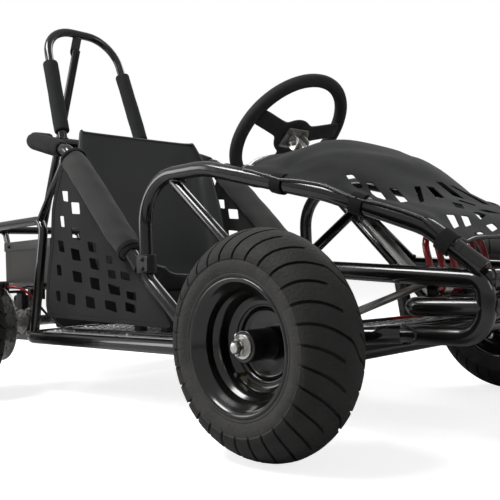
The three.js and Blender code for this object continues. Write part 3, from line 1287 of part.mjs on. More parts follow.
// Wheels: a hollow tyre, a deep steel rim with its hub, and what holds them on the axle
function tyre(centre, side) {
  const half = TYRE_WIDTH / 2;
  const beadHalf = RIM_WIDTH / 2 - RIM_SHEET - GAP;
  const bead = bored(RIM_BEAD_RADIUS, RIM_SIDES);
  const flangeShare = (bored(RIM_FLANGE_RADIUS, RIM_SIDES) - bead) / (TYRE_RADIUS - bead);
  const outerAt = ([share, along]) => [THREE.MathUtils.lerp(bead, TYRE_RADIUS, share), along];
  const outer = [
    [0, beadHalf],
    [flangeShare, beadHalf],
    [WALL_SHARE, half],
    [SHOULDER_SHARE, half - TYRE_BULGE],
    [CROWN_EDGE_SHARE, half - TYRE_BULGE - TYRE_WALL],
  ].map(outerAt);
  const inner = [
    [TYRE_RADIUS - 2 * TYRE_WALL, beadHalf - TYRE_WALL],
    [bead, beadHalf - TYRE_WALL],
  ];
  const mirrored = (points) => points.map(([radius, along]) => [radius, -along]).reverse();
  const profile = [...outer, [TYRE_RADIUS, 0], ...mirrored(outer), ...mirrored(inner), ...inner];
  return turned(profile, centre, side, WHEEL_SIDES);
}

function rim(centre, side, hubRadius, hubLength, boreRadius) {
  const half = RIM_WIDTH / 2;
  const hubHalf = hubLength / 2;
  const bead = half - RIM_SHEET;
  const innerBead = RIM_BEAD_RADIUS - RIM_SHEET;
  const innerWell = RIM_WELL_RADIUS - RIM_SHEET;
  const outerWall = [
    [RIM_FLANGE_RADIUS, half],
    [RIM_FLANGE_RADIUS, bead],
    [RIM_BEAD_RADIUS, bead],
    [RIM_WELL_RADIUS, half / 2],
  ];
  const mirrored = outerWall.map(([radius, along]) => [radius, -along]).reverse();
  const profile = [
    ...outerWall,
    ...mirrored,
    [innerBead, -bead],
    [innerWell, -half / 2],
    [innerWell, -RIM_SHEET],
    [DISH_RADIUS, -RIM_SHEET - DISH_DEPTH],
    [hubRadius, -RIM_SHEET - DISH_DEPTH],
    [hubRadius, -hubHalf],
    [boreRadius, -hubHalf],
    [boreRadius, hubHalf],
    [hubRadius, hubHalf],
    [hubRadius, -DISH_DEPTH],
    [DISH_RADIUS, -DISH_DEPTH],
    [innerWell, 0],
    [innerWell, half / 2],
    [innerBead, bead],
  ];
  return turned(profile, centre, side, RIM_SIDES);
}

function ringAlongY(centre, side, outer, inner, from, to, sides = ROUND_SIDES) {
  return turned([[inner, from], [outer, from], [outer, to], [inner, to]], centre, side, sides);
}

// Both bearings of a front wheel with the spacer between them
function bearingSet(centre, side) {
  const half = FRONT_HUB_LENGTH / 2;
  const outer = FRONT_BORE_RADIUS * Math.cos(Math.PI / RIM_SIDES) - GAP;
  const inner = bored(SPINDLE_RADIUS);
  const profile = [
    [inner, -half],
    [outer, -half],
    [outer, -half + BEARING_WIDTH],
    [BEARING_SPACER_RADIUS, -half + BEARING_WIDTH],
    [BEARING_SPACER_RADIUS, half - BEARING_WIDTH],
    [outer, half - BEARING_WIDTH],
    [outer, half],
    [inner, half],
  ];
  return turned(profile, centre, side, ROUND_SIDES);
}

function castleNut(centre, side, from, bore) {
  const washerRadius = NUT_RADIUS + RIM_SHEET;
  const washerTop = from + RIM_SHEET / 2;
  const top = from + NUT_LENGTH - RIM_SHEET;
  const profile = [
    [bore, from],
    [washerRadius, from],
    [washerRadius, washerTop],
    [NUT_RADIUS, washerTop],
    [NUT_RADIUS, top],
    [bore, top],
  ];
  return turned(profile, centre, side, ROUND_SIDES);
}

for (const { side, word } of SIDES) {
  const front = new THREE.Vector3(0, (side * FRONT_TRACK) / 2, AXLE_HEIGHT);
  const rear = new THREE.Vector3(-WHEELBASE, (side * REAR_TRACK) / 2, AXLE_HEIGHT);
  place(`${word}_front_tyre`, tyre(front, side), TYRE_RUBBER);
  const frontRim = rim(front, side, FRONT_HUB_RADIUS, FRONT_HUB_LENGTH, FRONT_BORE_RADIUS);
  place(`${word}_front_rim`, frontRim, GLOSS_BLACK);
  place(`${word}_front_bearing_set`, bearingSet(front, side), BRIGHT_STEEL);
  const frontNut = castleNut(front, side, FRONT_HUB_LENGTH / 2 + GAP, bored(SPINDLE_RADIUS));
  place(`${word}_front_castle_nut`, frontNut, BRIGHT_STEEL);
  place(`${word}_rear_tyre`, tyre(rear, side), TYRE_RUBBER);
  const rearRim = rim(rear, side, REAR_HUB_RADIUS, REAR_HUB_LENGTH, bored(REAR_AXLE_RADIUS, RIM_SIDES));
  place(`${word}_rear_rim`, rearRim, GLOSS_BLACK);
  const rearNut = castleNut(rear, side, REAR_HUB_LENGTH / 2 + GAP, bored(REAR_AXLE_RADIUS - RIM_SHEET));
  place(`${word}_rear_castle_nut`, rearNut, BRIGHT_STEEL);
}

// Rear axle: one live shaft with a thinner threaded end for each nut
function rearAxle() {
  const full = REAR_TRACK / 2 + REAR_HUB_LENGTH / 2;
  const thread = full + AXLE_STICKOUT;
  const shaft = (half, radius) => rod(
    new THREE.Vector3(-WHEELBASE, -half, AXLE_HEIGHT),
    new THREE.Vector3(-WHEELBASE, half, AXLE_HEIGHT),
    radius,
  );
  return shaft(full, REAR_AXLE_RADIUS).add(shaft(thread, REAR_AXLE_RADIUS - RIM_SHEET));
}

place("rear_axle", rearAxle(), BRIGHT_STEEL);

for (const { side, word } of SIDES) {
  const centre = new THREE.Vector3(-WHEELBASE, side * AXLE_PLATE_HALF, AXLE_HEIGHT);
  const half = BEARING_CARRIER_WIDTH / 2;
  const bore = bored(REAR_AXLE_RADIUS, DISC_SIDES);
  const carrier = ringAlongY(centre, side, BEARING_CARRIER_RADIUS, bore, -half, half, DISC_SIDES);
  place(`${word}_axle_bearing`, carrier, GREY_METAL);
}

// Sprocket and brake disc, each with its hub on the axle
function wheelOnAxle(half, side, radius, thickness, hubRadius, hubLength) {
  const centre = new THREE.Vector3(-WHEELBASE, side * half, AXLE_HEIGHT);
  const bore = bored(REAR_AXLE_RADIUS, DISC_SIDES);
  const profile = [
    [bore, -hubLength / 2],
    [hubRadius, -hubLength / 2],
    [hubRadius, -thickness / 2],
    [radius, -thickness / 2],
    [radius, thickness / 2],
    [hubRadius, thickness / 2],
    [hubRadius, hubLength / 2],
    [bore, hubLength / 2],
  ];
  return turned(profile, centre, side, DISC_SIDES);
}

const SPROCKET_OUTER = SPROCKET_RADIUS - CHAIN_THICKNESS / 2 - CHAIN_GAP;
const PINION_OUTER = PINION_RADIUS - CHAIN_THICKNESS / 2 - CHAIN_GAP;
place("rear_sprocket", wheelOnAxle(CHAIN_HALF, LEFT, SPROCKET_OUTER, SPROCKET_THICKNESS,
  SPROCKET_HUB_RADIUS, SPROCKET_HUB_LENGTH), BRIGHT_STEEL);
place("brake_disc", wheelOnAxle(DISC_HALF, RIGHT, DISC_RADIUS, DISC_THICKNESS,
  DISC_HUB_RADIUS, DISC_HUB_LENGTH), BRIGHT_STEEL);

// Motor on the floor behind the seat, its pinion in line with the sprocket
const MOTOR_CENTRE = new THREE.Vector3(-MOTOR_BACK, MOTOR_OUTER_HALF - MOTOR_LENGTH / 2, MOTOR_HEIGHT);

function motor() {
  const half = ACROSS.clone().multiplyScalar(MOTOR_LENGTH / 2);
  const can = rod(MOTOR_CENTRE.clone().sub(half), MOTOR_CENTRE.clone().add(half), MOTOR_RADIUS, DISC_SIDES);
  const footHeight = MOTOR_HEIGHT - FLOOR_TOP - GAP;
  const foot = block(
    new THREE.Vector3(-MOTOR_BACK, MOTOR_CENTRE.y, FLOOR_TOP + GAP + footHeight / 2 - MOTOR_RADIUS / 4),
    new THREE.Vector3(MOTOR_FOOT_WIDTH, MOTOR_LENGTH / 2, footHeight - MOTOR_RADIUS / 2),
  );
  return can.add(foot);
}

place("drive_motor", motor(), SATIN_BLACK);

function pinion() {
  const from = MOTOR_OUTER_HALF + GAP;
  const centre = new THREE.Vector3(-MOTOR_BACK, 0, MOTOR_HEIGHT);
  const near = CHAIN_HALF - SPROCKET_THICKNESS / 2;
  const far = CHAIN_HALF + SPROCKET_THICKNESS / 2;
  const profile = [
    [0, from],
    [MOTOR_SHAFT_RADIUS, from],
    [MOTOR_SHAFT_RADIUS, near],
    [PINION_OUTER, near],
    [PINION_OUTER, far],
    [MOTOR_SHAFT_RADIUS, far],
    [MOTOR_SHAFT_RADIUS, far + SPROCKET_THICKNESS],
    [0, far + SPROCKET_THICKNESS],
  ];
  return turned(profile, centre, LEFT, ROUND_SIDES);
}

place("motor_pinion", pinion(), BRIGHT_STEEL);

// Drive chain: a flat loop that runs round both toothed wheels
const CHAIN_ARC_STEPS = 18;
const PINION_ARC_STEPS = 6;

function chainLoop(radiusChange) {
  const big = { x: -WHEELBASE, z: AXLE_HEIGHT, radius: SPROCKET_RADIUS + radiusChange };
  const small = { x: -MOTOR_BACK, z: MOTOR_HEIGHT, radius: PINION_RADIUS + radiusChange };
  const span = Math.hypot(small.x - big.x, small.z - big.z);
  const heading = Math.atan2(small.z - big.z, small.x - big.x);
  const wrap = Math.acos((big.radius - small.radius) / span);
  const points = [];
  const arc = (wheel, from, to, steps) => {
    for (let index = 0; index <= steps; index += 1) {
      const turn = THREE.MathUtils.lerp(from, to, index / steps);
      const x = wheel.x + wheel.radius * Math.cos(turn);
      points.push(new THREE.Vector2(x, wheel.z + wheel.radius * Math.sin(turn)));
    }
  };
  arc(big, heading + wrap, heading + 2 * Math.PI - wrap, CHAIN_ARC_STEPS);
  arc(small, heading - wrap, heading + wrap, PINION_ARC_STEPS);
  return points;
}

function chain() {
  const shape = new THREE.Shape(chainLoop(CHAIN_THICKNESS / 2));
  shape.holes.push(new THREE.Path(chainLoop(-CHAIN_THICKNESS / 2).reverse()));
  const geometry = new THREE.ExtrudeGeometry(shape, { depth: CHAIN_WIDTH, bevelEnabled: false });
  geometry.rotateX(Math.PI / 2);
  geometry.translate(0, CHAIN_HALF + CHAIN_WIDTH / 2, 0);
  return solidOf(geometry);
}

place("drive_chain", chain(), GREY_METAL);

// Brake caliper: a block astride the disc on an arm from the axle plate
function caliper() {
  const top = AXLE_HEIGHT + DISC_RADIUS + CALIPER_HEIGHT / 3;
  const centre = new THREE.Vector3(-WHEELBASE, -DISC_HALF, top - CALIPER_HEIGHT / 2);
  const body = block(centre, new THREE.Vector3(CALIPER_LENGTH, CALIPER_WIDTH, CALIPER_HEIGHT));
  const slot = ringAlongY(
    new THREE.Vector3(-WHEELBASE, -DISC_HALF, AXLE_HEIGHT),
    RIGHT,
    DISC_RADIUS + CALIPER_SLOT,
    DISC_HUB_RADIUS,
    -CALIPER_SLOT / 2,
    CALIPER_SLOT / 2,
    DISC_SIDES,
  );
  const inner = AXLE_PLATE_HALF + AXLE_PLATE_THICKNESS / 2 + GAP;
  const outer = DISC_HALF - CALIPER_SLOT;
  const bottom = centre.z - CALIPER_HEIGHT / 2;
  const armHeight = TRAY_BAR_HEIGHT - THIN_ROD_RADIUS - GAP - bottom;
  const arm = block(
    new THREE.Vector3(-WHEELBASE, -(inner + outer) / 2, bottom + armHeight / 2),
    new THREE.Vector3(CALIPER_LENGTH / 2, outer - inner, armHeight),
  );
  const tongueTop = bottom + armHeight / 2;
  const tongueBottom = AXLE_HEIGHT + BEARING_CARRIER_RADIUS + GAP;
  const tongue = block(
    new THREE.Vector3(-WHEELBASE, -inner - AXLE_PLATE_THICKNESS / 2, (tongueTop + tongueBottom) / 2),
    new THREE.Vector3(CALIPER_LENGTH / 2, AXLE_PLATE_THICKNESS, tongueTop - tongueBottom),
  );
  return cut(join([body, arm, tongue]), [slot]);
}

place("brake_caliper", caliper(), SATIN_BLACK);

// Battery box: an open steel box on the lower bars, with a lid and the battery pack
const BOX_BOTTOM = TRAY_BAR_HEIGHT + THIN_ROD_RADIUS * Math.cos(Math.PI / SLIM_SIDES) + GAP;
const BOX_CENTRE = new THREE.Vector3(-BOX_FRONT_BACK - BOX_LENGTH / 2, 0, BOX_BOTTOM + BOX_HEIGHT / 2);

function batteryBox() {
  const outer = block(BOX_CENTRE, new THREE.Vector3(BOX_LENGTH, 2 * BOX_HALF_WIDTH, BOX_HEIGHT));
  const hollow = block(
    BOX_CENTRE.clone().addScaledVector(UP, BOX_SHEET + OVERRUN / 2),
    new THREE.Vector3(BOX_LENGTH - 2 * BOX_SHEET, 2 * (BOX_HALF_WIDTH - BOX_SHEET), BOX_HEIGHT + OVERRUN),
  );
  return outer.subtract(hollow);
}

function boxLid() {
  const top = BOX_BOTTOM + BOX_HEIGHT + GAP + BOX_SHEET;
  const centre = new THREE.Vector3(BOX_CENTRE.x, 0, top - LID_HEIGHT / 2);
  const grow = GAP + BOX_SHEET;
  const outer = block(
    centre,
    new THREE.Vector3(BOX_LENGTH + 2 * grow, 2 * (BOX_HALF_WIDTH + grow), LID_HEIGHT),
  );
  const hollow = block(
    centre.clone().addScaledVector(UP, -BOX_SHEET - OVERRUN / 2),
    new THREE.Vector3(BOX_LENGTH + 2 * GAP, 2 * (BOX_HALF_WIDTH + GAP), LID_HEIGHT + OVERRUN),
  );
  return outer.subtract(hollow);
}

function batteryPack() {
  const height = BOX_HEIGHT - 2 * CELL_MARGIN;
  return block(
    new THREE.Vector3(BOX_CENTRE.x, 0, BOX_BOTTOM + BOX_SHEET + GAP + height / 2),
    new THREE.Vector3(BOX_LENGTH - 2 * CELL_MARGIN, 2 * (BOX_HALF_WIDTH - CELL_MARGIN), height),
  );
}

place("battery_box", batteryBox(), BOX_GREY);
place("battery_box_lid", boxLid(), BOX_GREY);
place("battery_pack", batteryPack(), CELL_GREY);

// Pedals: a round bar bent to a loop with a middle bar, on a hub that turns on the pedal pin
function pedal(side) {
  const tilt = new THREE.Vector3(-Math.sin(PEDAL_LEAN), 0, Math.cos(PEDAL_LEAN));
  const spot = (beside, up, bend) => {
    const corner = at(side, PEDAL_PIN_FRONT, PEDAL_HALF + beside, PEDAL_PIN_HEIGHT, bend);
    corner.point.addScaledVector(tilt, up);
    return corner;
  };
  const bar = (beside, from, to, radius) => {
    return rod(spot(-beside, from).point, spot(beside, to).point, radius, SLIM_SIDES);
  };
  const corners = [
    spot(-PEDAL_LOOP_HALF, 0),
    spot(-PEDAL_LOOP_HALF, PEDAL_LENGTH, PEDAL_BEND),
    spot(PEDAL_LOOP_HALF, PEDAL_LENGTH, PEDAL_BEND),
    spot(PEDAL_LOOP_HALF, 0),
  ];
  const loop = tube(corners, PEDAL_ROD_RADIUS, SLIM_SIDES);
  const middle = bar(0, 0, PEDAL_LENGTH, PEDAL_ROD_RADIUS);
  const hub = bar(PEDAL_HUB_LENGTH / 2, 0, 0, PEDAL_HUB_RADIUS);
  const bore = bar(PEDAL_HUB_LENGTH, 0, 0, bored(PEDAL_PIN_RADIUS));
  return cut(join([loop, middle, hub]), [bore]);
}

place("throttle_pedal", pedal(RIGHT), GLOSS_RED);
place("brake_pedal", pedal(LEFT), GLOSS_RED);

// Brake cable: from its stop beside the brake pedal back along the floor to the caliper
const CABLE_ROUTE = [
  [91.7, 116, 200],
  [76, 116, 199.6],
  [58, 113, 196],
  [40, 105, 189.5],
  [22, 90, 182],
  [4, 68, 176.5],
  [-30, 30, 172.4],
  [-75, -20, 168.4],
  [-120, -66, 164.6],
  [-180, -122, 159.4],
  [-250, -172, 153.6],
  [-350, -198, 148],
];
const CABLE_TAIL_ROUTE = [
  [340, -206, 149],
  [190, -202, 149],
  [128, -188, 153],
  [85, -196, 178],
  [72, -222, 214],
  [68, -248, 242],
  [50, -267, 251],
  [28.4, -269, 251],
];
const CABLE_STEPS = 33;

function brakeCable() {
  const head = CABLE_ROUTE.map(([x, y, z]) => new THREE.Vector3(x, y, z));
  const tail = CABLE_TAIL_ROUTE.map(([ahead, y, z]) => new THREE.Vector3(ahead - WHEELBASE, y, z));
  const points = [...head, ...tail];
  const path = new THREE.CatmullRomCurve3(points, false, "centripetal");
  const settings = { steps: CABLE_STEPS, extrudePath: path, bevelEnabled: false };
  return solidOf(new THREE.ExtrudeGeometry(roundOutline(CABLE_RADIUS, SLIM_SIDES), settings));
}

place("brake_cable", brakeCable(), CABLE_RED);

export default kart;
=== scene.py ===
# %% [markdown]
# # An off road go kart, built piece by piece
# The kart is a frame of bent steel tube on four grooved tyres. It has a moulded bucket seat, cloth
# nets beside the driver, a cloth hood over the front rails and an electric drive at the back.
# The solid model gives every piece its place. This script dresses those pieces: it replaces the
# faceted solids by smooth ones, adds the small fixings, and gives every surface its finish.

import bpy
import bmesh
import math
import random
from mathutils import Matrix, Vector
from mathutils.geometry import delaunay_2d_cdt


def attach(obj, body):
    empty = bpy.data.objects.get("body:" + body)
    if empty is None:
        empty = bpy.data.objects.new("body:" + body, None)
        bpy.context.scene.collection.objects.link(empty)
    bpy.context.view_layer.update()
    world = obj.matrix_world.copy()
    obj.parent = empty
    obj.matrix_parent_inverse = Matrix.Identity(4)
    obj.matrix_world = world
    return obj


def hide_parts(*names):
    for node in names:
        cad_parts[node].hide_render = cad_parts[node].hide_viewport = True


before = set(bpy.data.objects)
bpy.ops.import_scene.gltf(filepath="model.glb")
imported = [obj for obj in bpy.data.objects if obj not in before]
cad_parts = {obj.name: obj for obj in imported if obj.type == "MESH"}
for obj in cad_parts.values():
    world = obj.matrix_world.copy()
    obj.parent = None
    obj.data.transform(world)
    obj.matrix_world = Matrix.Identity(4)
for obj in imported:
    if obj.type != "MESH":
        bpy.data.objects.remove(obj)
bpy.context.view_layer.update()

# %% [markdown]
# ## Measures
# A kart is drawn in millimetres from the line of its front axle on the ground: x runs forward, y to
# the driver's left, z up. Every shape below is made in those millimetres, and one function at the
# end turns them into metres about the middle of the kart.

# %% Named measures
AXLE_X = 514.5
WHEELBASE = 990.0
AXLE_Z = 165.0 * math.cos(math.pi / 26)
FRONT_HALF = 372.5
REAR_HALF = 384.0
TUBE = 14.0
SLIM = 11.0
THIN = 8.0
FLOOR_TOP = 142.96
RIGHT, LEFT = -1, 1
SIDES = ((RIGHT, "right"), (LEFT, "left"))
X_AXIS, Y_AXIS, Z_AXIS = Vector((1, 0, 0)), Vector((0, 1, 0)), Vector((0, 0, 1))


def metres(point):
    """A point of the drawing as a point of the part's frame."""
    return Vector(((point[0] + AXLE_X) / 1000, point[1] / 1000, point[2] / 1000))


def plain_mesh(name, points, faces, edges=()):
    mesh = bpy.data.meshes.new(name)
    mesh.from_pydata(points, edges, faces)
    return mesh


def turns(count, shift=0):
    """Angles spread evenly over one turn."""
    return [2 * math.pi * (i + shift) / count for i in range(count)]


def round_axle(reach, turn):
    """A place at a reach from an axle that lies crosswise."""
    return X_AXIS * (reach * math.cos(turn)) + Z_AXIS * (reach * math.sin(turn))


def joined_mesh(first, second, sharp=35):
    """Both meshes in the first one, their faces turned outwards."""
    work = bmesh.new()
    work.from_mesh(first)
    work.from_mesh(second)
    bmesh.ops.recalc_face_normals(work, faces=work.faces)
    work.to_mesh(first)
    work.free()
    return smoothed(first, sharp)


def smoothed(mesh, sharp):
    """Smooth shading, with edges sharper than an angle left sharp."""
    mesh.shade_smooth()
    mesh.set_sharp_from_angle(angle=math.radians(sharp))
    return mesh


def linked(name, data):
    """A new object of the scene."""
    made = bpy.data.objects.new(name, data)
    bpy.context.scene.collection.objects.link(made)
    return made


# %% [markdown]
# ## The camera
# The photograph was taken low, ahead of the kart's right front wheel. Its lens and place were found
# by fitting known circles, such as the tyre and the steering wheel, so the camera repeats them.

# %% Camera
CAMERA_PLACE = (735.69, -1119.07, 267.31)
CAMERA_TURN = math.radians(44.94)
CAMERA_PITCH = math.radians(1.99)
CAMERA_ROLL = math.radians(-2.238)
PIXELS = 500
FOCAL_PIXELS = 740.34
LENS_CENTRE = (254.2, 245.15)
SENSOR = 36.0

look = Vector((-math.sin(CAMERA_TURN) * math.cos(CAMERA_PITCH), math.cos(CAMERA_TURN) * math.cos(CAMERA_PITCH),
               math.sin(CAMERA_PITCH)))
level_right = Vector((math.cos(CAMERA_TURN), math.sin(CAMERA_TURN), 0))
level_up = level_right.cross(look)
cam_right = level_right * math.cos(CAMERA_ROLL) + level_up * math.sin(CAMERA_ROLL)
cam_up = level_up * math.cos(CAMERA_ROLL) - level_right * math.sin(CAMERA_ROLL)
cam_data = bpy.data.cameras.new("photo_camera")
cam_data.sensor_width = SENSOR
cam_data.lens = FOCAL_PIXELS / PIXELS * SENSOR
cam_data.shift_x = (PIXELS / 2 - LENS_CENTRE[0]) / PIXELS
cam_data.shift_y = (LENS_CENTRE[1] - PIXELS / 2) / PIXELS
cam_data.clip_start, cam_data.clip_end = 0.02, 60
camera = linked("photo_camera", cam_data)
turn = Matrix((cam_right, cam_up, -look)).transposed().to_4x4()
camera.matrix_world = Matrix.Translation(metres(CAMERA_PLACE)) @ turn
bpy.context.scene.camera = camera
print("camera at", [round(v, 3) for v in camera.location])

# %% [markdown]
# ## The brake cable
# A thin red sheath runs from its stop beside the brake pedal, along the floor and up to the caliper
# on the rear axle. It is the one cord of the kart, so it is made first: one smooth curve through the
# same points as the solid, with a round section.

# %% Brake cable
CABLE_RADIUS = 3.0
CABLE_HEAD = (
    (91.7, 116, 200), (76, 116, 199.6), (58, 113, 196), (40, 105, 189.5), (22, 90, 182), (4, 68, 176.5),
    (-30, 30, 172.4), (-75, -20, 168.4), (-120, -66, 164.6), (-180, -122, 159.4), (-250, -172, 153.6),
    (-350, -198, 148),
)
CABLE_TAIL = (
    (340, -206, 149), (190, -202, 149), (128, -188, 153), (85, -196, 178), (72, -222, 214), (68, -248, 242),
    (50, -267, 251), (28.4, -269, 251),
)
cable_points = [Vector(p) for p in CABLE_HEAD]
cable_points += [Vector((ahead - WHEELBASE, y, z)) for ahead, y, z in CABLE_TAIL]


def smooth_run(points, steps):
    """Points on an even curve through the given ones, as a centripetal spline gives them."""
    ends = [points[0] * 2 - points[1], *points, points[-1] * 2 - points[-2]]
    run = []
    for index in range(1, len(ends) - 2):
        p0, p1, p2, p3 = ends[index - 1:index + 3]
        t1 = (p1 - p0).length ** 0.5
        t2 = t1 + (p2 - p1).length ** 0.5
        t3 = t2 + (p3 - p2).length ** 0.5
        for step in range(steps):
            t = t1 + (t2 - t1) * step / steps
            a1 = p0 * ((t1 - t) / t1) + p1 * (t / t1)
            a2 = p1 * ((t2 - t) / (t2 - t1)) + p2 * ((t - t1) / (t2 - t1))
            a3 = p2 * ((t3 - t) / (t3 - t2)) + p3 * ((t - t2) / (t3 - t2))
            b1 = a1 * ((t2 - t) / t2) + a2 * (t / t2)
            b2 = a2 * ((t3 - t) / (t3 - t1)) + a3 * ((t - t1) / (t3 - t1))
            run.append(b1 * ((t2 - t) / (t2 - t1)) + b2 * ((t - t1) / (t2 - t1)))
    run.append(points[-1].copy())
    return run


def run_lengths(run):
    """How far along a line each of its points lies."""
    lengths = [0.0]
    for a, b in zip(run, run[1:]):
        lengths.append(lengths[-1] + (b - a).length)
    return lengths


cable_curve = bpy.data.curves.new("brake_cable_sheath", "CURVE")
cable_curve.dimensions = "3D"
cable_curve.bevel_depth = 1.0
cable_curve.bevel_resolution = 4
cable_curve.use_fill_caps = True
cable_spline = cable_curve.splines.new("BEZIER")
cable_spline.resolution_u = 10
cable_spline.bezier_points.add(len(cable_points) - 1)
for knot, point in zip(cable_spline.bezier_points, cable_points):
    knot.co = metres(point)
    knot.handle_left_type = knot.handle_right_type = "AUTO"
    knot.radius = CABLE_RADIUS / 1000
brake_cable = linked("brake_cable_sheath", cable_curve)
cable_length = run_lengths(smooth_run(cable_points, 12))[-1] / 1000
print("brake cable:", round(cable_length, 3), "m long")

# %% [markdown]
# ## Light, floor and backdrop
# The photograph is a plain product picture: soft light from large lamps and a white ground. Three
# big soft lamps stand round the kart, and a small one before it. The world lights it evenly, shows
# pure white to the lens and through glass, and a third of that white in reflections. The floor is
# pale, keeps the kart's shadow, and fades into that white.

# %% Node helpers
def put(tree, kind, inputs=None, **settings):
    """A new node. Each input takes a plain value or another node's socket."""
    node = tree.nodes.new(kind)
    for label, value in settings.items():
        setattr(node, label, value)
    for label, value in (inputs or {}).items():
        if isinstance(value, bpy.types.NodeSocket):
            tree.links.new(value, node.inputs[label])
        else:
            node.inputs[label].default_value = value
    return node


def maths(tree, operation, first, second=None):
    """A Math node fed by sockets or plain numbers; gives its output socket."""
    inputs = {index: value for index, value in enumerate((first, second)) if value is not None}
    return put(tree, "ShaderNodeMath", inputs, operation=operation).outputs[0]


# %% World
FILL, MIRROR_SHARE = 0.17, 0.35
WHITE = (1, 1, 1, 1)
scene = bpy.context.scene
scene.view_settings.view_transform = "Standard"
world = scene.world = bpy.data.worlds.new("studio")
world.use_nodes = True
sky = world.node_tree
sky.nodes.clear()
fill_light, white_wall = (put(sky, "ShaderNodeBackground", {"Color": WHITE, "Strength": strength}).outputs[0]
                          for strength in (FILL, 1.0))
seen = put(sky, "ShaderNodeLightPath").outputs
mirrored_share = maths(sky, "MULTIPLY", seen["Is Glossy Ray"], MIRROR_SHARE)
lens_or_glass = maths(sky, "MAXIMUM", seen["Is Camera Ray"], seen["Is Transmission Ray"])
white_share = maths(sky, "MAXIMUM", mirrored_share, lens_or_glass)
choose = put(sky, "ShaderNodeMixShader", {"Fac": white_share, 1: fill_light, 2: white_wall})
put(sky, "ShaderNodeOutputWorld", {"Surface": choose.outputs[0]})

# %% Lamps
LAMPS = (
    ("key_lamp", (-0.5, -1.7, 2.9), 1.6, 0.9, 82),
    ("side_lamp", (-2.3, -2.2, 1.3), 1.2, 1.6, 25),
    ("back_lamp", (-0.6, 2.4, 2.6), 2.2, 1.2, 34),
    ("front_lamp", (3.0, 0.9, 1.6), 1.0, 1.4, 10),
)
LAMP_AIM = Vector((0.0, 0.0, 0.35))
for lamp_name, place, width, height, power in LAMPS:
    lamp = bpy.data.lights.new(lamp_name, "AREA")
    lamp.shape = "RECTANGLE"
    lamp.size, lamp.size_y, lamp.energy = width, height, power
    lamp_object = linked(lamp_name, lamp)
    lamp_object.location = place
    lamp_object.rotation_euler = (LAMP_AIM - Vector(place)).to_track_quat("-Z", "Y").to_euler()
print("lamps:", len(LAMPS))

# %% Floor
FLOOR_REACH, FLOOR_DROP = 24.0, 0.0006
FLOOR_TONE, FLOOR_GLOW = 0.62, 0.8
floor_corners = [(FLOOR_REACH * x, FLOOR_REACH * y, 0) for x, y in ((-1, -1), (1, -1), (1, 1), (-1, 1))]
floor_mesh = plain_mesh("studio_floor", floor_corners, [(0, 1, 2, 3)])
floor = linked("studio_floor", floor_mesh)
floor.location.z = -FLOOR_DROP
floor_paint = bpy.data.materials.new("pale_floor")
floor_paint.use_nodes = True
tree = floor_paint.node_tree
tree.nodes.clear()
matt = put(tree, "ShaderNodeBsdfDiffuse", {"Color": (FLOOR_TONE, FLOOR_TONE, FLOOR_TONE, 1)})
lens_glow = maths(tree, "MULTIPLY", put(tree, "ShaderNodeLightPath").outputs["Is Camera Ray"], FLOOR_GLOW)
glow = put(tree, "ShaderNodeEmission", {"Color": WHITE, "Strength": lens_glow})
both = put(tree, "ShaderNodeAddShader", {0: matt.outputs[0], 1: glow.outputs[0]})
put(tree, "ShaderNodeOutputMaterial", {"Surface": both.outputs[0]})
floor_mesh.materials.append(floor_paint)

# %% [markdown]
# ## Shared surface effects
# No real surface is one even colour. Paint has faint patches and the ripple that painters call
# orange peel, cloth has its threads, and zinc shows the edges of its crystals. Each of these
# effects is built once as a node group, and every material places it with its own scale.

# %% Node groups
def new_group(name, inputs, outputs, kind="ShaderNodeTree"):
    """An empty node group with its sockets, and its input and output nodes."""
    group = bpy.data.node_groups.new(name, kind)
    for label, socket_kind, value in inputs:
        socket = group.interface.new_socket(label, in_out="INPUT", socket_type=socket_kind)
        if value is not None:
            socket.default_value = value
    for label, socket_kind in outputs:
        group.interface.new_socket(label, in_out="OUTPUT", socket_type=socket_kind)
    return group, group.nodes.new("NodeGroupInput"), group.nodes.new("NodeGroupOutput")


FLOAT, VECTOR, WHOLE = "NodeSocketFloat", "NodeSocketVector", "NodeSocketInt"
surface_play, play_in, play_out = new_group(
    "surface_play",
    [("Place", VECTOR, None), ("Patch Scale", FLOAT, 6.0), ("Grain Scale", FLOAT, 300.0)],
    [("Patches", FLOAT), ("Grain", FLOAT), ("Height", FLOAT)],
)
patches, grain = (put(surface_play, "ShaderNodeTexNoise", {
    "Detail": detail, "Vector": play_in.outputs["Place"], "Scale": play_in.outputs[scale]}).outputs["Fac"]
    for detail, scale in ((3.0, "Patch Scale"), (2.0, "Grain Scale")))
wide = maths(surface_play, "MULTIPLY", maths(surface_play, "SUBTRACT", patches, 0.3), 2.5)
limited = maths(surface_play, "MINIMUM", maths(surface_play, "MAXIMUM", wide, 0.0), 1.0)
height = maths(surface_play, "ADD", maths(surface_play, "MULTIPLY", patches, 0.4), grain)
for label, socket in (("Patches", limited), ("Grain", grain), ("Height", height)):
    surface_play.links.new(socket, play_out.inputs[label])

woven, woven_in, woven_out = new_group(
    "woven_threads",
    [("Place", VECTOR, None), ("Threads", FLOAT, 900.0)],
    [("Threads", FLOAT), ("Height", FLOAT)],
)
split = put(woven, "ShaderNodeSeparateXYZ", {0: woven_in.outputs["Place"]})
across_wave, along_wave = (
    maths(woven, "SINE", maths(woven, "MULTIPLY", split.outputs[way], woven_in.outputs["Threads"])) for way in (0, 1))
threads = maths(woven, "ADD", maths(woven, "MULTIPLY", maths(woven, "MULTIPLY", across_wave, along_wave), 0.5), 0.5)
for label in ("Threads", "Height"):
    woven.links.new(threads, woven_out.inputs[label])
print("shader groups:", [g.name for g in (surface_play, woven)])

# %% [markdown]
# ## Finishes
# One function makes a painted, moulded or plated finish: a dark and a light tone mixed by the
# patches, a roughness that changes with them, and a bump from the grain. Cloth adds its threads, read
# from the piece's own UV map so that the weave follows the folds.

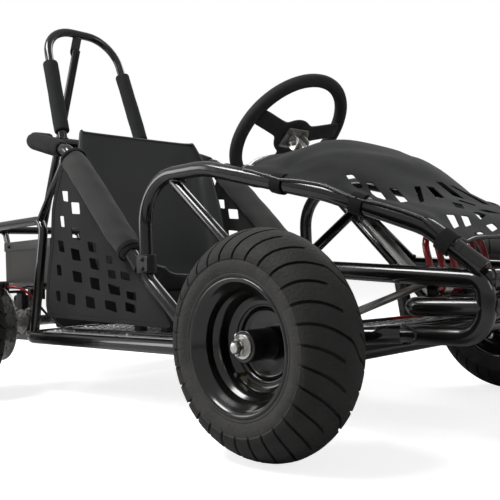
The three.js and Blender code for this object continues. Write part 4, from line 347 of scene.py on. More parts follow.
# %% Finish maker
def material_nodes(name):
    material = bpy.data.materials.new(name)
    material.use_nodes = True
    shader = material.node_tree.nodes["Principled BSDF"]
    return material, material.node_tree, shader


def mixed_colour(tree, share, dark, light):
    dark, light = ((*tone, 1) if isinstance(tone, tuple) else tone for tone in (dark, light))
    return put(tree, "ShaderNodeMix", data_type="RGBA", inputs={6: dark, 7: light, 0: share}).outputs[2]


def ranged(tree, value, low, high):
    return put(tree, "ShaderNodeMapRange", {"To Min": low, "To Max": high, "Value": value}).outputs["Result"]


def bumped(tree, shader, height, depth, under=None):
    inputs = {"Distance": depth / 1000, "Strength": 1.0, "Height": height}
    if under is not None:
        inputs["Normal"] = under
    bump = put(tree, "ShaderNodeBump", inputs).outputs["Normal"]
    tree.links.new(bump, shader.inputs["Normal"])
    return bump


def play_of(tree, patch, grain):
    """The patches and the grain of a piece, read from its own place."""
    place = put(tree, "ShaderNodeTexCoord").outputs["Object"]
    return put(tree, "ShaderNodeGroup", {"Place": place, "Patch Scale": patch, "Grain Scale": grain},
               node_tree=surface_play).outputs


def weighed(tree, play, patches, grain):
    """The large and the fine pattern added in two shares."""
    return maths(tree, "ADD", maths(tree, "MULTIPLY", play["Patches"], patches),
                 maths(tree, "MULTIPLY", play["Grain"], grain))


def finish(name, dark, light, rough, patch=6.0, grain=300.0, depth=0.02, metallic=0.0, sockets=()):
    """A procedural finish. Tones are linear colours, depth is in millimetres, rough is (low, high)."""
    material, tree, shader = material_nodes(name)
    play = play_of(tree, patch, grain)
    tone = weighed(tree, play, 0.6, 0.4)
    tree.links.new(mixed_colour(tree, tone, dark, light), shader.inputs["Base Color"])
    tree.links.new(ranged(tree, play["Patches"], *rough), shader.inputs["Roughness"])
    bumped(tree, shader, play["Height"], depth)
    for label, value in (("Metallic", metallic), *sockets):
        shader.inputs[label].default_value = value
    return material


def grey(value, warm=0.0):
    return (value * (1 + warm), value, value * (1 - warm))


# %% Paint, plastic, rubber and metal
gloss_black = finish("gloss_black_powder_coat", grey(0.0042, 0.05), grey(0.0075, 0.08), (0.12, 0.25),
                     patch=9, grain=420, depth=0.018, sockets=(("Coat Weight", 0.35), ("Coat Roughness", 0.12)))
satin_black = finish("satin_black_paint", grey(0.012), grey(0.022), (0.42, 0.6), patch=12, grain=700, depth=0.03)
seat_plastic = finish("moulded_seat_plastic", grey(0.018, -0.06), grey(0.027, -0.05), (0.5, 0.62),
                      patch=5, grain=1500, depth=0.03)
grip_foam = finish("grip_foam", grey(0.011), grey(0.02), (0.78, 0.92), patch=14, grain=1100, depth=0.09)
bright_zinc = finish("bright_zinc", (0.52, 0.52, 0.5), (0.74, 0.73, 0.7), (0.22, 0.42), patch=60, grain=500,
                     depth=0.02, metallic=1.0)
grey_zinc = finish("grey_zinc", (0.27, 0.26, 0.245), (0.42, 0.41, 0.39), (0.36, 0.55), patch=40, grain=600,
                   depth=0.03, metallic=1.0)
# One aluminium in two tones: the plate is made lighter as painted light, the lozenges darker as painted shade.
plate_aluminium_painted_light = finish("tread_plate_aluminium_painted_light", (0.66, 0.66, 0.67), (0.82, 0.82, 0.83), (0.3, 0.5), patch=22,
                     grain=800, depth=0.02, metallic=0.35)
lozenge_aluminium_painted_shade = finish("tread_bar_aluminium_painted_shade", (0.28, 0.28, 0.285), (0.4, 0.4, 0.41), (0.22, 0.36), patch=22,
                   grain=800, depth=0.02, metallic=1.0)
pedal_red = finish("gloss_red_powder_coat", (0.25, 0.004, 0.008), (0.4, 0.012, 0.014), (0.16, 0.26), patch=16,
                   grain=500, depth=0.015, sockets=(("Coat Weight", 0.5), ("Coat Roughness", 0.1)))
cable_red = finish("red_cable_sheath", (0.3, 0.006, 0.01), (0.42, 0.014, 0.016), (0.3, 0.42), patch=20,
                   grain=900, depth=0.02)
box_paint = finish("grey_brown_paint", (0.026, 0.0245, 0.0225), (0.042, 0.0395, 0.036), (0.4, 0.55), patch=8,
                   grain=500, depth=0.03)
lid_paint = finish("grey_brown_lid_paint", (0.024, 0.023, 0.021), (0.036, 0.034, 0.031), (0.35, 0.5), patch=8,
                   grain=500, depth=0.03)
cell_plastic = finish("cell_wrap", (0.02, 0.035, 0.07), (0.03, 0.05, 0.09), (0.35, 0.45), patch=10, grain=600)
black_plastic = finish("black_plastic", grey(0.012), grey(0.018), (0.38, 0.5), patch=15, grain=900, depth=0.02)
steel_grease = finish("oiled_steel", (0.2, 0.19, 0.175), (0.36, 0.35, 0.33), (0.3, 0.5), patch=50, grain=700,
                      depth=0.02, metallic=1.0)
# The cable's red is covered by a black sleeve between two places along the kart.
BLACK_FROM, BLACK_TO = -0.4, 0.47
cable_tree = cable_red.node_tree
cable_shader = cable_tree.nodes["Principled BSDF"]
red_tone = cable_shader.inputs["Base Color"].links[0].from_socket
cable_x = put(cable_tree, "ShaderNodeSeparateXYZ",
              {0: put(cable_tree, "ShaderNodeTexCoord").outputs["Object"]}).outputs[0]
sleeved = maths(cable_tree, "MULTIPLY", maths(cable_tree, "GREATER_THAN", cable_x, BLACK_FROM),
                maths(cable_tree, "LESS_THAN", cable_x, BLACK_TO))
cable_tree.links.new(mixed_colour(cable_tree, sleeved, red_tone, grey(0.012)), cable_shader.inputs["Base Color"])
brass = finish("brass_sleeve", (0.5, 0.33, 0.1), (0.62, 0.43, 0.16), (0.25, 0.4), patch=40, grain=500,
               metallic=1.0)
weld_metal = finish("painted_weld", grey(0.006), grey(0.012), (0.22, 0.4), patch=60, grain=900, depth=0.05)

# %% [markdown]
# Tyre rubber is darkest in the tread, whose dark tone is partly painted shade, and a little lighter
# and dustier on the side walls. A vertex attribute called wall tells the material where the side wall
# is, so one material serves the whole tyre.

# %% Tyre rubber
tyre_rubber, tree, shader = material_nodes("tyre_rubber")
play = play_of(tree, 34.0, 240.0)
wall = put(tree, "ShaderNodeAttribute", attribute_name="wall").outputs["Fac"]
dust = weighed(tree, play, 0.45, 0.55)
# The tread's darker tone is partly painted shade, for the light that falls off on the tread.
tread_tone_with_painted_shade = mixed_colour(tree, dust, grey(0.0095, 0.05), grey(0.022, 0.06))
wall_tone = mixed_colour(tree, dust, grey(0.02, 0.03), grey(0.06, 0.04))
tree.links.new(mixed_colour(tree, wall, tread_tone_with_painted_shade, wall_tone), shader.inputs["Base Color"])
tree.links.new(ranged(tree, play["Grain"], 0.6, 0.85), shader.inputs["Roughness"])
bumped(tree, shader, play["Height"], 0.9)
shader.inputs["Specular IOR Level"].default_value = 0.35


# %% Cloth
def cloth_material(name, dark, light, threads, depth, sheen):
    """Woven cloth: threads by the UV map, which is in metres, and soft patches of wear."""
    material, tree, shader = material_nodes(name)
    play = play_of(tree, 7.0, 240.0)
    flat = put(tree, "ShaderNodeUVMap", uv_map="cloth").outputs["UV"]
    weave = put(tree, "ShaderNodeGroup", {"Place": flat, "Threads": threads}, node_tree=woven).outputs
    base = mixed_colour(tree, play["Patches"], dark, light)
    shade = maths(tree, "MULTIPLY", weave["Threads"], 0.35)
    tree.links.new(mixed_colour(tree, shade, base, dark), shader.inputs["Base Color"])
    tree.links.new(ranged(tree, play["Grain"], 0.8, 0.97), shader.inputs["Roughness"])
    soft = bumped(tree, shader, play["Height"], 0.25)
    bumped(tree, shader, weave["Height"], depth, soft)
    for label, value in (("Sheen Weight", sheen), ("Specular IOR Level", 0.18), ("Sheen Roughness", 0.5),
                         ("Sheen Tint", (0.75, 0.76, 0.78, 1))):
        shader.inputs[label].default_value = value
    return material


net_cloth = cloth_material("side_net_cloth", grey(0.012), grey(0.025), 4200, 0.05, 0.08)
hood_cloth = cloth_material("hood_cloth", grey(0.009, -0.02), grey(0.025, -0.02), 4200, 0.05, 0.1)
sleeve_cloth = cloth_material("sleeve_cloth", grey(0.04, 0.02), grey(0.06, 0.02), 3600, 0.07, 0.1)
foam_cloth = cloth_material("hoop_foam", grey(0.019, -0.03), grey(0.027, -0.03), 2600, 0.1, 0.06)
strap_web = cloth_material("strap_webbing", grey(0.009), grey(0.015), 2400, 0.12, 0.05)
shoulder_cloth = cloth_material("shoulder_foam", grey(0.011, 0.01), grey(0.018, 0.01), 3000, 0.08, 0.08)
piping_vinyl = finish("piping_vinyl", grey(0.005), grey(0.009), (0.17, 0.32), patch=30, grain=1500, depth=0.06)
print("materials:", len(bpy.data.materials))

# %% [markdown]
# ## A small workshop of shapes
# Most of the kart is made by three moves: a round section swept along a bent line, as a tube bender
# makes it; a profile turned about an axle, as a lathe makes it; and a flat outline cut from sheet,
# holes and all. Each move below adds points and faces to a Shape, and a finished Shape becomes one
# Blender object.

# %% Shapes
class Shape:
    """Points in millimetres and the faces on them, gathered from several moves."""

    def __init__(self):
        self.points, self.faces, self.marks, self.mark = [], [], [], 0

    def add(self, points, faces):
        start = len(self.points)
        self.points.extend(Vector(p) for p in points)
        self.faces.extend(tuple(start + i for i in face) for face in faces)
        self.marks.extend([self.mark] * len(faces))

    def mesh(self, name, materials, sharp=40, outward=True):
        mesh = plain_mesh(name, [metres(p) for p in self.points], self.faces)
        for material in materials:
            mesh.materials.append(material)
        if len(materials) > 1:
            mesh.polygons.foreach_set("material_index", self.marks)
        tidy(mesh, outward)
        return smoothed(mesh, sharp)


def tidy(mesh, outward=True):
    """Joins points that coincide, drops points without a face and turns the faces outwards."""
    work = bmesh.new()
    work.from_mesh(mesh)
    bmesh.ops.remove_doubles(work, verts=work.verts, dist=0.000004)
    bmesh.ops.delete(work, geom=[v for v in work.verts if not v.link_faces], context="VERTS")
    if outward:
        bmesh.ops.recalc_face_normals(work, faces=work.faces)
    work.to_mesh(mesh)
    work.free()


def piece(name, mesh, *nodes, body="chassis", slot=None):
    """A finished piece. It rides on a body and stands for the solids of some nodes. Its slot is not used."""
    made = linked(name, mesh)
    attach(made, body)
    if nodes:
        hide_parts(*nodes)
    return made


def dress(name, shape, material, *nodes, sharp=40, **where):
    """The piece made of one Shape in one finish."""
    return piece(name, shape.mesh(name, [material], sharp), *nodes, **where)


def beside(way):
    """Two directions square to a way and to each other."""
    first = way.cross(Z_AXIS)
    if first.length < 0.05:
        first = way.cross(X_AXIS)
    first.normalize()
    return first, first.cross(way).normalized()


# %% Bent lines and swept tubes
BEND_STEP = math.radians(9)


def bent_line(corners):
    """The centre line of a bent tube. A corner is (x, y, z), or (x, y, z, bend radius)."""
    spots = [Vector(c[:3]) for c in corners]
    bends = [c[3] if len(c) > 3 else 0.0 for c in corners]
    line = [spots[0]]
    for index in range(1, len(spots) - 1):
        before = spots[index] - spots[index - 1]
        after = spots[index + 1] - spots[index]
        room = min(before.length, after.length) / 2
        before.normalize()
        after.normalize()
        angle = before.angle(after)
        if angle < 1e-4 or bends[index] == 0:
            line.append(spots[index])
            continue
        trim = min(bends[index] * math.tan(angle / 2), room)
        bend = trim / math.tan(angle / 2)
        inward = (after - before * after.dot(before)).normalized()
        start = spots[index] - before * trim
        steps = max(2, math.ceil(angle / BEND_STEP))
        for step in range(steps + 1):
            turned = angle * step / steps
            line.append(start + before * (bend * math.sin(turned)) + inward * (bend * (1 - math.cos(turned))))
    line.append(spots[-1])
    return line


def ring_frames(line, closed=False):
    """A direction pair for every point of a line, carried along it without twist."""
    count = len(line)
    around = [(line[i - 1], line[(i + 1) % count]) if closed else (line[max(i - 1, 0)], line[min(i + 1, count - 1)])
              for i in range(count)]
    ways = [(ahead - behind).normalized() for behind, ahead in around]
    first, _ = beside(ways[0])
    frames = []
    for way in ways:
        first = (first - way * first.dot(way)).normalized()
        frames.append((way, first, way.cross(first)))
    return frames


def sweep(shape, line, radius, sides=20, round_ends=1.0, closed=False):
    """A round section along a line, its ends broken, or closed to a ring."""
    frames, last = ring_frames(line, closed), len(line) - 1
    if closed:
        rings = [(index, 0, radius) for index in range(last + 1)]
    else:
        start = [(0, share * round_ends, radius - less * round_ends) for share, less in ((0, 1), (0.3, 0.3), (1, 0))]
        rings = start + [(index, 0, radius) for index in range(1, last)]
        rings += [(last, -shift, reach) for _, shift, reach in reversed(start)]
    points = []
    for index, shift, reach in rings:
        way, first, second = frames[index]
        points.extend(line[index] + way * shift + first * (reach * math.cos(turn)) + second * (reach * math.sin(turn))
                      for turn in turns(sides))
    starts = [sides * index for index in range(len(rings))]
    faces = []
    for low, high in zip(starts, starts[1:] + starts[:1] if closed else starts[1:]):
        for step in range(sides):
            after = (step + 1) % sides
            faces.append((low + step, low + after, high + after, high + step))
    if not closed:
        faces += [tuple(reversed(range(sides))), tuple(starts[-1] + step for step in range(sides))]
    shape.add(points, faces)


def rod(shape, start, end, radius, sides=20, round_ends=1.0):
    sweep(shape, [Vector(start), Vector(end)], radius, sides, round_ends)


# %% Turned profiles
def rounded(points, radius, steps=3, closed=True):
    """A flat outline with every corner rounded."""
    count = len(points)
    result = []
    for index, point in enumerate(points):
        if not closed and index in (0, count - 1):
            result.append(tuple(point))
            continue
        here = Vector(point)
        back = Vector(points[index - 1]) - here
        ahead = Vector(points[(index + 1) % count]) - here
        trim = min(radius, back.length * 0.45, ahead.length * 0.45)
        start = here + back.normalized() * trim
        end = here + ahead.normalized() * trim
        for step in range(steps + 1):
            share = step / steps
            result.append(tuple(start * (1 - share) ** 2 + here * (2 * share * (1 - share)) + end * share ** 2))
    return result


def lathe(shape, profile, centre, way, sides=64, closed=True):
    """A profile of (radius, along) points turned about a way through a centre."""
    first, second = beside(way)
    count = len(profile)
    points, faces = [], []
    for turn in turns(sides):
        out = first * math.cos(turn) + second * math.sin(turn)
        points.extend(Vector(centre) + out * radius + way * along for radius, along in profile)
    for step in range(sides):
        here, after = step * count, ((step + 1) % sides) * count
        for index in range(count if closed else count - 1):
            following = (index + 1) % count
            corners = [here + index, here + following, after + following, after + index]
            if profile[index][0] < 1e-6:
                corners = [index, here + following, after + following]
            elif profile[following][0] < 1e-6:
                corners = [here + index, following, after + index]
            faces.append(tuple(corners))
    shape.add(points, faces)


# %% Flat outlines with holes
ROW_SHARE, KEEP_OFF = 0.87, 0.4


def inside(point, outline):
    """Whether a flat point lies within a loop."""
    x, y = point
    within = False
    for index, (ax, ay) in enumerate(outline):
        bx, by = outline[index - 1]
        if (ay > y) != (by > y) and x < (bx - ax) * (y - ay) / (by - ay) + ax:
            within = not within
    return within


def filled(outline, holes=(), spacing=None):
    """Triangles that fill an outline and leave its holes open, with points inside at a spacing."""
    def is_cloth(p):
        return inside(p, outline) and not any(inside(p, hole) for hole in holes)

    points, edges = [], []
    for loop in (outline, *holes):
        start = len(points)
        points.extend(Vector(p) for p in loop)
        edges.extend((start + i, start + (i + 1) % len(loop)) for i in range(len(loop)))
    if spacing:
        xs, ys = zip(*outline)
        margin = spacing * KEEP_OFF
        cells = {}
        for loop in (outline, *holes):
            for x, y in loop_points(loop, spacing / 2, math.floor):
                cells.setdefault((int(x // spacing), int(y // spacing)), []).append((x, y))
        row, y = 0, min(ys) + spacing / 2
        while y < max(ys):
            x = min(xs) + (spacing / 2 if row % 2 else 0)
            while x < max(xs):
                i, j = int(x // spacing), int(y // spacing)
                near = [p for a in (-1, 0, 1) for b in (-1, 0, 1) for p in cells.get((i + a, j + b), ())]
                if all((p[0] - x) ** 2 + (p[1] - y) ** 2 > margin ** 2 for p in near) and is_cloth((x, y)):
                    points.append(Vector((x, y)))
                x += spacing
            y += spacing * ROW_SHARE
            row += 1
    found, _, faces, _, _, _ = delaunay_2d_cdt(points, edges, [], 0, 1e-5)
    middles = [sum((found[i] for i in face), Vector((0, 0))) / len(face) for face in faces]
    return found, [tuple(face) for face, middle in zip(faces, middles) if is_cloth(middle)]


def loop_points(loop, step, whole=round):
    """A closed flat loop with a point at about every step."""
    result = []
    for index, point in enumerate(loop):
        here, after = Vector(point), Vector(loop[(index + 1) % len(loop)])
        parts = max(1, whole((after - here).length / step))
        result.extend(tuple(here.lerp(after, part / parts)) for part in range(parts))
    return result


def wound(outline, holes):
    """Loops that run leftwards round the outline and rightwards round its holes."""
    loops = [list(outline), *[list(hole) for hole in holes]]
    for index, loop in enumerate(loops):
        area = sum(a[0] * b[1] - b[0] * a[1] for a, b in zip(loop, loop[1:] + loop[:1]))
        if (area > 0) != (index == 0):
            loop.reverse()
    return loops


def slab(shape, outline, thickness, centre, across, up, holes=(), edge=0.6):
    """A plate cut from sheet: both faces, the walls of the outline and of the holes, with broken edges."""
    across, up, centre = Vector(across).normalized(), Vector(up).normalized(), Vector(centre)
    normal = across.cross(up)
    edge = min(edge, thickness * 0.35)
    loops = wound(outline, holes)
    inset = [inset_loop(loop, edge) for loop in loops]
    found, faces = filled(inset[0], inset[1:])
    half = thickness / 2
    index_of, points, made = {}, [], []

    def index_at(p, height):
        key = (round(p[0], 4), round(p[1], 4), round(height, 4))
        if key not in index_of:
            index_of[key] = len(points)
            points.append(centre + across * p[0] + up * p[1] + normal * height)
        return index_of[key]

    for face in faces:
        made.append([index_at(found[i], half) for i in face])
        made.append([index_at(found[i], -half) for i in reversed(face)])
    for loop, inner in zip(loops, inset):
        levels = ((inner, half), (loop, half - edge), (loop, edge - half), (inner, -half))
        for here in range(len(loop)):
            after = (here + 1) % len(loop)
            for (upper, top), (lower, bottom) in zip(levels, levels[1:]):
                corners = ((upper[here], top), (lower[here], bottom), (lower[after], bottom), (upper[after], top))
                made.append([index_at(*corner) for corner in corners])
    shape.add(points, made)


def inset_loop(loop, amount):
    """The loop moved inwards by an amount, its corners kept."""
    result = []
    for index, (x, y) in enumerate(loop):
        before = Vector((x, y)) - Vector(loop[index - 1])
        after = Vector(loop[(index + 1) % len(loop)]) - Vector((x, y))
        if before.length < 1e-9 or after.length < 1e-9:
            result.append((x, y))
            continue
        inward = Vector((-before.y, before.x)).normalized()
        middle = inward + Vector((-after.y, after.x)).normalized()
        if middle.length < 1e-6:
            middle = inward.copy()
        middle.normalize()
        reach = amount / max(0.3, middle.dot(inward))
        result.append((x + middle.x * reach, y + middle.y * reach))
    return result


def box_outline(width, height, corner=2.0, steps=3):
    w, h = width / 2, height / 2
    return rounded([(-w, -h), (w, -h), (w, h), (-w, h)], corner, steps)


def circle(radius, sides=24, centre=(0, 0), shift=0):
    return [(centre[0] + radius * math.cos(a), centre[1] + radius * math.sin(a)) for a in turns(sides, shift)]


def box(shape, centre, sizes, corner=1.5):
    """A block along the axes with rounded upright corners and broken edges."""
    slab(shape, box_outline(sizes[0], sizes[1], corner), sizes[2], centre, X_AXIS, Y_AXIS, edge=corner * 0.5)


def bolt(shape, place, way, size=6.0, length=4.0, washer=True, dome=False):
    """A bolt head or nut of a size across its corners, standing on a place along a way."""
    place, way = Vector(place), Vector(way).normalized()
    if washer:
        lathe(shape, rounded([(0, 0), (size * 1.02, 0), (size * 1.02, size * 0.2), (0, size * 0.2)], 0.2, 2),
              place, way, 20)
        place = place + way * size * 0.2
    height = size * 0.75
    if dome:
        profile = [(size * 0.85 * math.cos(math.radians(a)), height * math.sin(math.radians(a)))
                   for a in range(0, 90, 15)] + [(0, height)]
        lathe(shape, [(0, 0)] + profile, place, way, 18)
        return
    profile = [(0, 0), (size * 0.86, 0), (size * 0.86, height * 0.86), (size * 0.7, height), (0, height)]
    lathe(shape, profile, place, way, 6)
    if length:
        rod(shape, place, place + way * (height + length), size * 0.45, 12, 0.4)


def bolt_ring(shape, centre, reach, count, way, size, length):
    for turn in turns(count, 0.5):
        bolt(shape, centre + round_axle(reach, turn), way, size, length)


print("shape moves ready")

# %% [markdown]
# ## Geometry Nodes for what repeats
# Weld beads, tyre grooves, gear teeth, chain links, floor lozenges and stitches all repeat one small
# shape. Two node trees make them. One sets copies round an axle, the other sets copies along lines.
# Both end in real mesh, because a finished piece must hold its own faces.

# %% Tree helpers
def finish_tree(tree, start, geometry, end, merge=None):
    """Realize the copies, join touching points where a distance is given, and set the material."""
    last = put(tree, "GeometryNodeRealizeInstances", {0: geometry}).outputs[0]
    if merge is not None:
        last = put(tree, "GeometryNodeMergeByDistance", {"Distance": merge, 0: last}).outputs[0]
    paint = put(tree, "GeometryNodeSetMaterial", {"Geometry": last, "Material": start.outputs["Material"]})
    tree.links.new(paint.outputs[0], end.inputs[0])


def grown(mesh, tree, name, **values):
    """Runs a tree on a mesh and gives back the plain mesh that it grows."""
    source = linked(name + "_source", mesh)
    modifier = source.modifiers.new("grow", "NODES")
    modifier.node_group = tree
    sockets = {item.name: item.identifier for item in tree.interface.items_tree if item.in_out == "INPUT"}
    for label, value in values.items():
        modifier[sockets[label]] = value
    source.update_tag()
    bpy.context.view_layer.update()
    graph = bpy.context.evaluated_depsgraph_get()
    result = bpy.data.meshes.new_from_object(source.evaluated_get(graph))
    source.modifiers.remove(modifier)
    bpy.data.objects.remove(source)
    result.name = name
    return result


# %% Copies round an axle
SOLID, FINISH, OBJECT = "NodeSocketGeometry", "NodeSocketMaterial", "NodeSocketObject"
TOUCHING = 0.00002
round_tree, round_in, round_out = new_group("copies_round_axle", [
    ("Geometry", SOLID, None), ("Count", WHOLE, 12), ("Centre", VECTOR, None), ("Axis", VECTOR, (0, 1, 0)),
    ("Material", FINISH, None),
], [("Geometry", SOLID)], "GeometryNodeTree")
given = round_in.outputs
away = put(round_tree, "ShaderNodeVectorMath", {"Scale": -1, 0: given["Centre"]}, operation="SCALE").outputs[0]
at_origin = put(round_tree, "GeometryNodeTransform", {"Geometry": given["Geometry"], "Translation": away}).outputs[0]
spots = put(round_tree, "GeometryNodePoints", {"Count": given["Count"], "Position": given["Centre"]}).outputs[0]
copy_angle = maths(round_tree, "MULTIPLY", maths(round_tree, "DIVIDE", 2 * math.pi, given["Count"]),
                   put(round_tree, "GeometryNodeInputIndex").outputs[0])
turned = put(round_tree, "FunctionNodeAxisAngleToRotation", {"Axis": given["Axis"], "Angle": copy_angle}).outputs[0]
copies = put(round_tree, "GeometryNodeInstanceOnPoints", {"Points": spots, "Instance": at_origin, "Rotation": turned})
finish_tree(round_tree, round_in, copies.outputs[0], round_out, TOUCHING)

# %% Copies along lines
line_tree, line_in, line_out = new_group("copies_along_lines", [
    ("Geometry", SOLID, None), ("Shape", OBJECT, None), ("Spacing", FLOAT, 0.003), ("Uneven", FLOAT, 0.15),
    ("Seed", WHOLE, 4), ("Material", FINISH, None),
], [("Geometry", SOLID)], "GeometryNodeTree")
given = line_in.outputs
curve = put(line_tree, "GeometryNodeMeshToCurve", {0: given["Geometry"]}).outputs[0]
even = put(line_tree, "GeometryNodeResampleCurve", {"Curve": curve, "Length": given["Spacing"]}, mode="LENGTH")
bead = put(line_tree, "GeometryNodeObjectInfo", {"Object": given["Shape"]}).outputs["Geometry"]
tangent = put(line_tree, "GeometryNodeInputTangent").outputs[0]
lie = put(line_tree, "FunctionNodeAlignRotationToVector", {"Vector": tangent}, axis="X").outputs[0]
least, most = (maths(line_tree, way, 1.0, given["Uneven"]) for way in ("SUBTRACT", "ADD"))
size = put(line_tree, "FunctionNodeRandomValue", {2: least, 3: most, "Seed": given["Seed"]},
           data_type="FLOAT").outputs[1]
beads = put(line_tree, "GeometryNodeInstanceOnPoints",
            {"Points": even.outputs[0], "Instance": bead, "Rotation": lie, "Scale": size})
finish_tree(line_tree, line_in, beads.outputs[0], line_out)


def blob(name, size, rings=4, sides=7):
    """A small rounded lump about the origin, in metres, to be copied many times."""
    lump = bmesh.new()
    bmesh.ops.create_uvsphere(lump, u_segments=sides, v_segments=rings, radius=1)
    for corner in lump.verts:
        corner.co = corner.co * Vector(size) / 1000
    mesh = bpy.data.meshes.new(name)
    lump.to_mesh(mesh)
    lump.free()
    mesh.shade_smooth()
    return linked(name, mesh)


def copied_along(loops, template_object, spacing, material, name, uneven=0.15, closed=True):
    """Copies of a small shape along several lines of millimetre points, as one plain mesh."""
    points = []
    edges = []
    for loop in loops:
        start = len(points)
        points.extend(metres(p) for p in loop)
        edges.extend((start + i, start + i + 1) for i in range(len(loop) - 1))
        if closed:
            edges.append((start + len(loop) - 1, start))
    result = grown(plain_mesh(name + "_lines", points, [], edges), line_tree, name, Shape=template_object,
                   Spacing=spacing / 1000, Uneven=uneven, Material=material)
    result.shade_smooth()
    return result


def copied_round(shape_mesh, centre, count, material, name):
    return grown(shape_mesh, round_tree, name, Count=count, Centre=metres(centre), Axis=Y_AXIS, Material=material)


print("node trees:", round_tree.name, "and", line_tree.name)

# %% [markdown]
# ## Welds
# The real frame is tubes welded to tubes. Where one round tube meets another, the weld runs along the
# saddle line where their surfaces cross. The function finds that line, and small beads are copied
# along it.

# %% Saddle line of a welded joint
welds = []


def weld(place, way, radius, main_way, main_radius, steps=26):
    """The line where a branch tube that starts inside a main tube comes out of it."""
    place, way, main_way = Vector(place), Vector(way).normalized(), Vector(main_way).normalized()
    first, second = beside(way)
    loop = []
    flat_way = way - main_way * way.dot(main_way)
    for step in range(steps):
        turn = 2 * math.pi * step / steps
        off = first * (radius * math.cos(turn)) + second * (radius * math.sin(turn))
        flat_off = off - main_way * off.dot(main_way)
        a = flat_way.length_squared
        b = 2 * flat_off.dot(flat_way)
        c = flat_off.length_squared - main_radius ** 2
        under = max(0.0, b * b - 4 * a * c)
        reach = (-b + math.sqrt(under)) / (2 * a)
        loop.append(place + off * 1.02 + way * (reach + 0.3))
    welds.append(loop)


# %% [markdown]
# ## The lower frame
# One long tube is bent to a ring that carries everything: wide under the seat, narrower at the feet,
# and rising to the nose. Slim cross tubes stiffen it, and two plates at the back hold the bearings of
# the rear axle.

# %% Lower frame
FRAME_Z, NOSE_Z = 130.0, 164
SEAT_WIDE, FEET_WIDE, BACK_X, FEET_X = 245, 205, -935, -330
CROSS_TUBES = ((-770, SEAT_WIDE), (-560, SEAT_WIDE), (FEET_X, SEAT_WIDE), (-90, FEET_WIDE))
BEARING_Y, BEARING_HOLE = 215, 31.2
BEARING_PLATE = [(-1038, 117.8), (BACK_X, 117.8), (BACK_X, 229.8), (-1038, 229.8)]
BEARING_BOLTS = ((-1028, 128), (-1028, 220), (-950, 220))


def rail_height(x):
    """The ring's height, which climbs from the feet to the nose."""
    return FRAME_Z + (NOSE_Z - FRAME_Z) * min(max((x - FEET_X) / 405, 0), 1)


def on_side(corners, side):
    return [(c[0], c[1] * side, *c[2:]) for c in corners]


def mirrored(corners):
    """The corners of one half, given for the left side, followed by the same for the right."""
    return corners + on_side(corners[::-1], -1)


lower = Shape()
ring_half = [(BACK_X, 0.3, FRAME_Z), (BACK_X, SEAT_WIDE, FRAME_Z, 60), (FEET_X, SEAT_WIDE, FRAME_Z, 60),
             (-225, FEET_WIDE, rail_height(-225), 60), (75, FEET_WIDE, NOSE_Z, 60), (128, 150, NOSE_Z, 60)]
sweep(lower, bent_line(mirrored(ring_half)), TUBE, 24)
rod(lower, (BACK_X, -30, FRAME_Z), (BACK_X, 30, FRAME_Z), TUBE + 2, 24)
for x, half in CROSS_TUBES:
    height = FRAME_Z if x < -200 else rail_height(x - SLIM)
    rod(lower, (x, -half, height), (x, half, height), SLIM, 20)
    for side, _ in SIDES:
        weld((x, side * half, height), (0, -side, 0), SLIM, X_AXIS, TUBE)
for side, _ in SIDES:
    holes = [circle(BEARING_HOLE, 40, (-WHEELBASE, AXLE_Z)), *(circle(3.2, 12, place) for place in BEARING_BOLTS)]
    slab(lower, rounded(BEARING_PLATE, 14, 5), 6, (0, side * BEARING_Y, 0), X_AXIS, Z_AXIS, holes=holes)
    welds.append([Vector((-936 + 10 * math.cos(a), side * (BEARING_Y + 4), FRAME_Z + 14 * math.sin(a)))
                  for a in (math.pi * i / 8 for i in range(17))])
dress("lower_frame_tubes", lower, gloss_black, "lower_frame")
print("lower frame:", len(lower.points), "points")

# %% [markdown]
# ## The side rails
# On each side a tube rises from the floor beside the seat, bends over the driver's knee and runs down
# to the nose. A straight brace meets it from below, and a clamp holds the foot of the slanted bar.

# %% Side rails
RAIL_Y, RAIL_X, BRACE = 240, -442, 10.5
FOOT_X, FOOT_HALF = -292, (SEAT_WIDE + RAIL_Y - TUBE) / 2
RAIL_CORNERS = [(FOOT_X, FOOT_HALF, FRAME_Z + TUBE / 2), (RAIL_X, RAIL_Y, 262, 40), (RAIL_X, RAIL_Y, 456, 105),
                (-262, 238, 456, 160), (0, 215, 385, 160), (160, 190, 322, 90), (240, 178, 257)]
for side, word in SIDES:
    rail = Shape()
    sweep(rail, bent_line(on_side(RAIL_CORNERS, side)), TUBE, 28)
    brace_foot = Vector((-52, side * FEET_WIDE, rail_height(-52)))
    brace_top = Vector((-352, side * 238, 442))
    rod(rail, brace_top, brace_foot, BRACE, 22)
    weld(brace_top + Z_AXIS * 10, brace_foot - brace_top, BRACE, X_AXIS, TUBE)
    weld(brace_foot, brace_top - brace_foot, BRACE, (1, 0, 0.08), TUBE)
    weld((FOOT_X, side * SEAT_WIDE, FRAME_Z), (-0.79, side * 0.02, 0.61), TUBE, X_AXIS, TUBE)
    dress(f"{word}_rail_tubes", rail, gloss_black, f"{word}_side_rail")
    clamp = Shape()
    collar = rounded([(14.1, 0), (19.6, 0), (19.6, 36), (14.1, 36)], 1.2)
    lathe(clamp, collar, (RAIL_X, side * RAIL_Y, 271), Z_AXIS, 36)
    for height in (280, 298):
        bolt(clamp, (RAIL_X + 12, side * 258, height), (0, side, 0), 5.2, 1.5)
    slab(clamp, box_outline(30, 30, 5), 3.4, (RAIL_X + 12, side * 257.6, 289), X_AXIS, Z_AXIS)
    dress(f"{word}_rail_clamp", clamp, satin_black)

# %% [markdown]
# ## Nose frame, roll bar and rear guard
# Two bent loops form the nose and carry the bumper. Behind the seat, the slanted bars, the crossbar
# and the head hoop are one bent tube and a smaller one. The rear guard runs round the battery box.

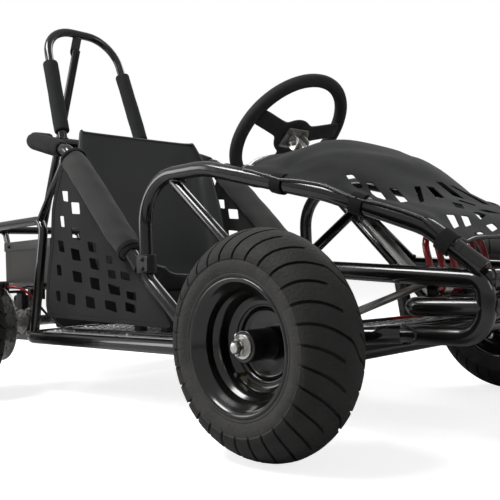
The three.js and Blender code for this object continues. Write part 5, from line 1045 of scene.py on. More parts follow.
# %% Nose frame
PEDAL_PIN = (112.0, 231.5)
NOSE_X, NOSE_Y, BUMPER_HEIGHTS, MID_X, LOOP_END = 240, 178, (243, 205), 118, 101.5
LOOP_TOP = (-140, FEET_WIDE, rail_height(-140))
LOOP_CORNERS = [LOOP_TOP, (-140, NOSE_Y, 273, 30), (NOSE_X, NOSE_Y, 243, 22), (NOSE_X, NOSE_Y, NOSE_Z, 60),
                (LOOP_END, NOSE_Y, NOSE_Z)]
nose = Shape()
for side, _ in SIDES:
    sweep(nose, bent_line(on_side(LOOP_CORNERS, side)), TUBE, 24)
    weld(on_side([LOOP_TOP], side)[0], (0, -side * 0.23, 0.97), TUBE, (1, 0, 0.08), TUBE)
    weld((LOOP_END, side * NOSE_Y, NOSE_Z), X_AXIS, TUBE, (0.7, side * 0.7, 0), TUBE)
for height in BUMPER_HEIGHTS:
    rod(nose, (NOSE_X, -NOSE_Y, height), (NOSE_X, NOSE_Y, height), TUBE, 24)
    for side, _ in SIDES:
        weld((NOSE_X, side * NOSE_Y, height), (0, -side, 0), TUBE, (0.2, 0, 1), TUBE)
sweep(nose, bent_line(mirrored([(NOSE_X, NOSE_Y, 205), (MID_X, NOSE_Y, 205, 20)])), TUBE, 24)
COLUMN_LEAN = math.radians(46)
COLUMN_WAY = Vector((math.cos(COLUMN_LEAN), 0, -math.sin(COLUMN_LEAN)))
WHEEL_UP = Vector((math.sin(COLUMN_LEAN), 0, math.cos(COLUMN_LEAN)))
WHEEL_CENTRE = Vector((-267, 0, 544))
COLUMN_END = WHEEL_CENTRE + COLUMN_WAY * (14 + 6 + 470)
lathe(nose, rounded([(10.2, 0), (18, 0), (18, 16), (10.2, 16)], 1), COLUMN_END - COLUMN_WAY * 16, COLUMN_WAY, 32)
foot_start = COLUMN_END - COLUMN_WAY * 8 + WHEEL_UP * 14
rod(nose, foot_start, (MID_X, 0, 205), THIN, 16)
rod(nose, (PEDAL_PIN[0], -105, PEDAL_PIN[1]), (PEDAL_PIN[0], 105, PEDAL_PIN[1]), 5, 16)
ear_outline = rounded([(-9.5, -26.5), (9.5, -26.5), (9.5, 4), (5, 9.5), (-5, 9.5), (-9.5, 4)], 2)
for y, thick in ((0, 24), (-102.5, 5), (102.5, 5)):
    slab(nose, ear_outline, thick, (PEDAL_PIN[0], y, PEDAL_PIN[1]), X_AXIS, Z_AXIS)
box(nose, (100, 116, 200), (16, 12, 12), 2)
dress("nose_frame_tubes", nose, gloss_black, "nose_frame")

# %% Roll bar with its hoop
GUARD_X, GUARD_END, GUARD_TOP = -896, -1272, 412
HOOP_TOP, HOOP_Z, BAR_BACK, BAR_Z = -1038, 944, -925, 610
STAY_PLACE = (-738, 228, 556)
bar = Shape()
bar_half = [(-462, RAIL_Y, 281), (*STAY_PLACE, 40), (BAR_BACK, 214, BAR_Z, 46)]
sweep(bar, bent_line(mirrored(bar_half)), TUBE, 26)
hoop_half = [(BAR_BACK, 126, BAR_Z), (HOOP_TOP, 108, HOOP_Z, 88)]
sweep(bar, bent_line(mirrored(hoop_half)), SLIM, 24)
for side, _ in SIDES:
    shoulder = on_side([STAY_PLACE], side)[0]
    rod(bar, shoulder, (GUARD_X, side * 215, GUARD_TOP), THIN, 18)
    weld((BAR_BACK, side * 126, BAR_Z), (-0.32, -side * 0.05, 0.94), SLIM, Y_AXIS, TUBE)
    weld(shoulder, (-0.73, -side * 0.06, -0.68), THIN, (-0.8, 0, 0.55), TUBE)
dress("roll_bar_tubes", bar, gloss_black, "roll_bar")

# %% Stay behind the hoop
stay = Shape()
stay_top, stay_foot = Vector((HOOP_TOP, 0, HOOP_Z)), Vector((GUARD_END, 0, GUARD_TOP))
stay_way = (stay_foot - stay_top).normalized()
stay_side = stay_way.cross(Y_AXIS)
rod(stay, stay_top + stay_way * 42, stay_foot - stay_way * 9, SLIM, 22)
tab = rounded([(0, -13), (52, -13), (62, -8), (62, 8), (52, 13), (0, 13)], 3)
slab(stay, tab, 5, stay_top + stay_side * -8.5, stay_way, Y_AXIS)
bolt(stay, stay_top + stay_way * 24 - stay_side * 11, -stay_side, 6, 2)
weld(stay_foot, -stay_way, SLIM, Y_AXIS, SLIM)
dress("hoop_stay_tube", stay, gloss_black, "hoop_stay")

# %% Rear guard
TRAY_Z, TRAY_END, TRAY_HALF, LINK_Y = AXLE_Z + 88, -1205, 190, 120
guard = Shape()
guard_half = [(GUARD_X, RAIL_Y, FRAME_Z), (GUARD_X, 204, GUARD_TOP, 40), (GUARD_END, 204, GUARD_TOP, 100)]
sweep(guard, bent_line(mirrored(guard_half)), SLIM, 24)
tray_front = RAIL_Y + (204 - RAIL_Y) * (TRAY_Z - 130) / (GUARD_TOP - 130)
sweep(guard, bent_line(mirrored([(GUARD_X, tray_front, TRAY_Z), (TRAY_END, TRAY_HALF, TRAY_Z, 40)])), THIN, 18)
cross_half = tray_front + (TRAY_HALF - tray_front) * (960 + GUARD_X) / (GUARD_X - TRAY_END)
rod(guard, (-960, -cross_half, TRAY_Z), (-960, cross_half, TRAY_Z), THIN, 16)
for side, _ in SIDES:
    rod(guard, (TRAY_END, side * LINK_Y, TRAY_Z), (GUARD_END, side * LINK_Y, GUARD_TOP), THIN, 16)
    weld((GUARD_X, side * RAIL_Y, FRAME_Z), (0, -side * 0.13, 0.99), SLIM, X_AXIS, TUBE)
    weld((GUARD_END, side * LINK_Y, GUARD_TOP), (0.38, 0, -0.92), THIN, Y_AXIS, SLIM)
    weld((TRAY_END, side * LINK_Y, TRAY_Z), (-0.38, 0, 0.92), THIN, Y_AXIS, THIN)
    weld((GUARD_X, side * tray_front, TRAY_Z), (-1, 0, 0), THIN, (0, -side * 0.13, 0.99), SLIM)
dress("rear_guard_tubes", guard, gloss_black, "rear_guard")
print("welded joints:", len(welds))

# %% [markdown]
# ## Tyres
# Each tyre has a round crown with thirty swept grooves. A groove starts at the shoulder, runs
# across the tread and turns more and more round the tyre. Every third groove goes on over the middle
# with a steep step, and the others stop short of it. The mesh columns follow the grooves, so their
# walls stay sharp with few faces. One tenth of the tyre is built, and the node tree sets ten round
# the axle.

# %% Tyre section and grooves
TYRE_PARTS, GROOVES_PER_PART, TREAD_EDGE = 10, 3, 10
SECTION_MIDDLE = 112
GROOVE_DEEP, SHOULDER_DEEP, GROOVE_STARTS = 4.6, 1.6, (0.0, 0.2, 0.29)
KNEE = 0.16
TYRE_PROFILE = [
    (82.0, 36.0), (86.4, 43.6), (90.6, 49.2), (94.6, 52.2), (97.8, 53.9), (100.2, 54.6), (101.6, 54.1),
    (108.0, 56.6), (116.0, 57.4), (120.2, 56.6), (122.4, 57.8), (129.0, 56.4), (137.0, 52.0), (145.0, 45.0),
    (152.0, 36.0), (157.6, 26.5), (161.6, 17.0), (164.0, 8.4), (165.0, 0.0),
]


def section_points():
    """Points over the whole tyre, outer bead to inner bead: radius, side (-1 outer), tread place."""
    outer = [(r, -y) for r, y in TYRE_PROFILE]
    dense = []
    for index, ((r0, y0), (r1, y1)) in enumerate(zip(outer, outer[1:])):
        on_tread = index >= TREAD_EDGE
        parts = 3 if on_tread else 1
        for share in (part / parts for part in range(parts)):
            dense.append((r0 + (r1 - r0) * share, y0 + (y1 - y0) * share, on_tread))
    dense.append((*outer[-1], True))
    both = dense + [(r, -y, tread) for r, y, tread in reversed(dense[:-1])]
    lengths = [0.0]
    for a, b in zip(both, both[1:]):
        lengths.append(lengths[-1] + math.hypot(b[0] - a[0], b[1] - a[1]))
    middle = lengths[-1] / 2
    reach = middle - lengths[next(i for i, p in enumerate(both) if p[2])]
    return [(r, y, (length - middle) / reach) for (r, y, _), length in zip(both, lengths)]


def swept_angle(across):
    """How far round the tyre, in degrees, the grooves have turned at a place across the tread."""
    place = min(abs(across), 1.0)
    inner = min(place, KNEE) / KNEE
    outer = max(0.0, place - KNEE) / (1 - KNEE)
    turned = 5.2 * math.sin(inner * math.pi / 2) + 19.0 * (outer - 0.42 * outer * outer)
    return math.copysign(turned, across)


def groove_depth(groove, across):
    """How deep a groove is at a place across the tread, fading on the wall and where it starts."""
    place, start = abs(across), GROOVE_STARTS[groove]
    if place > 1.0:
        return SHOULDER_DEEP * max(0.0, 1 - (place - 1.0) / 0.06)
    depth = GROOVE_DEEP * min(1.0, 0.5 + (1 - place) * 5)
    return depth * max(0.0, 1 - (start - place) / 0.05) if place < start else depth


def tyre_part(outer_side):
    """The points and faces of one tenth of the tyre, with a value that says what is side wall."""
    half_groove, slope = 0.56, 0.4
    pitch = 360 / TYRE_PARTS / GROOVES_PER_PART
    lands = [half_groove + slope, 2.4, 4.2, pitch - 4.2, pitch - 2.4, pitch - half_groove - slope]
    columns = []
    for groove in range(GROOVES_PER_PART):
        base = groove * pitch
        columns += [(base - half_groove, groove, 1.0), (base + half_groove, groove, 1.0)]
        columns.extend((base + land, groove, 0.0) for land in lands)
    columns.append((GROOVES_PER_PART * pitch - half_groove, 0, 1.0))
    rows = section_points()
    points, wall = [], []
    for angle, groove, cut in columns:
        for radius, y, across in rows:
            depth = groove_depth(groove, across) * cut
            along = math.hypot(radius - SECTION_MIDDLE, y)
            out_r, out_y = (radius - SECTION_MIDDLE) / along, y / along
            r = radius - out_r * depth
            turned = math.radians(angle - swept_angle(across))
            points.append((r * math.cos(turned), -outer_side * (y - out_y * depth), r * math.sin(turned)))
            wall.append(min(1.0, max(0.0, (abs(across) - 1.0) / 0.02)))
    count = len(rows)
    faces = [(c * count + i, c * count + i + 1, (c + 1) * count + i + 1, (c + 1) * count + i)
             for c in range(len(columns) - 1) for i in range(count - 1)]
    return points, wall, faces


def tyre_mesh(name, centre, outer_side):
    points, wall, faces = tyre_part(outer_side)
    mesh = plain_mesh(name + "_part", [metres(Vector(centre) + Vector(p)) for p in points], faces)
    mesh.attributes.new("wall", "FLOAT", "POINT").data.foreach_set("value", wall)
    whole = copied_round(mesh, centre, TYRE_PARTS, tyre_rubber, name)
    inner = Shape()
    half = [(82, 36), (86, 37), (94, 46), (116, 50), (140, 40), (156, 15)]
    lathe(inner, half + [(157, 0)] + [(r, -y) for r, y in reversed(half)], centre, Y_AXIS, 60, closed=False)
    lining = inner.mesh(name + "_inside", [tyre_rubber], outward=False)
    lining.attributes.new("wall", "FLOAT", "POINT")
    return joined_mesh(whole, lining, 34)


# %% Rims, nuts and tyres
RIM_HALF = [
    (96.4, 51.6), (96.6, 53.2), (95.2, 54.6), (92.8, 54.8), (90.2, 53.2), (87.6, 49.8), (84.8, 45.2), (81.6, 40.8),
    (79.0, 37.2), (77.6, 32.0), (77.0, 26.0), (72.0, 21.0), (69.4, 17.0), (69.0, 2.4),
]
RIM_BACK = [(69.0, -3.0)] + [(r, -y) for r, y in reversed(RIM_HALF[:-1])]
RIM_INSIDE = [(93.4, 51.8), (90.0, 48.4), (87.2, 43.8), (84.0, 39.4), (81.4, 35.6), (80.0, 26.0), (74.4, 19.4)]
RIM_UNDER = [(r, -y) for r, y in RIM_INSIDE] + [(71.6, -15.0), (71.4, 15.0)] + RIM_INSIDE[::-1]
RIM_WEB = [(65.6, 0.2), (61.4, -2.6), (57.0, -3.4), (54.0, -3.0), (51.4, -5.2), (49.2, -9.6), (46.0, -11.4),
           (22.2, -11.4), (22.2, -14.4), (47.6, -14.4), (51.4, -12.6), (54.4, -7.0), (57.0, -6.4), (62.4, -5.8),
           (67.6, -3.2)]
RIM_PROFILE = RIM_HALF + RIM_WEB + RIM_BACK + RIM_UNDER


def rim_mesh(name, centre, side, hub_half, bore):
    """A pressed rim with its hub, and the valve with its cap."""
    rim = Shape()
    way = Y_AXIS * side
    lathe(rim, rounded(RIM_PROFILE, 0.9, 2), centre, way, 96)
    hub = [(bore, hub_half), (21.4, hub_half), (22.4, hub_half - 1), (22.4, 1 - hub_half), (21.4, -hub_half),
           (bore, -hub_half)]
    lathe(rim, rounded(hub, 0.6, 2), centre, way, 48)
    rim.mark = 1
    seat = Vector(centre) + X_AXIS * -56 * 0.62 + Z_AXIS * -56 * 0.78
    rod(rim, seat + way * 0.5, seat + way * 17, 3.1, 14)
    rim.mark = 2
    rod(rim, seat + way * 15, seat + way * 23, 4.0, 14, 1.4)
    return rim.mesh(name, [gloss_black, brass, black_plastic], 30)


def castle_nut(name, face, side):
    """A washer and a nut with a crown of petals, split by slots for the pin."""
    nut = Shape()
    way = Y_AXIS * side
    lathe(nut, rounded([(9.6, 0), (17, 0), (17, 2.4), (9.6, 2.4)], 0.5), face, way, 40)
    lathe(nut, [(9.6, 2.4), (13.6, 2.4), (13.6, 7.6), (12.8, 8.6), (9.6, 8.6)], face, way, 6)
    for turn in turns(6, 0.5):
        out = round_axle(1, turn)
        cross = way.cross(out)
        slab(nut, rounded([(-4.0, 8.0), (4.0, 8.0), (3.4, 12.6), (-3.4, 12.6)], 0.8, 2), 2.0,
             Vector(face) + out * 10.9, cross, way)
    rod(nut, Vector(face) + way * 2, Vector(face) + way * 18, 7.4, 20, 1.6)
    pin = Vector(face) + way * 10.8
    rod(nut, pin - Z_AXIS * 13.6, pin + Z_AXIS * 15.4, 1.4, 8, 0.3)
    lathe(nut, circle(1.3, 8, (3.2, 0)), pin + Z_AXIS * 15.4, X_AXIS, 14)
    return nut.mesh(name, [bright_zinc], 32)


for side, word in SIDES:
    for end, x, half in (("front", 0, FRONT_HALF), ("rear", -WHEELBASE, REAR_HALF)):
        centre = (x, side * half, AXLE_Z)
        body = f"{word}_front_wheel" if end == "front" else "rear_axle_set"
        name = f"{word}_{end}"
        piece(f"{name}_tyre_tread", tyre_mesh(f"{name}_tyre_tread", centre, side), f"{name}_tyre", body=body)
        hub_half, bore = (39, 16.05) if end == "front" else (35, 12.55)
        steel = rim_mesh(f"{name}_rim_steel", centre, side, hub_half, bore)
        piece(f"{name}_rim_steel", steel, f"{name}_rim", body=body)
        face = (x, side * (half + hub_half + 0.1), AXLE_Z)
        nut_body = f"{word}_steering_knuckle" if end == "front" else "rear_axle_set"
        piece(f"{name}_wheel_nut", castle_nut(f"{name}_wheel_nut", face, side), f"{name}_castle_nut", body=nut_body)
print("wheels ready:", TYRE_PARTS * GROOVES_PER_PART, "grooves on each tyre")

# %% [markdown]
# ## Cloth and foam
# The net, the sleeve, the hood and the pads are soft. Woven cloth needs a flat map for its threads,
# so every soft piece carries a UV map called cloth, measured in metres. A panel is cut flat with its
# holes, laid on a curved surface and given a thickness. A soft tube is a foam or cloth sleeve round a
# bar, with folds pushed into it.

# %% Soft shapes
SOFT_SHARP = 60


class Soft:
    """Points, faces and a flat map in metres."""

    def __init__(self):
        self.points, self.faces, self.flat = [], [], []

    def face(self, corners, flat):
        self.faces.append(tuple(corners))
        self.flat.append([(u / 1000, v / 1000) for u, v in flat])

    def mesh(self, name, material):
        mesh = plain_mesh(name, [metres(p) for p in self.points], self.faces)
        layer = mesh.uv_layers.new(name="cloth")
        layer.data.foreach_set("uv", [value for face in self.flat for pair in face for value in pair])
        mesh.materials.append(material)
        tidy(mesh)
        return smoothed(mesh, SOFT_SHARP)


def between(table, x):
    """The values of a table of stations at a place between them."""
    for low, high in zip(table, table[1:]):
        if x <= high[0]:
            share = max(0.0, (x - low[0]) / (high[0] - low[0]))
            return [a + (b - a) * share for a, b in zip(low[1:], high[1:])]
    return list(table[-1][1:])


def laid(place, p):
    """The point on a curved surface and its normal there."""
    here = place(p)
    ahead = place((p[0] + 1.0, p[1]))
    across = place((p[0], p[1] + 1.0))
    return here, (ahead - here).cross(across - here).normalized()


def sewn(loop, place, lift):
    """A flat loop laid on a surface and lifted off it."""
    spots = [laid(place, p) for p in loop]
    return [here + normal * lift for here, normal in spots]


def panel(soft, outline, holes, spacing, place, thick):
    """Cloth cut flat and laid on a surface. Gives back the area of its flat cut in square metres."""
    loops = wound(outline, holes)
    found, faces = filled(loops[0], loops[1:], spacing)
    start = len(soft.points)
    number = len(found)
    spread = 0.0
    for sign in (1, -1):
        for p in found:
            here, normal = laid(place, p)
            soft.points.append(here + normal * (sign * thick / 2))
    for face in faces:
        flat = [tuple(found[i]) for i in face]
        soft.face([start + i for i in face], flat)
        soft.face([start + number + i for i in reversed(face)], list(reversed(flat)))
        a, b, c = (soft.points[start + face[i]] for i in (0, 1, 2))
        spread += (b - a).cross(c - a).length / 2
    sides = {}
    for face in faces:
        for here, after in zip(face, face[1:] + face[:1]):
            sides[(here, after)] = sides.get((here, after), 0) + 1
    for here, after in sides:
        if (after, here) not in sides:
            flat = [tuple(found[here]), tuple(found[after])]
            soft.face([start + here, start + after, start + number + after, start + number + here],
                      [flat[0], flat[1], flat[1], flat[0]])
    return spread / 1e6


def along(line, start, end, step=6.0):
    """The part of a line between two lengths, with even points."""
    lengths = run_lengths(line)
    count = max(2, round((end - start) / step))
    result = []
    for number in range(count + 1):
        goal = start + (end - start) * number / count
        index = max(i for i, length in enumerate(lengths[:-1]) if length <= goal + 1e-9)
        share = (goal - lengths[index]) / (lengths[index + 1] - lengths[index])
        result.append(line[index].lerp(line[index + 1], share))
    return result


def soft_tube(name, line, radius, bore, material, swell, sides=48, ends=4.0):
    """Foam or cloth round a bar. swell(along share, turn, length) gives the outer radius in shares."""
    soft = Soft()
    frames, lengths = ring_frames(line), run_lengths(line)
    last = len(line) - 1
    rings = []

    def ring(index, shift, size, outer):
        way, first, second = frames[index]
        start = len(soft.points)
        for step in range(sides):
            turn = 2 * math.pi * step / sides
            share = swell(lengths[index] / lengths[-1], turn, lengths[index]) if outer else 1.0
            reach = max(bore, size * share)
            soft.points.append(line[index] + way * shift + first * (reach * math.cos(turn))
                               + second * (reach * math.sin(turn)))
        rings.append((start, lengths[index] + shift, size))

    ring(0, 0, bore, False)
    for share in (0.3, 0.75):
        ring(0, ends * (1 - share) * 0.15, radius - ends * (1 - share), True)
    ring(0, ends * 0.45, radius - ends * 0.06, True)
    for index in range(1, last):
        ring(index, 0, radius, True)
    ring(last, -ends * 0.45, radius - ends * 0.06, True)
    for share in (0.75, 0.3):
        ring(last, -ends * (1 - share) * 0.15, radius - ends * (1 - share), True)
    for index in range(last, 0, -1):
        ring(index, 0, bore, False)
    run = 0.0
    for (low, low_at, low_size), (high, high_at, high_size) in zip(rings, rings[1:] + rings[:1]):
        grow = math.hypot(high_at - low_at, high_size - low_size)
        for step in range(sides):
            after = (step + 1) % sides
            u0, u1 = (2 * math.pi * radius * s / sides for s in (step, step + 1))
            soft.face([low + step, low + after, high + after, high + step],
                      [(u0, run), (u1, run), (u1, run + grow), (u0, run + grow)])
        run += grow
    return soft.mesh(name, material)


def wrap(name, line, radius, bore, material, swell, *nodes, ends=4.0, slot=None):
    """A soft tube as a finished piece."""
    return piece(name, soft_tube(name, line, radius, bore, material, swell, ends=ends), *nodes, slot=slot)


stitch = blob("stitch_shape", (1.7, 0.45, 0.4), 3, 6)
weld_bead = blob("weld_bead_shape", (1.5, 2.6, 2.2), 4, 7)


# %% [markdown]
# ## Side nets, sleeves and pads
# A padded sleeve is wrapped round each slanted bar. The side net is sewn to it and hangs to the
# floor, with some twenty cut holes, so that nothing gets from the cockpit to the wheels. Dark pads
# cover the two corners behind the shoulders, and foam tubes cover the legs of the hoop.

# %% Padding on the bars
bar_line = bent_line(bar_half)
SLEEVE_START, SLEEVE_END = 44.0, 363.8


def folds(amount, seam_turn, seed):
    """A pattern of soft folds for a tube: long waves, twisted creases and one deep seam."""
    phase = seed * 1.7

    def swell(share, turn, length):
        ends = math.exp(-(share / 0.16) ** 2) + 0.6 * math.exp(-((share - 1.0) / 0.12) ** 2)
        crease = math.sin(length / 11 + 2.2 * math.sin(turn + phase)) * math.sin(2 * turn + phase + length / 60)
        wave = math.sin(length / 34 + phase) * math.cos(turn - phase) + 0.5 * math.sin(length / 71 + 3 * turn)
        seam = math.exp(-(math.sin((turn - seam_turn) / 2) / 0.07) ** 2)
        taper = 0.17 * max(0.0, 1 - length / 42) ** 1.4
        return (1 - amount * (0.5 + 0.5 * crease) * (0.4 + 1.1 * ends) - amount * 0.5 * (0.5 + 0.5 * wave)
                - 0.05 * seam - taper)

    return swell


def snug(share, turn, length):
    """A pulled strap or hem: nearly round, with three faint tucks."""
    return 0.985 - 0.012 * math.sin(3 * turn + length / 5)


def foam(share, turn, length):
    """Foam pressed over a tube: shallow dents and one glued seam."""
    dent = 0.012 * math.sin(length / 23 + 2 * turn) + 0.008 * math.sin(length / 9 - 3 * turn)
    seam = 0.045 * math.exp(-(math.sin((turn - 1.1) / 2) / 0.05) ** 2)
    return 0.985 + dent - seam


SHOULDER = bar_half + [(BAR_BACK, 166, BAR_Z)]
SHOULDER_START = (Vector(STAY_PLACE) - Vector(bar_half[0])).length + 28
for number, (side, word) in enumerate(SIDES):
    half = [Vector((p.x, p.y * side, p.z)) for p in bar_line]
    sleeve = wrap(f"{word}_sleeve_cloth", along(half, SLEEVE_START, SLEEVE_END, 4.0), 29.6, TUBE + 0.4,
                  sleeve_cloth, folds(0.1, 2.4, 1 + number), f"{word}_bar_sleeve")
    for name, start, end, radius, bore in (("strap", SLEEVE_START + 4, SLEEVE_START + 15, 26.6, 21.5),
                                           ("collar", SLEEVE_END - 9, SLEEVE_END - 1, 29.5, 25.5)):
        wrap(f"{word}_sleeve_{name}", along(half, start, end, 4.0), radius, bore, strap_web, snug, ends=1.6,
             slot="pad_cloth")
    corner = bent_line(on_side(SHOULDER, side))
    pad = wrap(f"{word}_shoulder_foam", along(corner, SHOULDER_START, run_lengths(corner)[-1], 4.0), 21.8,
               TUBE + 0.4, shoulder_cloth, folds(0.03, 4.0, 4 + number), f"{word}_shoulder_pad", ends=6.0)
    tube = wrap(f"{word}_hoop_foam", along(bent_line(on_side(hoop_half, side)), 34, 240, 4.0), 19.6, SLIM + 0.4,
                foam_cloth, foam, f"{word}_hoop_pad", ends=5.0)

# %% Side nets
NET_Y = 240.0
NET_OUTLINE = [
    (-735, 545), (-752, 522), (-784, 462), (-800, 428), (-807, 396), (-813, 346), (-824, 311), (-832, 250),
    (-834, 205), (-829, 182), (-800, 178), (-586, 171), (-390, 164), (-376, 168), (-398, 208), (-430, 255),
    (-452, 284), (-482, 303),
]
NET_HOLES = [
    (-738, 452, 0.75), (-694, 421, 1.0), (-757, 397, 0.8), (-696, 364, 0.95), (-765, 341, 1.0), (-634, 332, 0.85),
    (-703, 318, 1.0), (-628, 295, 1.0), (-777, 287, 0.8), (-701, 269, 0.95), (-630, 253, 1.0), (-568, 302, 0.6),
    (-562, 272, 0.7), (-516, 266, 0.75), (-556, 240, 1.0), (-497, 226, 0.8), (-780, 227, 0.7), (-729, 220, 0.9),
    (-652, 213, 1.0), (-573, 206, 1.0), (-502, 202, 0.95),
]
HOLE_SIZES = [(-810, 22, 29), (-755, 25, 27), (-735, 33, 27), (-700, 36, 26), (-640, 38, 25), (-560, 39, 21),
              (-480, 39, 18.5)]


def torn_hole(x, z, size, seed):
    """A cut hole of the net: lower and wider towards the front, leaning back, with uneven edges."""
    chance = random.Random(seed)
    wide, tall = between(HOLE_SIZES, x)
    wide, tall = wide * size / 2, tall * (0.5 + 0.5 * size) / 2
    corners = []
    for across, up in ((-1, -1), (1, -1), (1, 1), (-1, 1)):
        u = across * wide + chance.uniform(-1.6, 1.6)
        v = up * tall + chance.uniform(-1.2, 1.2)
        corners.append((x + u - 0.16 * v, z + v - 0.15 * u))
    return rounded(corners, 2.6, 2)


def net_place(side):
    def place(p):
        x, z = p
        sag = 2.2 * math.sin((x + z) / 58) + 1.4 * math.sin((x - 0.6 * z) / 31)
        edge = min(1.0, max(0.0, (z - 163) / 60))
        return Vector((x, side * (NET_Y - 2.5 + sag * edge * 0.9), z))
    return place


for number, (side, word) in enumerate(SIDES):
    place = net_place(side)
    holes = [torn_hole(x, z, size, 40 + i) for i, (x, z, size) in enumerate(NET_HOLES)]
    cloth = Soft()
    flat_area = panel(cloth, NET_OUTLINE, holes, 13.0, place, 1.6)
    hem_inner = inset_loop(loop_points(NET_OUTLINE, 14), 12)
    panel(cloth, loop_points(NET_OUTLINE, 14), [hem_inner], None, place, 3.0)
    net = piece(f"{word}_net_cloth", cloth.mesh(f"{word}_net_cloth", net_cloth), f"{word}_side_net")
    seams = [sewn(inset_loop(loop_points(NET_OUTLINE, 10), depth), place, 1.6 * face_side)
             for depth in (3.0, 9.5) for face_side in (1, -1)]
    piece(f"{word}_net_stitches", copied_along(seams, stitch, 4.6, strap_web, f"{word}_net_stitches", 0.1))
print("nets:", round(flat_area, 4), "square metres each")

# %% [markdown]
# ## Hood
# The hood is a tent of cloth over the driver's legs. It is highest just before the steering wheel,
# falls steeply over the pedals and lies flat at the nose. Its rear hem dips in a notch under the
# steering column, and webbing straps hold its sides to the rails.

# %% Hood
RAIL_RUN = [(-262, 456, 238), (0, 385, 215), (160, 322, 190), (240, 257, 178)]
HOOD_RISE = [(-240, 28), (-215, 37), (-180, 52), (-145, 67), (-103, 74), (-53, 74), (15, 58), (59, 27), (85, 13),
             (120, 8), (210, 6)]
HOOD_REAR = [(-165, 238), (-186, 190), (-205, 138), (-224, 92), (-236, 58), (-229, 27), (-211, 14), (-194, 4)]
STRAP_PLACES = (-92, 55, 190)
RAIL_LIE = 15.8
HOLE_SHIFT = 14


def side_turn(y):
    """The hood's two sides don't fold alike."""
    return 0.0 if y < 0 else 1.9


def hood_place(p):
    x, y = p
    rail_z, half = between(RAIL_RUN, x)
    rise = sum(between(HOOD_RISE, x + shift)[0] for shift in (-14, -7, 0, 7, 14)) / 5
    share = min(1.0, abs(y) / half)
    rear = min(1.0, max(0.0, (-110 - x) / 90))
    rear_crown = math.cos(math.pi / 2 * min(1.0, share / 0.92)) ** 1.5
    dip = 20 * math.exp(-(y / 38) ** 2) * math.exp(-((x + 230) / 42) ** 2)
    crown = rise * ((1 - rear) * (1 - share ** 2.2) + rear * rear_crown) - dip
    inward = half - abs(y)
    if inward < 0:
        return Vector((x, y, rail_z + math.sqrt(max(30.0, RAIL_LIE ** 2 - inward ** 2))))
    ripple = (2.6 * math.sin(x / 27 + y / 47) + 1.5 * math.sin(x / 13 - y / 31)) * min(1.0, (1 - share) * 6)
    folds_down = 3.4 * math.exp(-((x - 10 + 0.55 * abs(y)) / 15) ** 2) * (1 - share)
    pulled = sum(4.6 * math.exp(-((x - place + slant * inward) / (7 + inward / 8)) ** 2)
                 for place in STRAP_PLACES for slant in (-0.8, 0.1, 0.95)) * math.exp(-inward / 62)
    valley = 4.5 * math.exp(-((inward - 30) / 15) ** 2) * (0.6 + 0.4 * math.sin(x / 37 + side_turn(y)))
    sunk = folds_down + (pulled + valley) * min(1.0, inward / 20)
    return Vector((x, y, rail_z + RAIL_LIE + crown + ripple * 0.75 - sunk))


right_run = [(x, -between(RAIL_RUN, x)[1] - 14.8 + 4.5 * abs(math.sin((x - 55) / 141 * math.pi)))
             for x in (206, 190, *range(160, -150, -30), -160)]
half_outline = right_run + [(x, -y) for x, y in HOOD_REAR]
hood_outline = half_outline + [(x, -y) for x, y in reversed(half_outline)]
HOOD_HOLES = [
    [(8, -177), (13, -166), (28, -171), (40, -174), (41, -185), (28, -187)],
    [(38, -165), (42, -152), (62, -159), (77, -166), (73, -178), (57, -174)],
    [(62, -138), (67, -122), (107, -150), (103, -166)],
    [(69, -76), (70, -58), (108, -108), (112, -128)],
    [(68, -38), (69, -14), (96, -26), (101, -60)],
    [(108, -27), (115, -5), (133, -30), (127, -47)],
    [(160, -136), (161, -112), (180, -132), (184, -156)],
    [(162, -96), (164, -76), (179, -94), (182, -119)],
    [(150, -36), (147, -12), (163, -16), (172, -54)],
    [(182, -58), (180, -30), (191, -34), (196, -64)],
    [(196, -122), (192, -92), (199, -92), (200, -122)],
]
hood_holes = [rounded(loop, 3.0, 2) for hole in HOOD_HOLES
              for loop in (hole, [(x - HOLE_SHIFT, -y) for x, y in reversed(hole)])]
hood_soft = Soft()
hem = loop_points(hood_outline, 12)
hood_area = panel(hood_soft, hem, hood_holes, 12.0, hood_place, 1.8)
panel(hood_soft, hem, [inset_loop(hem, 13)], None, hood_place, 3.2)
hood = piece("hood_cloth_panel", hood_soft.mesh("hood_cloth_panel", hood_cloth), "hood_cover")
piping = Shape()
sweep(piping, [laid(hood_place, p)[0] for p in loop_points(hood_outline, 7)], 3.1, 10, closed=True)
dress("hood_piping", piping, piping_vinyl)
seams = [sewn(inset_loop(loop_points(hood_outline, 9), 10), hood_place, 1.7)]
piece("hood_stitches", copied_along(seams, stitch, 4.6, strap_web, "hood_stitches", 0.1))

# %% Hood straps
STRAP_SECTION = [(15.2, -11), (17.6, -11), (18.2, 0), (17.6, 11), (15.2, 11), (14.6, 0)]
STRAP_SIDES, WEAVE, STRAP_RADIUS = 28, 7, 17
for side, word in SIDES:
    straps = Soft()
    for x in STRAP_PLACES:
        (rail_z, half), (ahead_z, ahead_half) = between(RAIL_RUN, x), between(RAIL_RUN, x + 1)
        centre = Vector((x, side * half, rail_z))
        way = Vector((1, side * (ahead_half - half), ahead_z - rail_z)).normalized()
        first, second = beside(way)
        start, count = len(straps.points), len(STRAP_SECTION)
        for turn in turns(STRAP_SIDES):
            out = first * math.cos(turn) + second * math.sin(turn)
            straps.points.extend(centre + out * r + way * a for r, a in STRAP_SECTION)
        for step in range(STRAP_SIDES):
            low, high = start + step * count, start + (step + 1) % STRAP_SIDES * count
            u = 2 * math.pi * STRAP_RADIUS * step / STRAP_SIDES
            for index in range(count):
                after, v = (index + 1) % count, index * WEAVE
                straps.face([low + index, low + after, high + after, high + index],
                            [(u, v), (u, v + WEAVE), (u + 4, v + WEAVE), (u + 4, v)])
    piece(f"{word}_hood_straps", straps.mesh(f"{word}_hood_straps", strap_web))
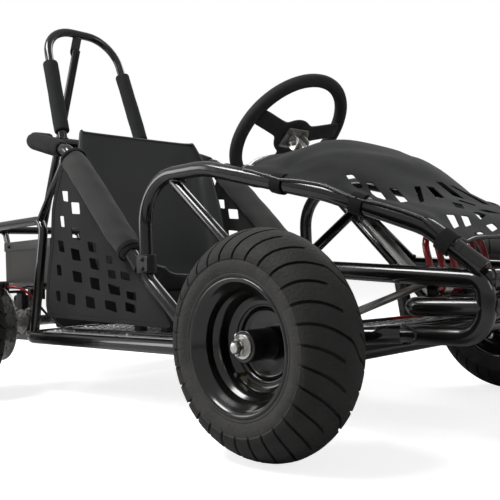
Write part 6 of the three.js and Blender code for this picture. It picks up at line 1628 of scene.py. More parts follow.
print("hood:", round(hood_area, 4), "square metres")

# %% [markdown]
# ## Floor plate
# The floor is a sheet of aluminium with raised lozenges, so that feet don't slip on it. It lies on the
# cross tubes, is cut to the frame's outline and bends up towards the nose. The lozenges stand in rows
# that lean left and right in turn, and the second node tree sets them. The plate's aluminium is given
# a lighter tone as painted light, and the lozenges a darker one as painted shade.

# %% Floor plate
FLOOR_PLAN = [(-905, 190), (-863, 228), (-330, 228), (-225, 186), (50, 186), (92, 148)]
BEND_X, FLOOR_UNDER, FLOOR_THICK = -330.0, FRAME_Z + SLIM - 0.5, 2.5
FLOOR_SLOPE = 35.4 / 422


def floor_height(x):
    """The floor's upper face: level under the seat, rising from the bend to the nose."""
    return FLOOR_UNDER + FLOOR_THICK + max(0.0, x - BEND_X) * FLOOR_SLOPE


def floor_place(p):
    return Vector((p[0], p[1], floor_height(p[0]) - FLOOR_THICK / 2))


pan_loop = rounded([(x, -y) for x, y in FLOOR_PLAN] + FLOOR_PLAN[::-1], 10, 3)
plate, plate_soft = Shape(), Soft()
for x0, x1 in ((FLOOR_PLAN[0][0], BEND_X), (BEND_X, FLOOR_PLAN[-1][0])):
    part = [(x, y) for x, y in pan_loop if x0 - 0.01 <= x <= x1 + 0.01]
    middle_x = sum(x for x, _ in part) / len(part)
    ordered = sorted(part, key=lambda q: math.atan2(q[1], q[0] - middle_x))
    panel(plate_soft, ordered, [], None, floor_place, 2.4)
plate.points, plate.faces, plate.marks = plate_soft.points, plate_soft.faces, [0] * len(plate_soft.faces)
dress("floor_plate", plate, plate_aluminium_painted_light, "floor_pan")


def lozenge(name, tilt):
    """One raised lozenge of the plate, in metres, turned by a tilt from the row."""
    long, wide, high = 0.0125, 0.0034, 0.0015
    flat = [(long, 0), (long * 0.55, wide * 0.8), (0, wide), (-long * 0.55, wide * 0.8), (-long, 0),
            (-long * 0.55, -wide * 0.8), (0, -wide), (long * 0.55, -wide * 0.8)]
    turned = [(x * math.cos(tilt) - y * math.sin(tilt), x * math.sin(tilt) + y * math.cos(tilt)) for x, y in flat]
    points = [(x, y, -0.0001) for x, y in turned] + [(x * 0.82, y * 0.6, high) for x, y in turned]
    faces = [(i, (i + 1) % 8, 8 + (i + 1) % 8, 8 + i) for i in range(8)] + [tuple(range(8, 16))]
    faces.append(tuple(reversed(range(8))))
    return linked(name, plain_mesh(name, points, faces))


LOZENGE_PITCH, LOZENGE_TILT, ROWS_BESIDE = 25.0, math.radians(40), 9
FIRST_LOZENGE, LAST_LOZENGE, LOZENGE_EDGE = -892, 84, 9
rows = ([], [])
for number in range(-ROWS_BESIDE, ROWS_BESIDE + 1):
    y = number * LOZENGE_PITCH
    start = FIRST_LOZENGE + (number % 2) * LOZENGE_PITCH / 2
    places = [start + LOZENGE_PITCH * i for i in range(40)]
    kept = [x for x in places if x < LAST_LOZENGE and abs(y) < between(FLOOR_PLAN, x)[0] - LOZENGE_EDGE]
    if len(kept) > 1:
        bend = [BEND_X] if kept[0] < BEND_X < kept[-1] else []
        rows[number % 2].append([(x, y, floor_height(x) - 0.05) for x in (kept[0], *bend, kept[-1])])
lozenges = (lozenge("lozenge_right", LOZENGE_TILT), lozenge("lozenge_left", -LOZENGE_TILT))
for key, (run, template) in enumerate(zip(rows, lozenges)):
    name = f"floor_lozenges_{key}"
    piece(name, copied_along(run, template, LOZENGE_PITCH, lozenge_aluminium_painted_shade, name, 0.0, closed=False))
floor_bolts = Shape()
for x, y in ((-840, 180), (-770, 205), (-560, 205), (-345, 205), (-90, 160)):
    for side, _ in SIDES:
        bolt(floor_bolts, (x, side * y, floor_height(x)), Z_AXIS, 6.0, 0, dome=True)
dress("floor_bolts", floor_bolts, bright_zinc)

# %% [markdown]
# ## Seat
# The bucket seat is blow-moulded plastic: a pan, a back and low sides in one sheet that bends up all
# round. Its rim is rolled over, and its surface has a fine moulded grain. It is bolted to a stand of
# square tubes.

# %% Seat
SEAT_STATIONS = [
    (-440, 262, 190, 20.7), (-470, 246, 190, 48), (-502, 236, 190, 62), (-570, 233.5, 190, 62),
    (-638, 236, 190, 62), (-676, 242, 190, 62), (-703, 256, 190, 62), (-722, 282, 190, 62),
    (-734, 320, 190.5, 62), (-757.5, 424, 192, 62), (-772, 505, 192, 50), (-779, 550, 191, 32),
    (-784, 600, 176, 17), (-785, 612, 170, 14),
]
SEAT_SECTION = [(0, 0), (0.25, 0.004), (0.5, 0.012), (0.68, 0.03), (0.8, 0.075), (0.88, 0.15), (0.935, 0.28),
                (0.968, 0.45), (0.985, 0.64), (0.995, 0.83), (1.0, 1.0)]


def smooth_table(table, parts):
    """More stations between the given ones, on one smooth curve."""
    result = []
    for index in range(len(table) - 1):
        p = [Vector(table[max(0, min(len(table) - 1, index + k))]) for k in (-1, 0, 1, 2)]
        for part in range(parts):
            t = part / parts
            result.append(tuple(
                0.5 * (2 * p[1][k] + (p[2][k] - p[0][k]) * t
                       + (2 * p[0][k] - 5 * p[1][k] + 4 * p[2][k] - p[3][k]) * t * t
                       + (3 * p[1][k] - p[0][k] - 3 * p[2][k] + p[3][k]) * t ** 3)
                for k in range(len(table[0]))))
    result.append(tuple(table[-1]))
    return result


seat_rows = smooth_table(SEAT_STATIONS, 5)
section = smooth_table(SEAT_SECTION, 3)
section = [(-a, b) for a, b in reversed(section[1:])] + section


def seat_grid():
    """The seat's middle surface: a row of points over its width at every station."""
    grid = []
    for index, (x, z, half, rise) in enumerate(seat_rows):
        before = seat_rows[max(index - 1, 0)]
        after = seat_rows[min(index + 1, len(seat_rows) - 1)]
        way = Vector((after[0] - before[0], 0, after[1] - before[1])).normalized()
        normal = Vector((way.z, 0, -way.x))
        if normal.z < -0.2 or (abs(normal.z) < 0.7 and normal.x < 0):
            normal = -normal
        line = []
        for across, up in section:
            dish = 5.0 * math.exp(-((z - 420) / 120) ** 2) * (1 - min(1, abs(across) / 0.75) ** 2)
            line.append(Vector((x, across * half, z)) + normal * (rise * up - dish))
        grid.append(line)
    return grid


SEAT_HALF, RIM_ROUND = 2.4, 3.7
seat, grid, normals = Shape(), seat_grid(), []
row_count, column_count = len(grid), len(grid[0])
for r in range(row_count):
    line = []
    for c in range(column_count):
        along_seat = grid[min(r + 1, row_count - 1)][c] - grid[max(r - 1, 0)][c]
        over_seat = grid[r][min(c + 1, column_count - 1)] - grid[r][max(c - 1, 0)]
        line.append(along_seat.cross(over_seat).normalized())
    normals.append(line)
for lift in (SEAT_HALF, -SEAT_HALF):
    for spots, ways in zip(grid, normals):
        seat.points.extend(spot + normal * lift for spot, normal in zip(spots, ways))


def seat_index(r, c, layer):
    return (layer * row_count + r) * column_count + c


def seat_ring(inset):
    """The grid places round the seat, some rows and columns in from its edge."""
    row, column = row_count - 1 - inset, column_count - 1 - inset
    return ([(r, inset) for r in range(inset, row + 1)] + [(row, c) for c in range(inset + 1, column + 1)]
            + [(r, column) for r in range(row - 1, inset - 1, -1)]
            + [(inset, c) for c in range(column - 1, inset, -1)])


for r in range(row_count - 1):
    for c in range(column_count - 1):
        for layer in (0, 1):
            seat.faces.append((seat_index(r, c, layer), seat_index(r + 1, c, layer), seat_index(r + 1, c + 1, layer),
                               seat_index(r, c + 1, layer)))
border = seat_ring(0)
for here, after in zip(border, border[1:] + border[:1]):
    seat.faces.append((seat_index(*here, 0), seat_index(*after, 0), seat_index(*after, 1), seat_index(*here, 1)))
seat.marks = [0] * len(seat.faces)
sweep(seat, [grid[r][c] for r, c in border], RIM_ROUND, 12, closed=True)
sweep(seat, [grid[r][c] + normals[r][c] * 1.6 for r, c in seat_ring(2)], 1.5, 8, closed=True)
dress("seat_moulding", seat, seat_plastic, "seat_shell", sharp=50)
seat_bolts = Shape()
for x in (-522, -618):
    for side, _ in SIDES:
        z = next(z for sx, z, _, _ in seat_rows if sx <= x) + 1.5
        bolt(seat_bolts, (x, side * 130, z), Z_AXIS, 6.5, 0, dome=True)
dress("seat_bolts", seat_bolts, satin_black)
print("seat:", len(seat.faces), "faces")

# %% [markdown]
# ## Steering
# A foam ring on a pressed plate with two broad spokes and a short one turns a slanted steel column.
# Near the column's foot an arm pushes two tie rods, and these turn the knuckles about their kingpins.

# %% Steering wheel
WHEEL_REACH, RIM_THICK, SPOKE_END = 127, 13, 119
SPOKES = ((16, 17.5), (164, 17.5), (270, 14))
wheel = Shape()
lathe(wheel, circle(RIM_THICK, 20, (WHEEL_REACH, 0)), WHEEL_CENTRE, COLUMN_WAY, 120)
spoke_plane = WHEEL_CENTRE + COLUMN_WAY * 10.6
hub_outline = []
for turn in turns(240):
    reaches = [43 + 2.5 * math.cos(2 * turn)]
    for degrees, half_width in SPOKES:
        off = turn - math.radians(degrees)
        if math.cos(off) > 0.3:
            reaches.append(min(SPOKE_END, half_width / max(1e-3, abs(math.sin(off)))))
    reach = min(SPOKE_END, sum(r ** 7 for r in reaches) ** (1 / 7))
    hub_outline.append((reach * math.cos(turn), reach * math.sin(turn)))
slab(wheel, hub_outline, 8.6, spoke_plane, Y_AXIS, WHEEL_UP, edge=2.6)
hub_cap = [(0, -8.2), (20, -8.0), (31, -6.6), (36, -4.4), (37, 0), (0, 0)]
lathe(wheel, hub_cap, spoke_plane, COLUMN_WAY, 60)
dress("steering_ring", wheel, grip_foam, "steering_wheel", sharp=45, body="steering")

bracket = Shape()
plate_centre = WHEEL_CENTRE + COLUMN_WAY * 16.6
slab(bracket, box_outline(62, 46, 7, 4), 3.4, plate_centre + COLUMN_WAY * 0.6, Y_AXIS, WHEEL_UP)
for x, y in ((-22, -14), (22, -14), (-22, 14), (22, 14)):
    bolt(bracket, plate_centre + COLUMN_WAY * 2.6 + Y_AXIS * x + WHEEL_UP * y, COLUMN_WAY, 5.6, 2)
dress("hub_bracket", bracket, grey_zinc, "steering_hub_plate", body="steering")
fork = Shape()
for side, _ in SIDES:
    slab(fork, rounded([(-15, 0), (15, 0), (13, 26), (-13, 26)], 6, 4), 3.6,
         plate_centre + COLUMN_WAY * 2.6 + Y_AXIS * (side * 15), WHEEL_UP, COLUMN_WAY, edge=1)
dress("hub_fork", fork, bright_zinc, body="steering")
pin = Shape()
pin_centre = plate_centre + COLUMN_WAY * 17
rod(pin, pin_centre - Y_AXIS * 22, pin_centre + Y_AXIS * 22, 4.2, 16)
for side, _ in SIDES:
    bolt(pin, pin_centre + Y_AXIS * (side * 17), Y_AXIS * side, 6.4, 1)
dress("hub_pin", pin, bright_zinc, body="steering")

# %% Column, arm and support
ARM_BACK, COLUMN_ARM, LEG = 26, 45, 9
column = Shape()
rod(column, WHEEL_CENTRE + COLUMN_WAY * 19.5, COLUMN_END, 10, 40)
arm_plane = COLUMN_END - COLUMN_WAY * ARM_BACK
slab(column, rounded([(-10, -12), (10, -12), (10, 55), (-10, 55)], 8, 5), 6, arm_plane, Y_AXIS, WHEEL_UP, edge=1)
bolt(column, arm_plane + COLUMN_WAY * 3 + WHEEL_UP * COLUMN_ARM, COLUMN_WAY, 7, 3)
dress("column_tube", column, bright_zinc, "steering_column", body="steering")
SUPPORT = WHEEL_CENTRE + COLUMN_WAY * (167 / math.cos(COLUMN_LEAN))
support = Shape()
lathe(support, rounded([(10.2, -15), (18, -15), (18, 15), (10.2, 15)], 1.2), SUPPORT, COLUMN_WAY, 40)
for side, _ in SIDES:
    start = Vector((-100, side * 15, SUPPORT.z))
    end = Vector((-100, side * NOSE_Y, 273))
    rod(support, start, end + (start - end).normalized() * 12, LEG, 18)
    weld(end, start - end, LEG, X_AXIS, TUBE)
    weld(SUPPORT, end - start, LEG, COLUMN_WAY, 18)
dress("column_legs", support, gloss_black, "column_support")

# %% Front axle beam
KINGPIN_Y, YOKE_HALF, YOKE_ROUND = 290, 34.3, 16
beam_z = rail_height(0) - 2 * TUBE - 0.3
yoke_top, yoke_low = AXLE_Z + YOKE_HALF, AXLE_Z - YOKE_HALF
yoke_half = [(-YOKE_ROUND, 267), (YOKE_ROUND, 267), (YOKE_ROUND, 292)]
yoke_half += [(YOKE_ROUND * math.cos(a), KINGPIN_Y + YOKE_ROUND * math.sin(a))
              for a in (math.radians(degrees) for degrees in range(0, 181, 20))]
yoke_half += [(-YOKE_ROUND, 292)]
beam = Shape()
rod(beam, (0, -268, beam_z), (0, 268, beam_z), TUBE, 24)
for side, _ in SIDES:
    arm_outline = on_side(yoke_half, side)
    for z in (yoke_top + 3, yoke_low - 3):
        slab(beam, arm_outline, 6, (0, 0, z), X_AXIS, Y_AXIS, edge=1)
    slab(beam, box_outline(32, yoke_top - yoke_low + 12, 4), 6, (0, side * 270, AXLE_Z), X_AXIS, Z_AXIS, edge=1)
    weld((0, side * 266.8, beam_z), (0, -side, 0.001), TUBE, X_AXIS, 0.6)
dress("axle_beam", beam, gloss_black, "front_axle_beam")

# %% Knuckles, kingpins and tie rods
ARM_Z, KNUCKLE_ARM, EYE_HALF = AXLE_Z + 20, 76, 7
EYE_Z = ARM_Z + 4.3 + EYE_HALF
for order, (side, word) in enumerate(SIDES):
    y = side * KINGPIN_Y
    knuckle = Shape()
    lathe(knuckle, rounded([(6.3, -34), (13, -34), (13, 34), (6.3, 34)], 1.2), (0, y, AXLE_Z), Z_AXIS, 32)
    rod(knuckle, (0, side * 302, AXLE_Z), (0, side * (FRONT_HALF - 39.3), AXLE_Z), 12, 24)
    rod(knuckle, (0, side * 320, AXLE_Z), (0, side * (FRONT_HALF + 53), AXLE_Z), 9, 24)
    slab(knuckle, rounded([(0, -8), (84, -8), (84, 8), (0, 8)], 7, 4), 8, (0, y, ARM_Z), X_AXIS, Y_AXIS, edge=1.2)
    rod(knuckle, (KNUCKLE_ARM, y, ARM_Z), (KNUCKLE_ARM, y, EYE_Z + 12), 5, 16)
    bolt(knuckle, (KNUCKLE_ARM, y, ARM_Z - 4), -Z_AXIS, 7, 0)
    dress(f"{word}_knuckle_forging", knuckle, satin_black, f"{word}_knuckle", body=f"{word}_steering_knuckle")
    caps = Shape()
    rod(caps, (0, y, yoke_low - 12), (0, y, yoke_top + 12), 5.9, 16)
    bolt(caps, (0, y, yoke_top + 6.2), Z_AXIS, 9.6, 0, dome=True)
    bolt(caps, (0, y, yoke_low - 6.2), -Z_AXIS, 9.6, 3)
    dress(f"{word}_kingpin_bolt", caps, bright_zinc, f"{word}_kingpin")
    link = Shape()
    offset = 3.3 + EYE_HALF + order * (2 * EYE_HALF + 0.3)
    inner_end = COLUMN_END - COLUMN_WAY * (ARM_BACK + offset) + WHEEL_UP * COLUMN_ARM
    outer_end = Vector((KNUCKLE_ARM, y, EYE_Z))
    lathe(link, rounded([(5.3, -7), (9, -7), (11, -4.5), (11, 4.5), (9, 7), (5.3, 7)], 0.8), outer_end, Z_AXIS, 32)
    lathe(link, rounded([(0, -7), (7.4, -7), (9, -5), (9, 5), (7.4, 7), (0, 7)], 0.8), inner_end, COLUMN_WAY, 28)
    reach = (inner_end - outer_end).normalized()
    rod(link, outer_end + reach * 9, inner_end - reach * 38, 6, 20)
    rod(link, inner_end - reach * 40, inner_end - reach * 6, 3.9, 16)
    lathe(link, [(5, 0), (9.4, 0), (9.4, 7), (5, 7)], outer_end + reach * 24, reach, 6)
    dress(f"{word}_tie_link", link, grey_zinc, f"{word}_tie_rod", body=f"{word}_steering_rod")
    cap = Shape()
    bolt(cap, (KNUCKLE_ARM, y, EYE_Z + 7.4), Z_AXIS, 8.4, 0, dome=True)
    dress(f"{word}_link_nut", cap, bright_zinc, body=f"{word}_steering_knuckle")
print("steering ready")

# %% [markdown]
# ## Rear axle and brake
# One live axle carries both rear wheels, the sprocket and the brake disc. It turns in two bearings
# that are bolted to plates on the frame.

# %% Rear axle, bearings, sprocket and disc
HUB_REAR = REAR_HALF + 35
AXLE_RADIUS, COLLAR_Y, DISC_Y = 12.5, 300, 280
CARRIER_PROFILE = [(12.9, -8), (20, -8), (20, -6.4), (26, -6.4), (26, -8), (31, -8),
                   (31, 8), (26, 8), (26, 6.4), (20, 6.4), (20, 8), (12.9, 8)]
axle = Shape()
axle_centre = Vector((-WHEELBASE, 0, AXLE_Z))
rod(axle, axle_centre - Y_AXIS * HUB_REAR, axle_centre + Y_AXIS * HUB_REAR, AXLE_RADIUS, 32)
rod(axle, axle_centre - Y_AXIS * (HUB_REAR + 17.8), axle_centre + Y_AXIS * (HUB_REAR + 17.8), 9.4, 24, 1.4)
for y in (-COLLAR_Y, COLLAR_Y):
    lathe(axle, rounded([(12.4, -6), (19, -6), (19, 6), (12.4, 6)], 1), axle_centre + Y_AXIS * y, Y_AXIS, 32)
dress("axle_shaft", axle, bright_zinc, "rear_axle", body="rear_axle_set")
for side, word in SIDES:
    carrier = Shape()
    centre = axle_centre + Y_AXIS * (side * BEARING_Y)
    lathe(carrier, rounded(CARRIER_PROFILE, 0.5, 2), centre, Y_AXIS, 48)
    dress(f"{word}_bearing_carrier", carrier, grey_zinc, f"{word}_axle_bearing")
    ring = Shape()
    bolt_ring(ring, centre + Y_AXIS * (side * 3), 40, 4, Y_AXIS * side, 6.2, 2)
    dress(f"{word}_bearing_bolts", ring, bright_zinc)

CHAIN_Y, CHAIN_PITCH, GEAR_THICK = 275.0, 8, 3.4
SPROCKET_TEETH, PINION_TEETH = 54, 11
SPROCKET_PITCH = CHAIN_PITCH * SPROCKET_TEETH / (2 * math.pi)
PINION_PITCH = CHAIN_PITCH * PINION_TEETH / (2 * math.pi)


def tooth_ring(name, centre, teeth, root, tip):
    """One tooth with its part of the rim, copied round by the node tree."""
    step = 2 * math.pi / teeth
    shape = Shape()
    outline = [(root - 5, -0.5), (root, -0.5), (root + 0.2, -0.3), ((root + tip) / 2, -0.22), (tip, -0.1), (tip, 0.1),
               ((root + tip) / 2, 0.22), (root + 0.2, 0.3), (root, 0.5), (root - 5, 0.5)]
    points = [Vector(centre) + round_axle(r, a * step) for r, a in outline]
    count = len(points)
    low = [p - Y_AXIS * (GEAR_THICK / 2) for p in points]
    high = [p + Y_AXIS * (GEAR_THICK / 2) for p in points]
    faces = [tuple(range(count)), tuple(reversed(range(count, 2 * count)))]
    faces += [(i, i + 1, count + i + 1, count + i) for i in range(1, count - 2)]
    shape.add(low + high, faces)
    mesh = shape.mesh(name + "_tooth", [steel_grease], outward=False)
    return copied_round(mesh, centre, teeth, steel_grease, name)


sprocket_centre = axle_centre + Y_AXIS * CHAIN_Y
sprocket = Shape()
cuts = [circle(13, 40)] + [circle(11, 20, middle) for middle in circle(42, 6)]
web = circle(SPROCKET_PITCH - 7.6, 2 * SPROCKET_TEETH)
slab(sprocket, web, GEAR_THICK, sprocket_centre, X_AXIS, Z_AXIS, holes=cuts, edge=0.3)
lathe(sprocket, rounded([(12.9, -10), (24, -10), (24, 10), (12.9, 10)], 1), sprocket_centre, Y_AXIS, 40)
bolt_ring(sprocket, sprocket_centre + Y_AXIS * 1.7, 30, 6, Y_AXIS, 4.6, 1)
teeth = tooth_ring("sprocket_wheel", sprocket_centre, SPROCKET_TEETH, SPROCKET_PITCH - 4.2, SPROCKET_PITCH - 0.2)
piece("sprocket_wheel", joined_mesh(teeth, sprocket.mesh("sprocket_web", [steel_grease])), "rear_sprocket",
      body="rear_axle_set")

disc_centre = axle_centre - Y_AXIS * DISC_Y
disc = Shape()
cuts = [circle(34, 40)]
for ring_number, reach in enumerate((62, 72, 81)):
    cuts += [circle(2.6, 10, middle) for middle in circle(reach, 18, shift=ring_number / 3)]
slab(disc, circle(89.6, 120), 3, disc_centre, X_AXIS, Z_AXIS, holes=cuts, edge=0.3)
lathe(disc, rounded([(12.9, -9), (24, -9), (24, -1.6), (44, -1.6), (44, 1.6), (24, 1.6), (24, 9), (12.9, 9)], 0.6),
      disc_centre, Y_AXIS, 48)
bolt_ring(disc, disc_centre - Y_AXIS * 1.8, 39, 4, -Y_AXIS, 5, 1)
dress("disc_plate", disc, bright_zinc, "brake_disc", body="rear_axle_set")

# %% Brake caliper
caliper = Shape()
cal_z = AXLE_Z + 90 + 12 - 18
for shift in (-8.2, 8.2):
    slab(caliper, box_outline(56, 36, 8, 4), 12.4, (-WHEELBASE, shift - DISC_Y, cal_z), X_AXIS, Z_AXIS, edge=2)
slab(caliper, box_outline(52, 32, 6, 4), 9, (-WHEELBASE, -DISC_Y, cal_z + 13.4), X_AXIS, Y_AXIS, edge=2)
for x in (-18, 18):
    bolt(caliper, (-WHEELBASE + x, -294.6, cal_z + 2), -Y_AXIS, 6.4, 1)
slab(caliper, box_outline(28, 44, 3), 10, (-WHEELBASE, -222, AXLE_Z + 54), X_AXIS, Z_AXIS, edge=1)
slab(caliper, box_outline(28, 44, 3), 7, (-WHEELBASE, -245, cal_z - 9), X_AXIS, Y_AXIS, edge=1)
dress("caliper_body", caliper, satin_black, "brake_caliper")

# %% [markdown]
# ## Motor and chain
# The electric motor lies crosswise behind the seat. Its case has cooling ribs and two bolted ends, and
# its small pinion drives the sprocket by a roller chain. One link with its rollers is modelled, and
# the node tree lays the links round the loop.

# %% Motor and pinion
MOTOR_X, MOTOR_Y, MOTOR_Z = -WHEELBASE + 128, 139, 205.0
motor_centre = Vector((MOTOR_X, MOTOR_Y, MOTOR_Z))
motor = Shape()
ribs = [(0, -69), (20, -69), (44, -68), (50, -64), (50, -46)]
for rib in range(9):
    y = -44 + rib * 9.6
    ribs += [(48.6, y), (51.6, y + 1.4), (51.6, y + 4.2), (48.6, y + 5.6)]
ribs += [(50, 46), (50, 64), (44, 68), (24, 69), (0, 69)]
lathe(motor, ribs, motor_centre, Y_AXIS, 72, closed=False)
lathe(motor, rounded([(0, 68), (22, 68), (22, 69), (0, 69)], 0.4), motor_centre, Y_AXIS, 32)
bolt_ring(motor, motor_centre - Y_AXIS * 68.4, 38, 4, -Y_AXIS, 5.4, 0)
box(motor, (MOTOR_X, MOTOR_Y, (FLOOR_TOP + MOTOR_Z - 44) / 2 + 2), (88, 68, MOTOR_Z - 44 - FLOOR_TOP + 3), 3)
dress("motor_case", motor, satin_black, "drive_motor")

pinion_centre = Vector((MOTOR_X, CHAIN_Y, MOTOR_Z))
shaft = Shape()
rod(shaft, (MOTOR_X, 208.4, MOTOR_Z), (MOTOR_X, 281, MOTOR_Z), 6, 20)
web, half = PINION_PITCH - 6.6, GEAR_THICK / 2
lathe(shaft, [(5.9, -half), (web, -half), (web, half), (5.9, half)], pinion_centre, Y_AXIS, 3 * PINION_TEETH)
pinion_teeth = tooth_ring("pinion_wheel", pinion_centre, PINION_TEETH, PINION_PITCH - 4.4, PINION_PITCH - 0.4)
piece("pinion_wheel", joined_mesh(pinion_teeth, shaft.mesh("pinion_shaft", [steel_grease])), "motor_pinion",
      body="motor_shaft")

# %% Chain
span = Vector((MOTOR_X + WHEELBASE, MOTOR_Z - AXLE_Z))
heading = math.atan2(span.y, span.x)
lap = math.acos((SPROCKET_PITCH - PINION_PITCH) / span.length)
chain_loop = []
for centre_x, centre_z, reach, start, end, steps in (
        (-WHEELBASE, AXLE_Z, SPROCKET_PITCH, heading + lap, heading + 2 * math.pi - lap, 44),
        (MOTOR_X, MOTOR_Z, PINION_PITCH, heading - lap, heading + lap, 10)):
    for step in range(steps + 1):
        turn = start + (end - start) * step / steps
        chain_loop.append(Vector((centre_x + reach * math.cos(turn), CHAIN_Y, centre_z + reach * math.sin(turn))))


def chain_link(name, half_width, plate_half):
    """Two side plates and the two half pins that they hold, lying along X, in metres."""
    link = Shape()
    outline, pin_x = [], CHAIN_PITCH / 2
    for centre_x in (pin_x, -pin_x):
        for a in range(-90, 91, 30):
            turn = math.radians(a + (0 if centre_x > 0 else 180))
            outline.append((centre_x + 2.7 * math.cos(turn), 2.7 * math.sin(turn)))
    for side, _ in SIDES:
        slab(link, outline, plate_half, (0, side * half_width, 0), X_AXIS, Z_AXIS, edge=0.15)
    rod(link, (pin_x, -half_width - 0.6, 0), (pin_x, half_width + 0.6, 0), 1.9, 10, 0.3)
    return linked(name, plain_mesh(name, [p / 1000 for p in link.points], link.faces))


chain_length = sum((b - a).length for a, b in zip(chain_loop, chain_loop[1:] + chain_loop[:1]))
links = round(chain_length / CHAIN_PITCH)
link_shape = chain_link("chain_link_shape", 2.6, 0.8)
chain_mesh = copied_along([chain_loop], link_shape, chain_length / links, steel_grease, "chain_links", 0.0)
chain_mesh.set_sharp_from_angle(angle=math.radians(40))
piece("chain_links", chain_mesh, "drive_chain", slot="grey_metal")
print("chain:", links, "links")

# %% [markdown]
# ## Battery box
# A steel box with a pressed lid stands on the rear bars and holds the battery pack. A black panel
# before it is a dark sheet that paints the shade in front of the box, seen through the net's holes.
# Wires with black connectors hang under the box.

# %% Battery box and lid
BOX_LOW, BOX_HALF, BOX_X0, BOX_X1 = TRAY_Z + THIN + 0.2, 168, -1180.0, -930.0
BOX_MID, BOX_TOP, SHEET, LID_WIDER = (BOX_X0 + BOX_X1) / 2, BOX_LOW + 108, 1.8, 2.3


def hollow_box(shape, low, high, wider, open_top):
    """An open box from sheet: outer walls with rounded upright edges, inner walls and one closed side."""
    closed_z, open_z = (low, high) if open_top else (high, low)
    way = 1 if open_top else -1
    levels = ((-3.0, closed_z), (-0.8, closed_z + way * 0.6), (0, closed_z + way * 3), (0, open_z),
              (-SHEET, open_z), (-SHEET, closed_z + way * 3), (-3.4, closed_z + way * SHEET))
    points = []
    for grow, z in levels:
        out = 2 * (wider + grow)
        outline = box_outline(BOX_X1 - BOX_X0 + out, 2 * BOX_HALF + out, max(1.5, 9 + grow), 4)
        points.extend(Vector((BOX_MID + u, v, z)) for u, v in outline)
    count, last = len(outline), len(levels) - 1
    faces = [(k * count + i, k * count + (i + 1) % count, (k + 1) * count + (i + 1) % count, (k + 1) * count + i)
             for k in range(last) for i in range(count)]
    faces += [tuple(range(count)), tuple(last * count + i for i in reversed(range(count)))]
    shape.add(points, faces)


case = Shape()
hollow_box(case, BOX_LOW, BOX_TOP, 0, True)
dress("box_case", case, box_paint, "battery_box")
lid = Shape()
hollow_box(lid, BOX_TOP + LID_WIDER - 24, BOX_TOP + LID_WIDER, LID_WIDER, False)
for x in (-1120, -1055, -990):
    slab(lid, box_outline(24, 260, 8, 4), 1.2, (x, 0, BOX_TOP + 2.6), X_AXIS, Y_AXIS, edge=0.5)
for side, _ in SIDES:
    for x in (-1150, -960):
        bolt(lid, (x, side * 170.4, BOX_TOP - 10), Y_AXIS * side, 5.6, 0, dome=True)
dress("box_cover", lid, lid_paint, "battery_box_lid")
CELL, CELL_STEP_X, CELL_STEP_Y = (76, 78, 90), 77.4, 79.5
cells = Shape()
for column in range(3):
    for row in range(4):
        x = BOX_X0 + 47.7 + column * CELL_STEP_X
        y = -119.2 + row * CELL_STEP_Y
        box(cells, (x, y, BOX_LOW + 47.3), CELL, 3)
dress("cell_blocks", cells, cell_plastic, "battery_pack")
trim = Shape()
for side, _ in SIDES:
    slab(trim, box_outline(17, 106, 2), 1.8, (-991, side * 169.0, BOX_LOW + 52), X_AXIS, Z_AXIS, edge=0.5)
    bolt(trim, (-991, side * 170.2, BOX_LOW + 16), Y_AXIS * side, 6, 1)
    slab(trim, box_outline(30, 88, 2), 2.2, (-946, side * 169.2, BOX_LOW + 42), X_AXIS, Z_AXIS, edge=0.6)
# The black panel at the box's front is a dark sheet that paints the shade there.
shade_panel_outline = rounded([(-164, 145), (164, 145), (164, 352), (-164, 352)], 8, 3)
shade_panel_holes = [circle(4, 14, (y, z)) for y in (-150, 150) for z in (200, 330)]
slab(trim, shade_panel_outline, 1.8, (-925.2, 0, 0), Y_AXIS, Z_AXIS, holes=shade_panel_holes)
dress("splash_panel", trim, black_plastic)

# %% Wires under the box
wires = Shape()
chance = random.Random(11)
for number in range(9):
    x = -1120 + number * 22 + chance.uniform(-6, 6)
    y = -150 + chance.uniform(-6, 22)
    dip = chance.uniform(16, 44)
    shift = chance.uniform(-24, 24)
    knots = [(x, y, BOX_LOW + 4), (x + shift * 0.2, y - 2, BOX_LOW - dip * 0.55),
             (x + shift * 0.6, y + 6, BOX_LOW - dip),
             (x + shift, y + 24, BOX_LOW - dip * 0.7), (x + shift * 1.2, y + 34, BOX_LOW + 3)]
    sweep(wires, smooth_run([Vector(k) for k in knots], 22), 2.1, 8)
dress("box_wires", wires, black_plastic)
plugs = Shape()
for x, z in ((-1086, 236), (-1032, 230), (-968, 226)):
    box(plugs, (x, -142, z), (17, 13, 30), 2.4)
dress("wire_plugs", plugs, black_plastic)

# %% [markdown]
# ## Pedals
# Each pedal is a red steel rod bent to a loop, with one more rod up its middle. Its hub turns on the
# pin of the nose frame, and a spring lies round the hub.

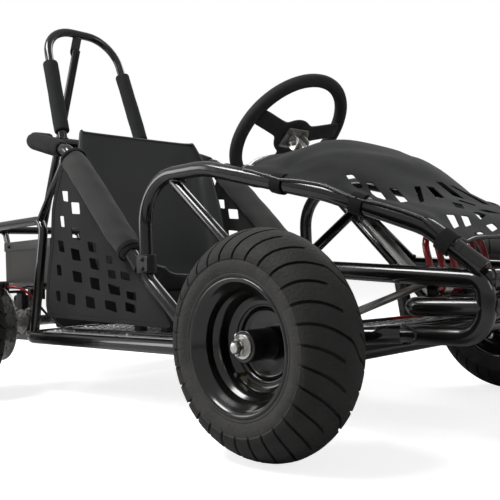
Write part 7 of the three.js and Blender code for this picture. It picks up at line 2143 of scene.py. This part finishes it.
# %% Pedals
PEDAL_LEAN = math.radians(14)
PEDAL_SIDE, PEDAL_HALF, PEDAL_ROD = 56, 37, 5.5
PEDAL_FOOT, PEDAL_TOP, PEDAL_BEND = 6, 90, 34
PEDAL_HUB = [(5.3, -43), (9.5, -43), (9.5, 43), (5.3, 43)]
COIL_TURNS, COIL_STEPS, COIL_RADIUS, COIL_HALF = 7, 7 * 16, 12.0, 12
pedal_up = Vector((-math.sin(PEDAL_LEAN), 0, math.cos(PEDAL_LEAN)))
for side, name in ((-1, "throttle"), (1, "brake")):
    centre = Vector((PEDAL_PIN[0], side * PEDAL_SIDE, PEDAL_PIN[1]))
    foot, top, aside = centre + pedal_up * PEDAL_FOOT, centre + pedal_up * PEDAL_TOP, Y_AXIS * PEDAL_HALF
    pedal = Shape()
    lathe(pedal, rounded(PEDAL_HUB, 0.8), centre, Y_AXIS, 28)
    corners = [tuple(foot - aside), (*(top - aside), PEDAL_BEND), (*(top + aside), PEDAL_BEND), tuple(foot + aside)]
    sweep(pedal, bent_line(corners), PEDAL_ROD, 18)
    rod(pedal, foot, top, PEDAL_ROD, 18)
    dress(f"{name}_loop", pedal, pedal_red, f"{name}_pedal", body=name)
    frame_welds = len(welds)
    for shift in (-PEDAL_HALF, 0, PEDAL_HALF):
        weld(centre + Y_AXIS * shift, pedal_up, PEDAL_ROD, Y_AXIS, 9.5)
    pedal_welds = welds[frame_welds:]
    del welds[frame_welds:]
    piece(f"{name}_welds", copied_along(pedal_welds, weld_bead, 2.5, pedal_red, f"{name}_welds", 0.2), body=name)
    coil = Shape()
    coil_y = side * (PEDAL_SIDE + 18)
    points = []
    for step in range(COIL_STEPS + 1):
        share = step / COIL_STEPS
        angle = 2 * math.pi * COIL_TURNS * share
        points.append(Vector((PEDAL_PIN[0] + COIL_RADIUS * math.cos(angle), coil_y + COIL_HALF * (2 * share - 1),
                              PEDAL_PIN[1] + COIL_RADIUS * math.sin(angle))))
    sweep(coil, points, 1.1, 8)
    dress(f"{name}_spring", coil, bright_zinc)

# %% Welds as one piece
piece("weld_beads", copied_along(welds, weld_bead, 2.5, weld_metal, "weld_beads", 0.2))
print("weld lines:", len(welds))

# %% [markdown]
# ## Kept parts
# The remaining solids have the right shape as they are: the seat's square stand and the front
# bearings inside the hubs. They only get a finish.

# %% Finishes for kept solids
for node_name, material in (("seat_stand", satin_black), ("right_front_bearing_set", bright_zinc),
                            ("left_front_bearing_set", bright_zinc)):
    for material_slot in bpy.data.objects[node_name].material_slots:
        material_slot.material = material

# %% Closing
for template in (stitch, weld_bead, *lozenges, link_shape):
    bpy.data.objects.remove(template)
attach(brake_cable, "chassis")
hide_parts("brake_cable")
cable_curve.materials.append(cable_red)
